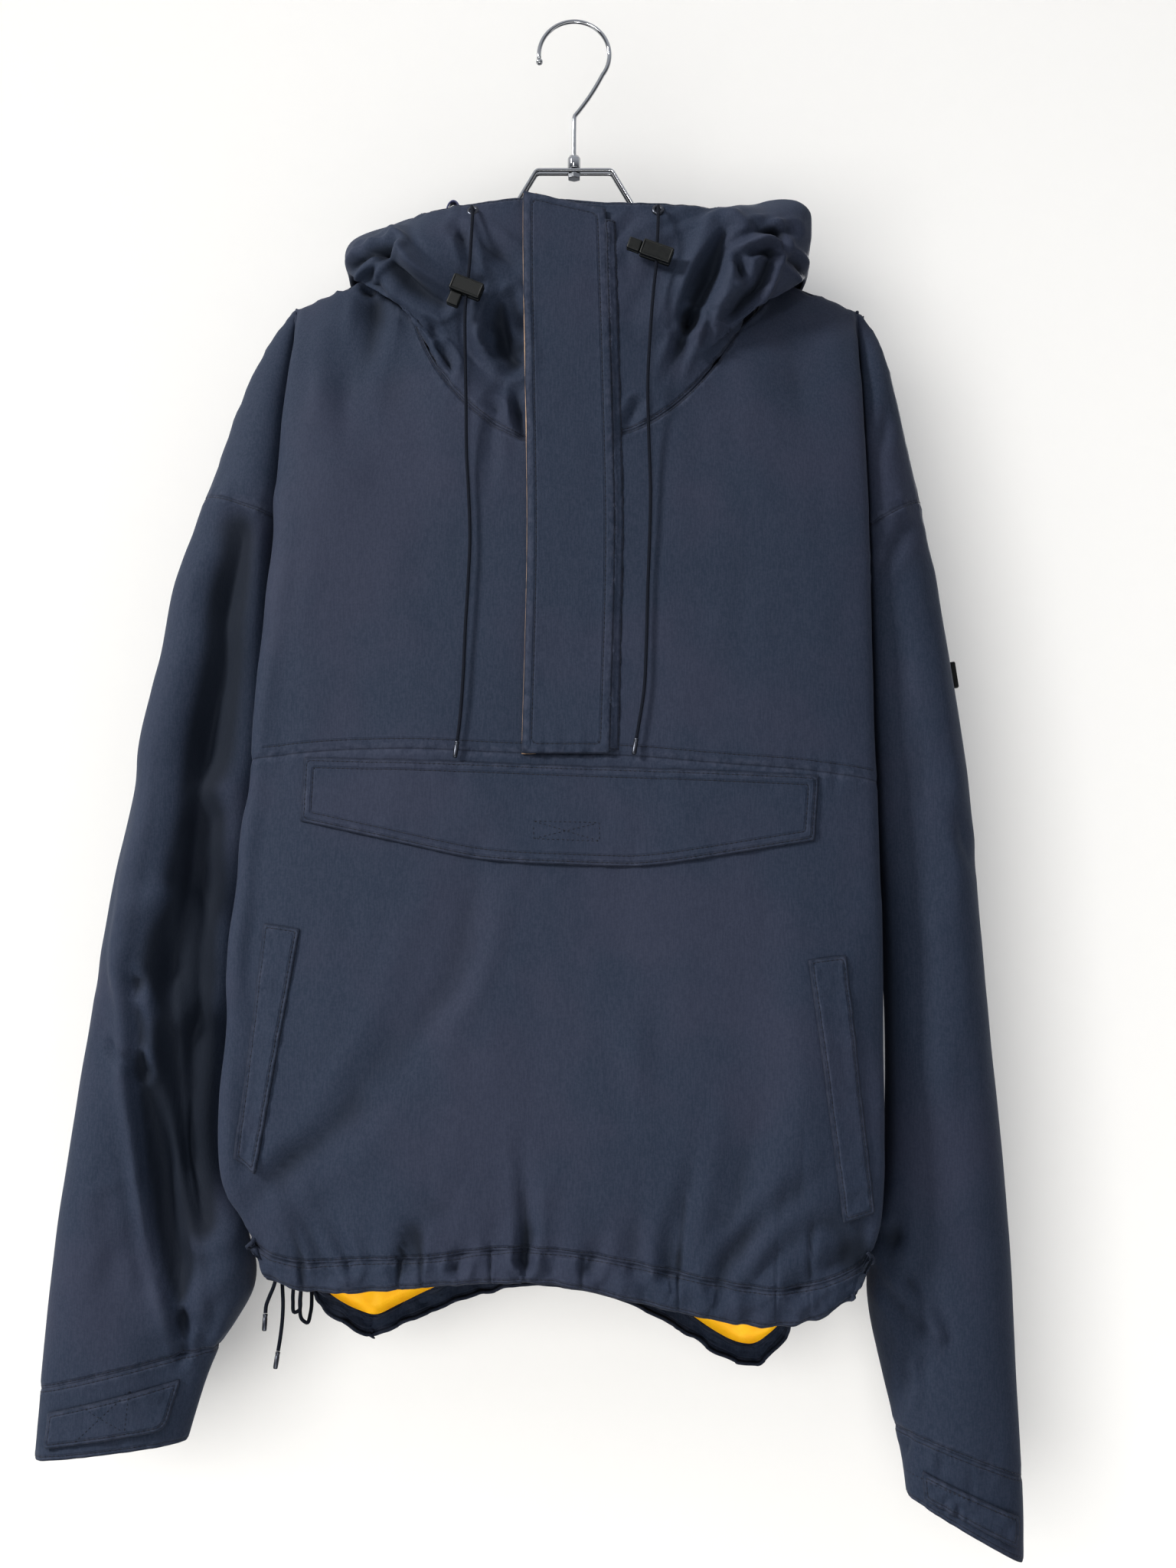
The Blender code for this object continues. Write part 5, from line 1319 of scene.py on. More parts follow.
def seen_side(
    node: str, thickness: float, facing: Facing, fold: float = 0.0
) -> tuple[np.ndarray, np.ndarray]:
    """The outer triangles of a closed wall of cloth.

    Args:
        node: The frame's node.
        thickness: The wall's thickness. A rim triangle has an edge of that length.
        facing: The way in which the seen side faces.
        fold: Triangles nearer than this to the plane of the hanger are rim too.

    Returns:
        The points and the triangles of that side.
    """
    points, faces = welded(*arrays_of(frame["nodes"][node].data))
    way = np.array(facing.value, float)
    length = np.linalg.norm(points[faces] - points[np.roll(faces, -1, axis=1)], axis=2)
    rim = (np.abs(length - thickness) < RIM_TOLERANCE).any(axis=1)
    if fold:
        rim |= (np.abs(points[faces][:, :, 1]) < fold).all(axis=1)
        rim |= shoulder_turn(points[faces], way)
    kept = faces[~rim]
    labels = linked_faces(kept)
    found, sizes = np.unique(labels, return_counts=True)
    parts = found[sizes > SMALL_PART]
    reach = {part: (points[kept[labels == part]] @ way).max() for part in parts}
    kept = kept[labels == max(reach, key=reach.get)]
    used, index = np.unique(kept, return_inverse=True)
    return points[used], index.reshape(-1, 3)


def smooth_sheet(name: str, points: np.ndarray, faces: np.ndarray, levels: int) -> Sheet:
    """A sheet's triangles joined to four-sided faces and subdivided.

    Args:
        name: A name for the mesh in between.
        points: The sheet's points.
        faces: Its triangles.
        levels: How often each face is cut in four.

    Returns:
        The smooth sheet.
    """
    mesh = mesh_of(name + "_rough", points, faces)
    shape = bmesh.new()
    shape.from_mesh(mesh)
    bmesh.ops.join_triangles(
        shape, faces=shape.faces, angle_face_threshold=math.pi, angle_shape_threshold=math.pi
    )
    shape.to_mesh(mesh)
    shape.free()
    rough = bpy.data.objects.new(name + "_rough", mesh)
    bpy.context.scene.collection.objects.link(rough)
    cut = rough.modifiers.new("cut", "SUBSURF")
    cut.levels = cut.render_levels = levels
    cut.boundary_smooth = "PRESERVE_CORNERS"
    graph = bpy.context.evaluated_depsgraph_get()
    evaluated = rough.evaluated_get(graph)
    finer = evaluated.to_mesh()
    smooth_points, smooth_faces = arrays_of(finer)
    evaluated.to_mesh_clear()
    bpy.data.objects.remove(rough)
    bpy.data.meshes.remove(mesh)
    return Sheet(smooth_points, smooth_faces)


# A row of stitches at one distance in from a piece's border, in millimetres, kept to a box.
BORDER = "inset x0 x1 drop0 drop1"
ANY = (-1.0, 1.0, 0.0, 2.0)
BORDER_ROWS: dict[str, Rows] = {
    "placket": ((5.7, *ANY),),
    "placket_strip": ((1.1, *ANY),),
    "chest_pocket_flap": ((1.6, *ANY), (6.4, *ANY)),
    "hand_pocket_welt_left": ((1.8, *ANY),),
    "hand_pocket_welt_right": ((1.8, *ANY),),
    "cuff_tab_left": ((2.0, *ANY),),
    "cuff_tab_right": ((2.0, *ANY),),
    "front_yoke_left": ((6.5, -0.212, -0.034, 0.530, 0.580), (1.3, -0.130, -0.030, 0.205, 0.350)),
    "front_yoke_right": ((6.5, 0.028, 0.206, 0.530, 0.590), (1.3, 0.026, 0.150, 0.200, 0.340)),
    "front_lower": ((1.6, -0.220, 0.210, 0.860, 0.930),),
    "back": ((1.6, -0.220, 0.210, 0.860, 0.990),),
    "hem_casing_front": ((1.8, *ANY),),
    "hem_casing_back": ((1.8, *ANY),),
    "sleeve_left": ((1.4, *ANY),),
    "sleeve_right": ((1.4, *ANY),),
    "cuff_left": ((2.2, *ANY),),
    "cuff_right": ((2.2, *ANY),),
    "hood_left": ((1.4, *ANY),),
    "hood_right": ((1.4, *ANY),),
}


def store_rows(
    mesh: bpy.types.Mesh, points: np.ndarray, seam: np.ndarray, rows: Rows
) -> None:
    """Stores what the cloth's material reads of seams: the border's distance and two rows of stitches.

    Args:
        mesh: The piece's mesh.
        points: Its points.
        seam: Each point's distance to the border.
        rows: The piece's rows of stitches, at most two.
    """
    values = {"seam": seam}
    for letter in "ab":
        values["row_" + letter] = values["sewn_" + letter] = np.zeros(len(points))
    for letter, row in zip("ab", Table(BORDER, rows)):
        values["row_" + letter] = np.full(len(points), row["inset"] * MILLIMETRE)
        values["sewn_" + letter] = in_box(points, row)
    for name, value in values.items():
        store_value(mesh, name, value)


def in_box(points: np.ndarray, row: dict[str, float]) -> np.ndarray:
    """Which points lie in the box of a row of stitches."""
    x, drop = points[:, 0], -points[:, 2]
    return (x > row["x0"]) & (x < row["x1"]) & (drop > row["drop0"]) & (drop < row["drop1"])


def store_value(mesh: bpy.types.Mesh, name: str, values: np.ndarray) -> None:
    """Stores one number for each point of a mesh, 0 for the points that have none."""
    padded = np.pad(values.astype(np.float32), (0, len(mesh.vertices) - len(values)))
    mesh.attributes.new(name, "FLOAT", "POINT").data.foreach_set("value", padded)


@dataclass
class ClothPiece:
    """One sewn piece of cloth, dressed over its node of the frame."""

    node: str
    thickness: float
    facing: Facing
    fold: float = 0.0
    levels: int = 3
    finish: Finish = Finish.SHELL
    inside: Finish = Finish.SHELL
    slot: str = "shell"
    relief: Relief = Relief()
    turn: Pair = (0.0010, 0.0016)
    kept: float = 1.0

    def shape(self) -> Sheet:
        """Works out the piece's seen side in its smooth form, with its relief.

        Returns:
            The sheet.
        """
        points, faces = seen_side(self.node, self.thickness, self.facing, self.fold)
        sheet = smooth_sheet(self.node, points, faces, self.levels)
        sheet.move(self.relief.lift(sheet))
        return sheet

    def build(self) -> Sheet:
        """Adds the piece to the scene in place of its node.

        Returns:
            The sheet that it was made from.
        """
        sheet = self.shape()
        name = self.node + "_cloth"
        points, faces, seam = sheet.turned_in(*self.turn)
        mesh = mesh_of(name, points, faces)
        store_rows(mesh, points, seam, BORDER_ROWS.get(self.node, ()))
        store_value(mesh, "fold", sheet.fold)
        piece = add_piece(name, mesh, [self.finish, self.inside], self.slot, self.node)
        wall = thickened(piece, self.thickness)
        wall.material_offset = 1
        wall.use_quality_normals = True
        if self.kept < 1.0:
            fewer = piece.modifiers.new("fewer", "DECIMATE")
            fewer.ratio = self.kept
        self.declare(piece, sheet)
        return sheet

    def declare(self, piece: Piece, sheet: Sheet) -> None:
        """Args:
            piece: The piece's object.
            sheet: The sheet that it was made from.
        """
        area = np.linalg.norm(doubled_areas(sheet.points[sheet.faces]), axis=1).sum() / 2
        LOG.info("%s has an area of %.4f", self.node, area)
        width, length, flat_area = CUTS[self.node]
        held = "gathered" if "casing" in self.node else "hung"
        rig.sheet(piece, flat=(width, length), area=flat_area, held=held, rests_on=["hanger_frame"])


# The flat cut of what shows of each piece: its width, its length and its area.
CUTS: dict[str, Triple] = {
    "front_yoke_left": (0.265, 0.390, 0.0800),
    "front_yoke_right": (0.260, 0.395, 0.0820),
    "front_lower": (0.480, 0.400, 0.1780),
    "back": (0.560, 0.800, 0.3550),
    "back_lining": (0.440, 0.150, 0.0350),
    "hem_casing_front": (0.450, 0.045, 0.0120),
    "hem_casing_back": (0.560, 0.046, 0.0112),
    "sleeve_left": (0.320, 0.660, 0.1560),
    "sleeve_right": (0.300, 0.690, 0.1430),
    "cuff_left": (0.270, 0.062, 0.0135),
    "cuff_right": (0.230, 0.070, 0.0102),
    "cuff_tab_left": (0.088, 0.038, 0.0023),
    "cuff_tab_right": (0.066, 0.040, 0.0013),
    "hood_left": (0.270, 0.440, 0.0980),
    "hood_right": (0.275, 0.450, 0.1040),
    "placket": (0.062, 0.402, 0.0233),
    "placket_facing": (0.014, 0.402, 0.0042),
    "chest_pocket_flap": (0.352, 0.076, 0.0202),
    "hand_pocket_welt_left": (0.026, 0.168, 0.0032),
    "hand_pocket_welt_right": (0.027, 0.176, 0.0039),
}


# ---- the sub-assemblies --------------------------------


NO_TURN = (0.0, 0.0)


def seen_sides(pieces: list[ClothPiece]) -> dict[str, Sheet]:
    """Builds pieces of cloth and gives back their sheets by node."""
    return {piece.node: piece.build() for piece in pieces}


@dataclass
class Body:
    """The front, the back and the gathered hem, whose seam allowances are deep."""

    cloth: float = 0.0015
    casing: float = 0.0024
    lining: float = 0.0010
    fold: float = 0.0005

    front_turn: Pair = (0.0022, 0.0040)
    back_turn: Pair = (0.0036, 0.0040)
    back_casing_turn: Pair = (0.0030, 0.0036)
    front_hem: Relief = Relief(gather=0.0030)
    back_hem: Relief = Relief(gather=0.0030, pinch=0.2)
    behind: Relief = Relief(base=0.0042, follows_back=True)
    back_kept: float = 0.60

    def build(self) -> dict[str, Sheet]:
        """Builds the body's pieces.

        Returns:
            Their sheets by node.
        """
        yokes = [
            ClothPiece(f"front_yoke_{side}", self.cloth, Facing.FRONT, self.fold)
            for side in SIDES
        ]
        front = {"relief": self.front_hem, "turn": self.front_turn}
        lower = ClothPiece("front_lower", self.cloth, Facing.FRONT, self.fold, **front)
        back = ClothPiece(
            "back",
            self.cloth,
            Facing.BACK,
            self.fold,
            relief=self.back_hem,
            turn=self.back_turn,
            kept=self.back_kept,
        )
        front_casing = ClothPiece("hem_casing_front", self.casing, Facing.FRONT, **front)
        back_casing = ClothPiece(
            "hem_casing_back",
            self.casing,
            Facing.BACK,
            relief=self.back_hem,
            turn=self.back_casing_turn,
        )
        lining = ClothPiece(
            "back_lining",
            self.lining,
            Facing.FRONT,
            finish=Finish.LINING,
            inside=Finish.LINING,
            slot="lining",
            relief=self.behind,
            turn=NO_TURN,
        )
        return seen_sides([*yokes, lower, back, front_casing, back_casing, lining])


@dataclass
class Sleeve:
    """A sleeve with its cuff and the cuff's closing tab."""

    side: str
    cloth: float = 0.0015
    cuff: float = 0.0021
    tab: float = 0.0018

    def build(self) -> dict[str, Sheet]:
        """Builds the sleeve's pieces.

        Returns:
            Their sheets by node.
        """
        out = Facing.LEFT if self.side == "left" else Facing.RIGHT
        return seen_sides(
            [
                ClothPiece(f"sleeve_{self.side}", self.cloth, out),
                ClothPiece(f"cuff_{self.side}", self.cuff, out),
                ClothPiece(f"cuff_tab_{self.side}", self.tab, Facing.FRONT),
            ]
        )


@dataclass
class Hood:
    """One half of the hood, cut finer than the rest for its folds."""

    side: str
    cloth: float = 0.0015
    levels: int = 4
    kept: float = 0.60

    def build(self) -> dict[str, Sheet]:
        """Builds the half hood."""
        finer = {"levels": self.levels, "kept": self.kept}
        return seen_sides([ClothPiece(f"hood_{self.side}", self.cloth, Facing.FRONT, **finer)])


@dataclass
class FrontTrims:
    """The placket, its facing, the chest flap and the pocket welts."""

    placket: float = 0.0022
    facing: float = 0.0010
    flap: float = 0.0018
    calm: Relief = Relief(share=0.5)

    def build(self) -> dict[str, Sheet]:
        """Builds the trims.

        Returns:
            Their sheets by node.
        """
        facing = ClothPiece(
            "placket_facing",
            self.facing,
            Facing.FRONT,
            finish=Finish.FACING,
            inside=Finish.FACING,
            slot="facing",
            relief=self.calm,
            turn=NO_TURN,
        )
        flat = ("chest_pocket_flap", "hand_pocket_welt_left", "hand_pocket_welt_right")
        pieces = [ClothPiece("placket", self.placket, Facing.FRONT, relief=self.calm), facing]
        return seen_sides(pieces + [ClothPiece(node, self.flap, Facing.FRONT) for node in flat])


# ---- the hanger ----------------------------------------


def curve_piece(
    name: str, route: list[Vector], radius: float, finish: Finish, node: str, **options: object
) -> Piece:
    """A round bar or cord along a smooth line of points.

    Args:
        name: The piece's name.
        route: The points of its centre line.
        radius: Its radius.
        finish: Its finish, CORD or a metal.
        node: The frame's node that it stands in for.
        **options: "scales" of the radius at each point, and "cyclic" for a closed line.

    Returns:
        The new object.
    """
    curve = bpy.data.curves.new(name, "CURVE")
    curve.dimensions = "3D"
    curve.bevel_depth = radius
    curve.bevel_resolution = 5
    closed = bool(options.get("cyclic", False))
    curve.use_fill_caps = not closed
    spline = curve.splines.new("POLY")
    spline.points.add(len(route) - 1)
    scales = options.get("scales")
    for i, point in enumerate(route):
        spline.points[i].co = (*point, 1)
        spline.points[i].radius = 1 if scales is None else scales[i]
    spline.use_cyclic_u = closed
    spline.use_smooth = True
    slot = "cord" if finish is Finish.CORD else "metal"
    return add_piece(name, curve, [finish], slot, node)


def length_along(line: np.ndarray) -> np.ndarray:
    """How far along a line each of its points is."""
    return np.concatenate([[0], np.cumsum(np.linalg.norm(np.diff(line, axis=0), axis=1))])


def smooth_route(route: list[Vector], step: float) -> list[Vector]:
    """Draws a smooth curve through a route's points.

    Args:
        route: The points.
        step: About how far apart the curve's own points are.

    Returns:
        The curve's points.
    """
    nodes = np.array([tuple(point) for point in route])
    length = length_along(nodes)
    at = np.linspace(0, length[-1], max(3, round(length[-1] / step) + 1))
    slope = np.gradient(nodes, length, axis=0)
    row = np.clip(np.searchsorted(length, at) - 1, 0, len(length) - 2)
    span = (length[row + 1] - length[row])[:, None]
    t = ((at - length[row]) / span[:, 0])[:, None]
    start = (1 + 2 * t) * (1 - t) ** 2 * nodes[row] + t * (1 - t) ** 2 * span * slope[row]
    end = t * t * (3 - 2 * t) * nodes[row + 1] + t * t * (t - 1) * span * slope[row + 1]
    return [Vector(point) for point in start + end]


def rounded(corners: list[Vector], radius: float, steps: int) -> list[Vector]:
    """Rounds the corners of a closed line.

    Args:
        corners: The corners.
        radius: About how round each is.
        steps: How many steps each takes.

    Returns:
        The points of the rounded line.
    """
    line = []
    for i, corner in enumerate(corners):
        before = (corners[i - 1] - corner).normalized()
        after = (corners[(i + 1) % len(corners)] - corner).normalized()
        half = before.angle(after) / 2
        reach = min(radius / math.tan(half), 0.006)
        start, end = corner + before * reach, corner + after * reach
        for step in range(steps + 1):
            t = step / steps
            line.append(start.lerp(corner, t).lerp(corner.lerp(end, t), t))
    return line


def turned_piece(
    name: str,
    profile: list[Pair],
    finish: Finish,
    node: str,
    steps: int = 56,
    place: Matrix = Matrix(),
) -> Piece:
    """Turns a piece of metal about Z.

    Args:
        name: The piece's name.
        profile: Its closed profile of (radius, z).
        finish: Its finish.
        node: The frame's node that it stands in for.
        steps: How many flats its round has.
        place: Its placement.

    Returns:
        The new object.
    """
    points, faces = [], []
    count = len(profile)
    for step in range(steps):
        turn = 2 * math.pi * step / steps
        for radius, high in profile:
            points.append(place @ Vector((radius * math.cos(turn), radius * math.sin(turn), high)))
        after = (step + 1) % steps
        for i in range(count):
            j = (i + 1) % count
            faces.append((step * count + i, after * count + i, after * count + j, step * count + j))
    mesh = mesh_of(name, np.array([tuple(p) for p in points]), np.array(faces))
    return eased(add_piece(name, mesh, [finish], "metal", node), TURNED_EDGE)


@dataclass
class Hanger:
    """The chrome hanger: a hook, its turned ferrule, a nut and a double wire frame."""

    hook_wire: float = 0.00165
    frame_wire: float = 0.0015
    spread: float = 0.0034
    hook_radius: float = 0.0262
    ball: float = 0.0026
    bow: float = 0.0012
    knee: Triple = (0.0004, 0.0, -0.0725)
    shank: tuple[Triple, ...] = ((0.0001, 0.0, -0.0755), (0.0, 0.0, -0.0800), (0.0, 0.0, -0.1168))
    ferrule: Pair = (-0.1033, -0.1134)
    nut: Triple = (0.0049, 0.0053, 0.0037)
    nut_z: float = -0.11935
    bar_drop: float = 0.1155
    bar_half: float = 0.0277
    foot: Pair = (0.059, 0.1695)
    end: Pair = (0.1935, 0.2250)
    corner: float = 0.0038

    def build(self) -> None:
        """Builds the four pieces of the hanger."""
        self.build_frame()
        self.build_hook()
        self.build_ferrule()
        self.build_nut()

    def build_frame(self) -> None:
        """The frame: a flat bar, two legs and two shoulders, bent from one wire."""
        end_x, end_drop = self.end
        foot_x, foot_drop = self.foot
        run = [(-end_x, end_drop), (-foot_x, foot_drop), (-self.bar_half, self.bar_drop)]
        run += [(-x, drop) for x, drop in reversed(run)]
        front = [Vector((x, -self.spread, -drop)) for x, drop in run]
        back = [Vector((x, self.spread, -drop)) for x, drop in reversed(run)]
        line = rounded(front + back, self.corner, 8)
        curve_piece("hanger_wires", line, self.frame_wire, Finish.CHROME, "hanger_frame", cyclic=True)

    def build_hook(self) -> None:
        """The hook: from its ball end round the arc to the knee, then down the shank."""
        centre = Vector((0, 0, self.hook_wire - self.hook_radius))
        arc = []
        for degrees in range(186, -37, -3):
            turn = math.radians(degrees)
            arc.append(centre + self.hook_radius * Vector((math.cos(turn), 0, math.sin(turn))))
        knee = Vector(self.knee)
        leg = []
        for step in range(1, 12):
            share = step / 12
            bow = Vector((self.bow * math.sin(math.pi * share), 0, 0))
            leg.append(arc[-1].lerp(knee, share) + bow)
        shank = [knee, *map(Vector, self.shank)]
        body = smooth_route(arc + leg + shank, 0.0012)
        outward = (body[0] - body[1]).normalized()
        ball, scales = [], []
        for degrees in range(22, 168, 8):
            turn = math.radians(degrees)
            ball.append(body[0] + outward * self.ball * (1 + math.cos(turn)))
            scales.append(self.ball * math.sin(turn) / self.hook_wire)
        scales += [1.0] * len(body)
        line, name, node = ball + body, "hanger_hook_wire", "hanger_hook"
        curve_piece(name, line, self.hook_wire, Finish.CHROME, node, scales=scales)

    def build_ferrule(self) -> None:
        """The turned ferrule that the hook swivels in."""
        bore = self.hook_wire + 0.0002
        top, foot = self.ferrule
        profile = [
            (bore, top), (0.0030, top), (0.0036, top - 0.0004), (0.0040, top - 0.0012),
            (0.0047, top - 0.0022), (0.0047, foot + 0.0008), (0.0044, foot), (bore, foot),
        ]
        turned_piece("hanger_ferrule_turned", profile, Finish.CHROME, "hanger_ferrule")

    def build_nut(self) -> None:
        """The six-sided nut under the bar."""
        foot, top, depth = self.nut
        mesh = bpy.data.meshes.new("hanger_nut_hexagon")
        shape = bmesh.new()
        bmesh.ops.create_cone(shape, cap_ends=True, segments=6, radius1=foot, radius2=top, depth=depth)
        bmesh.ops.bevel(shape, geom=shape.edges[:], offset=0.0004, segments=2, affect="EDGES", profile=0.6)
        bmesh.ops.translate(shape, vec=(0, 0, self.nut_z), verts=shape.verts)
        shape.to_mesh(mesh)
        shape.free()
        add_piece("hanger_nut_hexagon", mesh, [Finish.CHROME], "metal", "hanger_nut")


# ---- the surfaces --------------------------------------


class Surface:
    """Sheets of cloth as one surface that can be met by a ray from the front or the back."""

    def __init__(self, parts: list[tuple[np.ndarray, np.ndarray]]) -> None:
        """Joins parts into one tree.

        Args:
            parts: The points and the faces of each.
        """
        points, faces, count = [], [], 0
        for part_points, part_faces in parts:
            points.append(part_points)
            faces += (part_faces + count).tolist()
            count += len(part_points)
        self.tree = BVHTree.FromPolygons(np.concatenate(points).tolist(), faces)

    def meet(self, x: float, drop: float, facing: Facing) -> tuple[Vector, Vector] | None:
        """The place and the normal where a level line meets the surface first.

        Args:
            x: The line's x.
            drop: Its distance below the hook.
            facing: The side that it comes from.

        Returns:
            The place and the normal towards that side, or None.
        """
        way = Vector(facing.value)
        start = Vector((x, 0, -drop)) + way * 0.4
        place, normal, _, _ = self.tree.ray_cast(start, -way)
        if place is None:
            return None
        return place, normal if normal.dot(way) > 0 else -normal


def surface_of(sheets: Iterable[Sheet]) -> Surface:
    """Several sheets as one surface."""
    return Surface([(sheet.points, sheet.faces) for sheet in sheets])


def resampled(line: np.ndarray, step: float) -> np.ndarray:
    """A line's rows at equal steps along it. Its first three columns are places."""
    length = length_along(line[:, :3])
    at = np.arange(0, length[-1] + 1e-9, step)
    return np.column_stack([np.interp(at, length, line[:, i]) for i in range(line.shape[1])])


def contours(sheet: Sheet, inset: float) -> list[np.ndarray]:
    """The lines on a sheet that lie at one distance from its border.

    Args:
        sheet: The sheet.
        inset: The distance.

    Returns:
        One array for each line, whose rows hold a place and a normal.
    """
    above = sheet.seam > inset
    mixed = sheet.faces[above[sheet.faces].any(axis=1) & ~above[sheet.faces].all(axis=1)]
    links: dict[tuple[int, int], list[tuple[int, int]]] = {}
    for face in mixed.tolist():
        sides = [(face[i], face[i - 1]) for i in range(4)]
        ends = [tuple(sorted(side)) for side in sides if above[side[0]] != above[side[1]]]
        for first, second in zip(ends[::2], ends[1::2]):
            links.setdefault(first, []).append(second)
            links.setdefault(second, []).append(first)
    lines = []
    while links:
        key = next((k for k, ways in links.items() if len(ways) == 1), next(iter(links)))
        keys = [key]
        while links.get(key):
            after = links[key].pop()
            links[after].remove(key)
            if not links[key]:
                del links[key]
            key = after
            keys.append(key)
        links.pop(key, None)
        a, b = np.array(keys).T
        share = ((inset - sheet.seam[a]) / (sheet.seam[b] - sheet.seam[a]))[:, None]
        rows = np.column_stack([sheet.points, sheet.normals])
        lines.append(rows[a] * (1 - share) + rows[b] * share)
    return [line for line in lines if len(line) > 3]


def smoothed_rows(points: np.ndarray, span: int) -> np.ndarray:
    """Evens out rows of points in depth.

    Args:
        points: The rows, m by n by 3.
        span: How many rows are taken together, their middle depth first and then their mean.

    Returns:
        The rows.
    """
    depth = points[..., 1]
    for settle in (np.median, np.mean):
        padded = np.pad(depth, ((span // 2, span // 2), (0, 0)), mode="edge")
        depth = settle(np.lib.stride_tricks.sliding_window_view(padded, span, axis=0), axis=-1)
    return np.stack([points[..., 0], depth, points[..., 2]], axis=-1)


@dataclass
class PlacketStrip:
    """The narrow sewn strip beside the placket, puckered at a slant."""

    top: float = 0.1765
    foot: float = 0.5560
    width: float = 0.0078
    proud: float = 0.0010
    lean: float = 0.0030
    step: float = 0.0011
    columns: int = 9
    evened: int = 9
    pucker: float = 0.00045
    pucker_size: float = 0.0055
    sunk: float = 0.0003
    tuck: float = 0.0010
    thick: float = 0.0006
    # How wide the painted seam shadow is; the strip is kept free of it.
    dark_edge: float = 0.0007
    edge: Pairs = (
        (0.170, 0.0231), (0.300, 0.0268), (0.396, 0.0288), (0.557, 0.0249)
    )

    def build(self, surface: Surface) -> Sheet:
        """Builds the strip.

        Args:
            surface: The cloth that it lies on.

        Returns:
            The strip's sheet.
        """
        drops = np.arange(self.top, self.foot, self.step)
        left = np.interp(drops, *zip(*self.edge)) - self.tuck
        shares = np.linspace(0, 1, self.columns)
        points = np.zeros((len(drops), self.columns, 3))
        for i, (drop, start) in enumerate(zip(drops, left)):
            for j, share in enumerate(shares):
                place, normal = surface.meet(start + share * self.width, drop, Facing.FRONT)
                rise = (self.proud + self.lean * (1 - share)) * min(1.0, 5 * (1 - share)) - self.sunk
                points[i, j] = place + normal * rise
        points = smoothed_rows(points, self.evened)
        flat = points.reshape(-1, 3)
        slant = np.column_stack([flat[:, 0] * 0.4, flat[:, 2] + flat[:, 0] * 0.9, np.zeros(len(flat))])
        flat[:, 1] -= self.pucker * noise(slant, self.pucker_size, 31)
        sheet = Sheet(flat, grid_faces(len(drops), self.columns))
        self.dress(sheet)
        return sheet

    def dress(self, sheet: Sheet) -> None:
        """Args:
            sheet: The strip's sheet.
        """
        mesh = mesh_of("placket_strip", sheet.points, sheet.faces)
        # The seam distance is kept at least the painted seam shadow's width, so the strip has none.
        store_rows(mesh, sheet.points, np.maximum(sheet.seam, self.dark_edge), BORDER_ROWS["placket_strip"])
        strip = add_piece("placket_strip", mesh, [Finish.SHELL], "shell")
        thickened(strip, self.thick)
        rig.sheet(strip, flat=(0.0100, 0.385), area=0.0032, held="hung", rests_on=["front_yoke_right_cloth"])


# ---- stitching -----------------------------------------


# Rows of stitches that cross a piece, each through its own (x, drop) points.
FREE_ROWS: tuple[Pairs, ...] = (
    # the box and cross on the flap
    ((-0.0264, 0.6050), (0.0180, 0.6060), (0.0180, 0.6185), (-0.0264, 0.6170), (-0.0264, 0.6050)),
    ((-0.0264, 0.6050), (0.0180, 0.6185)),
    ((-0.0264, 0.6170), (0.0180, 0.6060)),
    # the left cuff tab's division and cross
    ((-0.2993, 0.9870), (-0.3020, 1.0140)),
    ((-0.2993, 0.9870), (-0.3360, 1.0210)),
    ((-0.3335, 0.9960), (-0.3020, 1.0140)),
    # the right cuff's second row
    ((0.2240, 1.0410), (0.2620, 1.0560), (0.3000, 1.0720)),
)


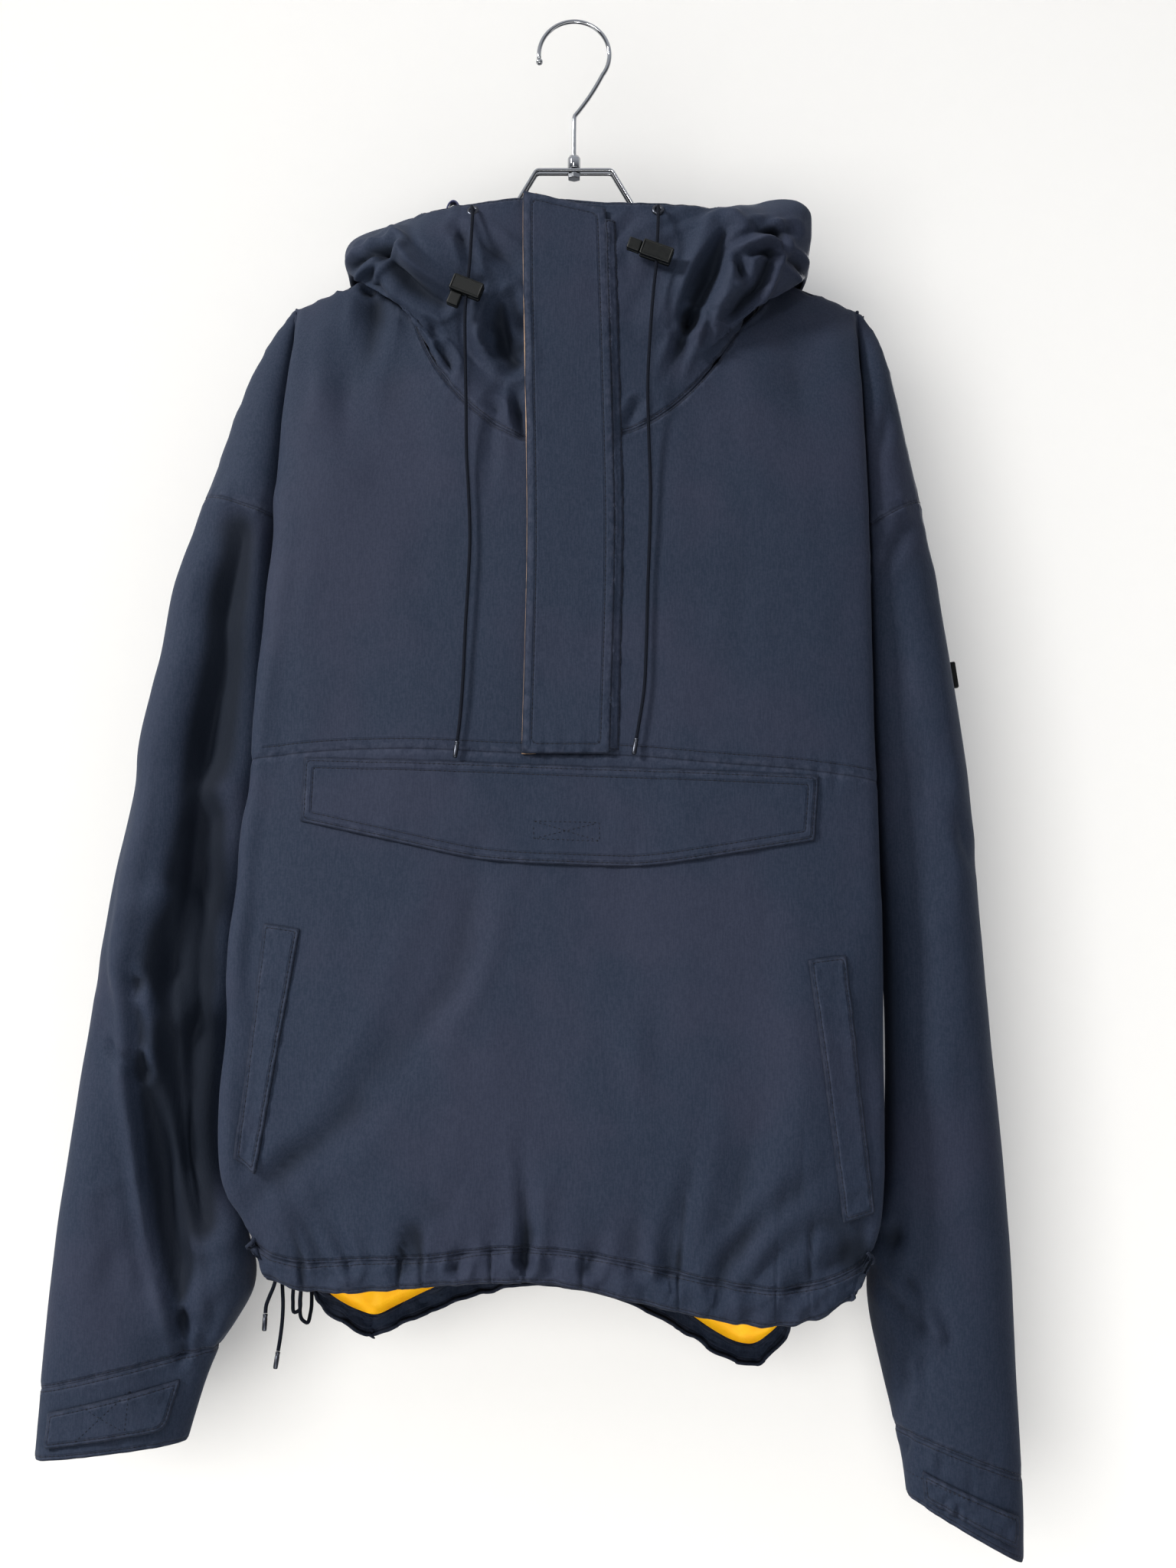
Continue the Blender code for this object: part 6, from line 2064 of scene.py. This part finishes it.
@dataclass
class Stitching:
    """Rows of lockstitch in thread, laid on the finished cloth."""

    pitch: float = 0.0033
    length: float = 0.0025
    radius: float = 0.00021
    proud: float = 0.00010
    sunk: float = 0.00030
    shoulder_gap: float = 0.022
    lines: list[np.ndarray] = field(default_factory=list)

    def follow_borders(self, sheets: dict[str, Sheet]) -> None:
        """Adds the rows that follow the borders of pieces.

        Args:
            sheets: The pieces' sheets by node.
        """
        for node in sorted(sheets.keys() & BORDER_ROWS.keys()):
            for row in Table(BORDER, BORDER_ROWS[node]):
                for line in contours(sheets[node], row["inset"] * MILLIMETRE):
                    self._add_within(line, row)

    def _add_within(self, line: np.ndarray, row: dict[str, float]) -> None:
        """Adds the stretches of a line that lie in a row's box.

        Args:
            line: The line's places and normals.
            row: A row of a table of stitches.
        """
        inside = in_box(line, row) & (shoulder_distance(line) > self.shoulder_gap)
        for stretch in np.split(np.arange(len(line)), np.flatnonzero(np.diff(inside)) + 1):
            if inside[stretch[0]] and len(stretch) > 3:
                self.lines.append(line[stretch])

    def follow_free(self, surface: Surface) -> None:
        """Adds the rows that cross pieces.

        Args:
            surface: The cloth that they are sewn on.
        """
        for corners in FREE_ROWS:
            flat = np.array([(x, 0, -drop) for x, drop in corners])
            met = [surface.meet(x, -z, Facing.FRONT) for x, _, z in resampled(flat, 0.001)]
            rows = [(*place, *normal) for place, normal in filter(None, met)]
            if len(rows) > 3:
                self.lines.append(np.array(rows))

    def build(self, name: str) -> None:
        """Adds all rows as one piece.

        Args:
            name: The piece's name.
        """
        every = round(3 * self.pitch / self.length)
        rings = []
        for line in self.lines:
            rows = resampled(line, self.length / 3)
            starts = np.arange(0, len(rows) - 3, every)
            rings.append(rows[starts[:, None] + np.arange(4)])
        mesh = mesh_of(name, *self._dashes(np.concatenate(rings)))
        add_piece(name, mesh, [Finish.THREAD], "shell")

    def _dashes(self, rings: np.ndarray) -> tuple[np.ndarray, np.ndarray]:
        """The tubes of stitches.

        Args:
            rings: The four places along each stitch, with their normals.

        Returns:
            The points and the faces, four rings of four points for each stitch.
        """
        place, normal = rings[..., :3], rings[..., 3:]
        along = unit(place[:, -1:] - place[:, :1])
        side = np.cross(np.broadcast_to(along, normal.shape), normal)
        height = np.array([-self.sunk, self.proud, self.proud, -self.sunk])[None, :, None]
        width = self.radius * np.array([0.6, 1.0, 1.0, 0.6])[None, :, None]
        centre = place + normal * height
        ways = (side, normal, -side, -normal)
        spots = np.stack([centre + way * width for way in ways], axis=2)
        first = np.arange(len(rings))[:, None, None] * 16 + np.arange(3)[None, :, None] * 4
        corner = np.arange(4)[None, None]
        after = (corner + 1) % 4
        faces = np.stack([first + corner, first + after, first + 4 + after, first + 4 + corner], axis=3)
        return spots.reshape(-1, 3), faces.reshape(-1, 4)


# ---- cords and locks -----------------------------------

# The cords' routes, in millimetres.
ROUTE = "x y drop"
HOOD_CORDS = {
    "left": Table(ROUTE, (
        (-71, -64, 173.5), (-71, -68, 181), (-71.4, -71.5, 195),
        (-72.8, -73.5, 220), (-74.1, -73.8, 231.6), (-75.2, -73.5, 248),
        (-75.2, -71.5, 270), (-74.4, -69, 310), (-73.8, -67.5, 350),
        (-72.2, -68, 376.5), (-71, -69, 409), (-72, -70, 440),
        (-73.5, -71, 470), (-75, -72, 510), (-77.4, -72.5, 542),
        (-78.4, -72.6, 550),
    )),
    "right": Table(ROUTE, (
        (59.7, -63.5, 172.8), (59.5, -67.5, 180), (59.1, -71, 190),
        (58.5, -72.8, 200), (58.2, -73, 206), (57.8, -73, 215),
        (56, -71.5, 232), (53.8, -70, 260), (51.8, -68.5, 300),
        (52.4, -67.5, 335), (53.4, -68, 376.5), (52.6, -69, 410),
        (51.2, -70, 445), (50, -71.2, 485), (48.4, -72, 515),
        (44.2, -72.5, 542), (43.2, -72.6, 548),
    )),
}
HEM_CORDS = {
    "hem_cord_a": Table(ROUTE, (
        (-200.4, -29, 903), (-200.6, -29.6, 907), (-201, -30, 911),
        (-202.4, -30.2, 917), (-205.2, -30.6, 924), (-207.2, -31, 930),
        (-207.5, -31.2, 934.5),
    )),
    "hem_cord_b": Table(ROUTE, (
        (-197.5, -26, 912), (-197, -26.2, 919), (-196.4, -26.6, 929),
        (-196.6, -27, 939), (-197.6, -27.4, 950), (-199, -27.8, 960),
    )),
    "hem_cord_loop_a": Table(ROUTE, (
        (-192.5, 2, 911), (-193.4, 2.2, 920), (-193.8, 2.6, 931),
        (-192.5, 3, 938.5), (-190, 3.4, 937.5), (-188.8, 4, 929),
        (-189, 5, 919), (-190, 6, 911.5),
    )),
    "hem_cord_loop_b": Table(ROUTE, (
        (-188.5, 11, 913.5), (-189.4, 10.8, 923), (-190, 10.4, 935),
        (-188, 10, 944.5), (-184.8, 10, 946.5), (-182.6, 10.6, 940),
        (-182, 11.6, 929), (-183, 13, 919),
    )),
}


def turned_to(place: Vector, way: Vector) -> Matrix:
    """The placement that puts a piece's origin at a place and its +Z along a way."""
    return Matrix.Translation(place) @ way.to_track_quat("Z", "Y").to_matrix().to_4x4()


def rounded_outline(width: float, height: float, radius: float) -> list[Pair]:
    """Draws a rounded rectangle about the origin.

    Args:
        width: Its width.
        height: Its height.
        radius: The radius of its corners.

    Returns:
        Its points in turn.
    """
    line = []
    for quarter in range(4):
        right = 1 if quarter in (0, 3) else -1
        top = 1 if quarter in (0, 1) else -1
        centre = (right * (width / 2 - radius), top * (height / 2 - radius))
        for step in range(6):
            turn = math.radians(90 * quarter + 18 * step)
            line.append((centre[0] + radius * math.cos(turn), centre[1] + radius * math.sin(turn)))
    return line


def moulded_piece(
    name: str,
    size: Triple,
    levels: Pairs,
    place: Matrix,
    node: str,
) -> Piece:
    """A block of plastic: a rounded rectangle carried along Y through levels of (y, inset).

    Args:
        name: The piece's name.
        size: Its width along X, its height along Z and its corner radius.
        levels: Where each outline stands, and how far it is drawn in.
        place: The block's placement.
        node: The frame's node that it stands in for.

    Returns:
        The new object.
    """
    width, height, radius = size
    points, faces = [], []
    for y, inset in levels:
        outline = rounded_outline(width - 2 * inset, height - 2 * inset, max(radius - inset, 0.0002))
        points += [place @ Vector((x, y, z)) for x, z in outline]
    count = len(points) // len(levels)
    for row in range(len(levels) - 1):
        for i in range(count):
            j = (i + 1) % count
            faces.append((row * count + i, row * count + j, (row + 1) * count + j, (row + 1) * count + i))
    faces.append(tuple(range(count))[::-1])
    faces.append(tuple(range(len(points) - count, len(points))))
    mesh = bpy.data.meshes.new(name)
    mesh.from_pydata([tuple(point) for point in points], [], faces)
    mesh.polygons.foreach_set("use_smooth", [len(face) == 4 for face in faces])
    return eased(add_piece(name, mesh, [Finish.PLASTIC], "plastic", node), MOULDED_EDGE)


@dataclass
class CordLock:
    """A moulded cord lock with its spring plunger, threaded on a hood cord."""

    side: str
    centre: Triple
    turn: float
    plunger_below: bool
    long: float = 0.0225
    deep: float = 0.0085
    wide: float = 0.0115
    corner: float = 0.0014
    plunger_long: float = 0.0095
    plunger_wide: float = 0.0085
    plunger_deep: float = 0.0062
    plunger_corner: float = 0.0010
    gap: float = 0.0004

    def build(self) -> list[Piece]:
        """Builds the lock.

        Returns:
            Its body and its plunger.
        """
        place = Matrix.Translation(self.centre) @ Matrix.Rotation(math.radians(-self.turn), 4, "Y")
        half = self.deep / 2
        levels = (
            (-half + 0.0003, 0.0019), (-half + 0.0003, 0.0014), (-half, 0.0012), (-half, 0.0008),
            (-half + 0.0003, 0.0002), (-half + 0.0008, 0.0), (-0.0008, 0.0), (-0.0007, 0.0006),
            (0.0005, 0.0006), (0.0006, 0.0), (half - 0.0008, 0.0), (half - 0.0003, 0.0003), (half, 0.0010),
        )
        size = (self.long, self.wide, self.corner)
        name, node = f"cord_lock_body_{self.side}", f"cord_lock_{self.side}"
        body = moulded_piece(name, size, levels, place, node)
        return [body, self.build_plunger(place)]

    def build_plunger(self, place: Matrix) -> Piece:
        """Builds the plunger, which stands out of the body's end or side.

        Args:
            place: The body's placement.

        Returns:
            The plunger.
        """
        reach = self.gap + self.plunger_long / 2
        if self.plunger_below:
            shift = Vector((-0.0050, 0.0010, -(self.wide / 2 + reach)))
            width, height = self.plunger_wide, self.plunger_long
        else:
            shift = Vector((-(self.long / 2 + reach), 0.0008, 0))
            width, height = self.plunger_long, self.plunger_wide
        half = self.plunger_deep / 2
        levels = (
            (-half, 0.0016), (-half, 0.0007), (-half + 0.0003, 0.0002), (-half + 0.0008, 0.0),
            (-0.0006, 0.0), (-0.0005, 0.0007), (0.0005, 0.0007), (0.0006, 0.0), (half - 0.0006, 0.0),
            (half, 0.0006),
        )
        name, node = f"cord_lock_button_{self.side}", f"cord_lock_plunger_{self.side}"
        placed = place @ Matrix.Translation(shift)
        return moulded_piece(name, (width, height, self.plunger_corner), levels, placed, node)


@dataclass
class Cords:
    """The hood's two cords with their eyelets, locks and tips, and the hem's cord ends."""

    hood_radius: float = 0.0011
    hem_radius: float = 0.0013
    eyelet_radius: float = 0.0043
    eyelet_hole: float = 0.0020
    eyelet_high: float = 0.0011
    tip_radius: float = 0.0015
    tip_length: float = 0.0115
    tip_gap: float = 0.0004
    step: float = 0.0025

    def build(self, surface: Surface) -> None:
        """Builds every cord.

        Args:
            surface: The hood's solids, on which the eyelets stand.
        """
        left = CordLock("left", (-0.0741, -0.0738, -0.2316), -22.0, True).build()
        right = CordLock("right", (0.0582, -0.0730, -0.2060), -20.0, False).build()
        self.build_hood_cord("left", EYELETS["left"], surface, left)
        self.build_hood_cord("right", EYELETS["right"], surface, right)
        for name, table in HEM_CORDS.items():
            self.build_hem_cord(name, self.route_of(table))

    @staticmethod
    def route_of(table: Table) -> list[Vector]:
        """A table's points in metres."""
        return [Vector((row["x"] / METRE, row["y"] / METRE, -row["drop"] / METRE)) for row in table]

    def build_hood_cord(
        self, side: str, spot: Pair, surface: Surface, lock: list[Piece]
    ) -> None:
        """Builds one hood cord, from its eyelet through its lock to its metal tip.

        Args:
            side: The hood's side.
            spot: The eyelet's x and drop.
            surface: The hood's solids.
            lock: The pieces of its cord lock.
        """
        place, normal = surface.meet(*spot, Facing.FRONT)
        self.build_eyelet(side, place, normal)
        start = [place + normal * self.hood_radius, place + normal * self.hood_radius * 4]
        route = start + self.route_of(HOOD_CORDS[side])
        line = smooth_route(route, self.step)
        name = f"hood_cord_{side}"
        cord = curve_piece(name + "_braid", line, self.hood_radius, Finish.CORD, name)
        tip = self.build_tip(f"hood_cord_tip_{side}", line, self.tip_radius)
        self.declare(cord, line, self.hood_radius, "fitting", [*lock, tip])

    def build_eyelet(self, side: str, place: Vector, normal: Vector) -> None:
        """Builds a rolled metal eyelet.

        Args:
            side: The hood's side.
            place: Where it stands on the cloth.
            normal: The cloth's normal there.
        """
        hole, rim, high = self.eyelet_hole, self.eyelet_radius, self.eyelet_high
        profile = [
            (hole, -0.0006), (hole, 0.0005), (hole + 0.0003, high * 0.85), (hole + 0.0009, high),
            (rim - 0.0006, high * 0.8), (rim - 0.0001, high * 0.35), (rim, -0.0002),
            (rim - 0.0003, -0.0006),
        ]
        placed = turned_to(place + normal * 0.0004, normal)
        name, node = f"eyelet_ring_{side}", f"eyelet_{side}"
        turned_piece(name, profile, Finish.DARK_METAL, node, place=placed)

    def build_tip(self, node: str, line: list[Vector], radius: float) -> Piece:
        """Builds a crimped metal tip in line with a cord's end.

        Args:
            node: The frame's node.
            line: The cord's line.
            radius: The tip's radius.

        Returns:
            The tip.
        """
        way = (line[-1] - line[-2]).normalized()
        ends = [0.0, 0.0004, 0.0016, 0.0020, 0.0024, 0.0028, 0.0032, 0.0098, 0.0112, self.tip_length]
        sizes = [0.86, 1.0, 1.0, 0.86, 1.0, 0.86, 1.0, 1.0, 0.90, 0.55]
        profile = [(radius * size, end) for end, size in zip(ends, sizes)]
        profile = [(0.0001, 0.0), *profile, (0.0001, self.tip_length)]
        placed = turned_to(line[-1] + way * self.tip_gap, way)
        return turned_piece(node + "_crimped", profile[::-1], Finish.DARK_METAL, node, 20, placed)

    def build_hem_cord(self, node: str, route: list[Vector]) -> None:
        """Builds one end or loop of the hem's cord.

        Args:
            node: The frame's node.
            route: Its points.
        """
        line = smooth_route(route, self.step / 2)
        cord = curve_piece(node + "_braid", line, self.hem_radius, Finish.CORD, node)
        if "loop" in node:
            self.declare(cord, line, self.hem_radius, "object", [])
            return
        tip = self.build_tip(node.replace("cord", "cord_tip"), line, self.tip_radius + 0.0001)
        self.declare(cord, line, self.hem_radius, "fitting", [tip])

    @staticmethod
    def declare(
        cord: Piece, line: list[Vector], radius: float, end: str, pieces: list[Piece]
    ) -> None:
        """Declares a free cord.

        Args:
            cord: Its object.
            line: Its line.
            radius: Its radius.
            end: What is on its far end.
            pieces: The pieces on it.
        """
        length = sum((b - a).length for a, b in zip(line, line[1:]))
        LOG.info("%s is %.3f long", cord.name, length)
        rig.cord(
            cord,
            exit=tuple(line[0]),
            length=round(length, 3),
            diameter=2 * radius,
            far_end=end,
            stiffness="limp",
            lay="hanging",
            with_pieces=pieces,
        )


@dataclass
class SmallParts:
    """The hanging loop of tape and the plain tab on the sleeve."""

    loop_x: float = -0.0860
    loop_y: float = -0.0440
    loop_drop: float = 0.1555
    loop_wide: float = 0.0070
    loop_rise: float = 0.0120
    loop_half: float = 0.0055
    loop_thick: float = 0.0010
    loop_steps: int = 24
    loop_rows: int = 8
    tab_wide: float = 0.0050
    tab_corner: float = 0.0012

    def build(self) -> None:
        """Builds both."""
        self.build_loop()
        self.build_tab()

    def build_loop(self) -> None:
        """The loop: an arch of folded tape."""
        points = []
        for step in range(self.loop_steps + 1):
            turn = math.pi * step / self.loop_steps
            x = self.loop_x - self.loop_half * math.cos(turn)
            z = -self.loop_drop - self.loop_rise + self.loop_rise * math.sin(turn) ** 0.8
            for row in range(self.loop_rows + 1):
                points.append((x, self.loop_y + self.loop_wide * row / self.loop_rows, z))
        faces = grid_faces(self.loop_steps + 1, self.loop_rows + 1)
        mesh = mesh_of("hang_loop_tape", np.array(points), faces)
        loop = add_piece("hang_loop_tape", mesh, [Finish.TAPE], "shell", "hang_loop")
        thickened(loop, self.loop_thick)
        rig.sheet(loop, flat=(0.010, 0.030), area=0.00026, held="hung", rests_on=["hood_left_cloth"])

    def build_tab(self) -> None:
        """The tab: a moulded strip with two raised ridges, standing out of the sleeve's edge."""
        node = frame["nodes"]["sleeve_tab"]
        points, _ = arrays_of(node.data)
        low, high = points.min(axis=0), points.max(axis=0)
        centre = Vector(((low + high) / 2).tolist())
        size = high - low
        half = size[1] / 2
        levels = (
            (-half, 0.0008), (-half + 0.0003, 0.0002), (-0.0006, 0.0), (-0.0005, 0.0004),
            (0.0005, 0.0004), (0.0006, 0.0), (half - 0.0003, 0.0002), (half, 0.0008),
        )
        lean = math.atan2(size[0] - self.tab_wide, size[2])
        place = Matrix.Translation(centre) @ Matrix.Rotation(-lean, 4, "Y")
        outline = (self.tab_wide, float(size[2]), self.tab_corner)
        moulded_piece("sleeve_tab_moulded", outline, levels, place, "sleeve_tab")


# ---- the room ------------------------------------------


@dataclass(frozen=True)
class Lamp:
    """A soft square light, aimed at the chest."""

    name: str
    place: Triple
    size: float
    power: float
    colour: RGB
    lit: str
    aim: Triple = (0.0, 0.0, -0.55)

    def build(self, receivers: bpy.types.Collection) -> None:
        """Adds the lamp.

        Args:
            receivers: What it falls on.
        """
        data = bpy.data.lights.new(self.name, "AREA")
        data.shape = "SQUARE"
        data.size = self.size
        data.energy = self.power
        data.color = self.colour
        lamp = bpy.data.objects.new(self.name, data)
        lamp.location = self.place
        way = Vector(self.aim) - Vector(self.place)
        lamp.rotation_euler = way.to_track_quat("-Z", "Y").to_euler()
        bpy.context.scene.collection.objects.link(lamp)
        lamp.light_linking.receiver_collection = receivers


# A window at the left for the part, a wash for the room, and small lights.
LAMPS = (
    Lamp("window", (-4.2, -2.9, 1.9), 1.0, 300.0, (1.0, 0.985, 0.96), "part"),
    Lamp("front", (-0.50, -2.3, 0.25), 0.35, 9.0, (1.0, 0.99, 0.97), "part"),
    Lamp("low", (-0.20, -1.6, -1.40), 0.30, 8.0, (0.95, 0.98, 1.0), "part"),
    Lamp("wash", (-0.9, -3.6, -1.1), 2.6, 108.0, (1.0, 0.99, 0.97), "room"),
    Lamp("behind", (0.9, 3.0, 1.0), 1.2, 120.0, (1.0, 0.99, 0.97), "part"),
)


@dataclass
class Studio:
    """The pale room, the soft lights and the camera."""

    wall_y: float = 0.150
    floor_z: float = -1.45
    half_width: float = 3.0
    depth: float = 4.0
    height: float = 2.2
    camera_place: Triple = (0.01027, -1.46, -0.7501)
    camera_tilt: float = 97.0
    focal_px: float = 2700.0
    frame_px: float = 2048.0
    sensor: float = 36.0
    exposure: float = -0.05
    bend: float = 0.25
    paint: RGB = (0.84, 0.83, 0.81)
    shade: RGB = (0.82, 0.81, 0.79)
    lit: dict[str, bpy.types.Collection] = field(default_factory=dict)

    def build(self) -> None:
        """Builds the room, the lights, the world and the camera."""
        for name in ("part", "room"):
            self.lit[name] = bpy.data.collections.new("lit_" + name)
        self.build_room()
        for lamp in LAMPS:
            lamp.build(self.lit[lamp.lit])
        self.build_world()
        self.build_camera()

    def build_room(self) -> None:
        """A floor that curves up into the wall, seen only from its front side."""
        profile = [(-self.depth, self.floor_z)]
        for degrees in np.linspace(0, 90, 13):
            turn = math.radians(degrees)
            y = self.wall_y - self.bend * (1 - math.sin(turn))
            profile.append((y, self.floor_z + self.bend * (1 - math.cos(turn))))
        profile.append((self.wall_y, self.height))
        points = [(x, y, z) for y, z in profile for x in (-self.half_width, self.half_width)]
        faces = [(2 * i, 2 * i + 1, 2 * i + 3, 2 * i + 2) for i in range(len(profile) - 1)]
        mesh = mesh_of("room", np.array(points, float), np.array(faces))
        room = bpy.data.objects.new("room", mesh)
        bpy.context.scene.collection.objects.link(room)
        mesh.materials.append(self.wall_material())
        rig.stage(room)
        self.lit["room"].objects.link(room)

    def wall_material(self) -> bpy.types.Material:
        """Mixes matte off-white paint, clear from behind so that the back can be seen.

        Returns:
            The material.
        """
        graph = Graph("wall_paint")
        grain = graph.noise(graph.place(), 40.0, 3.0)
        colour = graph.mix(grain * 0.3, self.paint, self.shade)
        paint = graph.node("BsdfDiffuse", {}, {"Color": colour})
        clear = graph.node("BsdfTransparent")
        behind = graph.node("NewGeometry", output="Backfacing")
        shadow = graph.node("LightPath", output="Is Shadow Ray")
        shader = graph.node("MixShader", {}, {0: behind | shadow, 1: paint, 2: clear})
        graph.node("OutputMaterial", {}, {"Surface": shader})
        return graph.material

    @staticmethod
    def build_world() -> None:
        """A dim world, brighter towards the ceiling."""
        world = bpy.data.worlds.new("room_light")
        graph = Graph("room_light", world)
        high = graph.node("SeparateXYZ", {}, {0: graph.node("TexCoord", output="Generated")}, "Z")
        stops = (
            (0.0, (0.30, 0.29, 0.28)), (0.42, (0.16, 0.16, 0.17)), (0.56, (0.20, 0.21, 0.23)),
            (0.72, (0.70, 0.72, 0.76)), (1.0, (0.90, 0.92, 0.96)),
        )
        sky = graph.node("ValToRGB", {"stops": stops}, {0: high * 0.5 + 0.5})
        shader = graph.node("Background", {}, {"Color": sky, "Strength": 0.85})
        graph.node("OutputWorld", {}, {"Surface": shader})
        bpy.context.scene.world = world

    def light_parts(self) -> None:
        """Names what the part's own lights fall on, once every piece is there."""
        for piece in bpy.context.scene.collection.objects:
            if piece.type in {"MESH", "CURVE"} and piece.name != "room":
                self.lit["part"].objects.link(piece)

    def build_camera(self) -> None:
        """The camera, below the chest and tilted up a little."""
        data = bpy.data.cameras.new("camera")
        data.sensor_width = self.sensor
        data.lens = self.sensor * self.focal_px / self.frame_px
        camera = bpy.data.objects.new("camera", data)
        camera.location = self.camera_place
        camera.rotation_euler = (math.radians(self.camera_tilt), 0, 0)
        bpy.context.scene.collection.objects.link(camera)
        bpy.context.scene.camera = camera
        bpy.context.scene.view_settings.view_transform = "Standard"
        bpy.context.scene.view_settings.look = "Medium High Contrast"
        bpy.context.scene.view_settings.exposure = self.exposure


def write_sizes() -> None:
    """Writes the frame's box and the dressed part's box."""
    visual = [list(corner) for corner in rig.bounds()]
    with open(SIZE_FILE, "w") as file:
        json.dump({"cad": CAD_BOX, "visual": visual}, file)


def main() -> None:
    """Builds the part and its studio."""
    logging.basicConfig(level=logging.INFO, format="%(name)s: %(message)s")
    studio = Studio()
    studio.build()
    sheets = Body().build()
    for side in SIDES:
        sheets |= Sleeve(side).build()
        sheets |= Hood(side).build()
    sheets |= FrontTrims().build()
    Hanger().build()
    under = [sheets[node] for node in ("front_yoke_right", "hood_right", "front_lower")]
    sheets["placket_strip"] = PlacketStrip().build(surface_of(under))
    hood_solids = [frame["nodes"][f"hood_{side}"].data for side in SIDES]
    Cords().build(Surface([arrays_of(mesh) for mesh in hood_solids]))
    SmallParts().build()
    stitching = Stitching()
    stitching.follow_borders(sheets)
    stitching.follow_free(surface_of(sheets.values()))
    stitching.build("stitching")
    studio.light_parts()
    write_sizes()


if __name__ == "__main__":
    main()
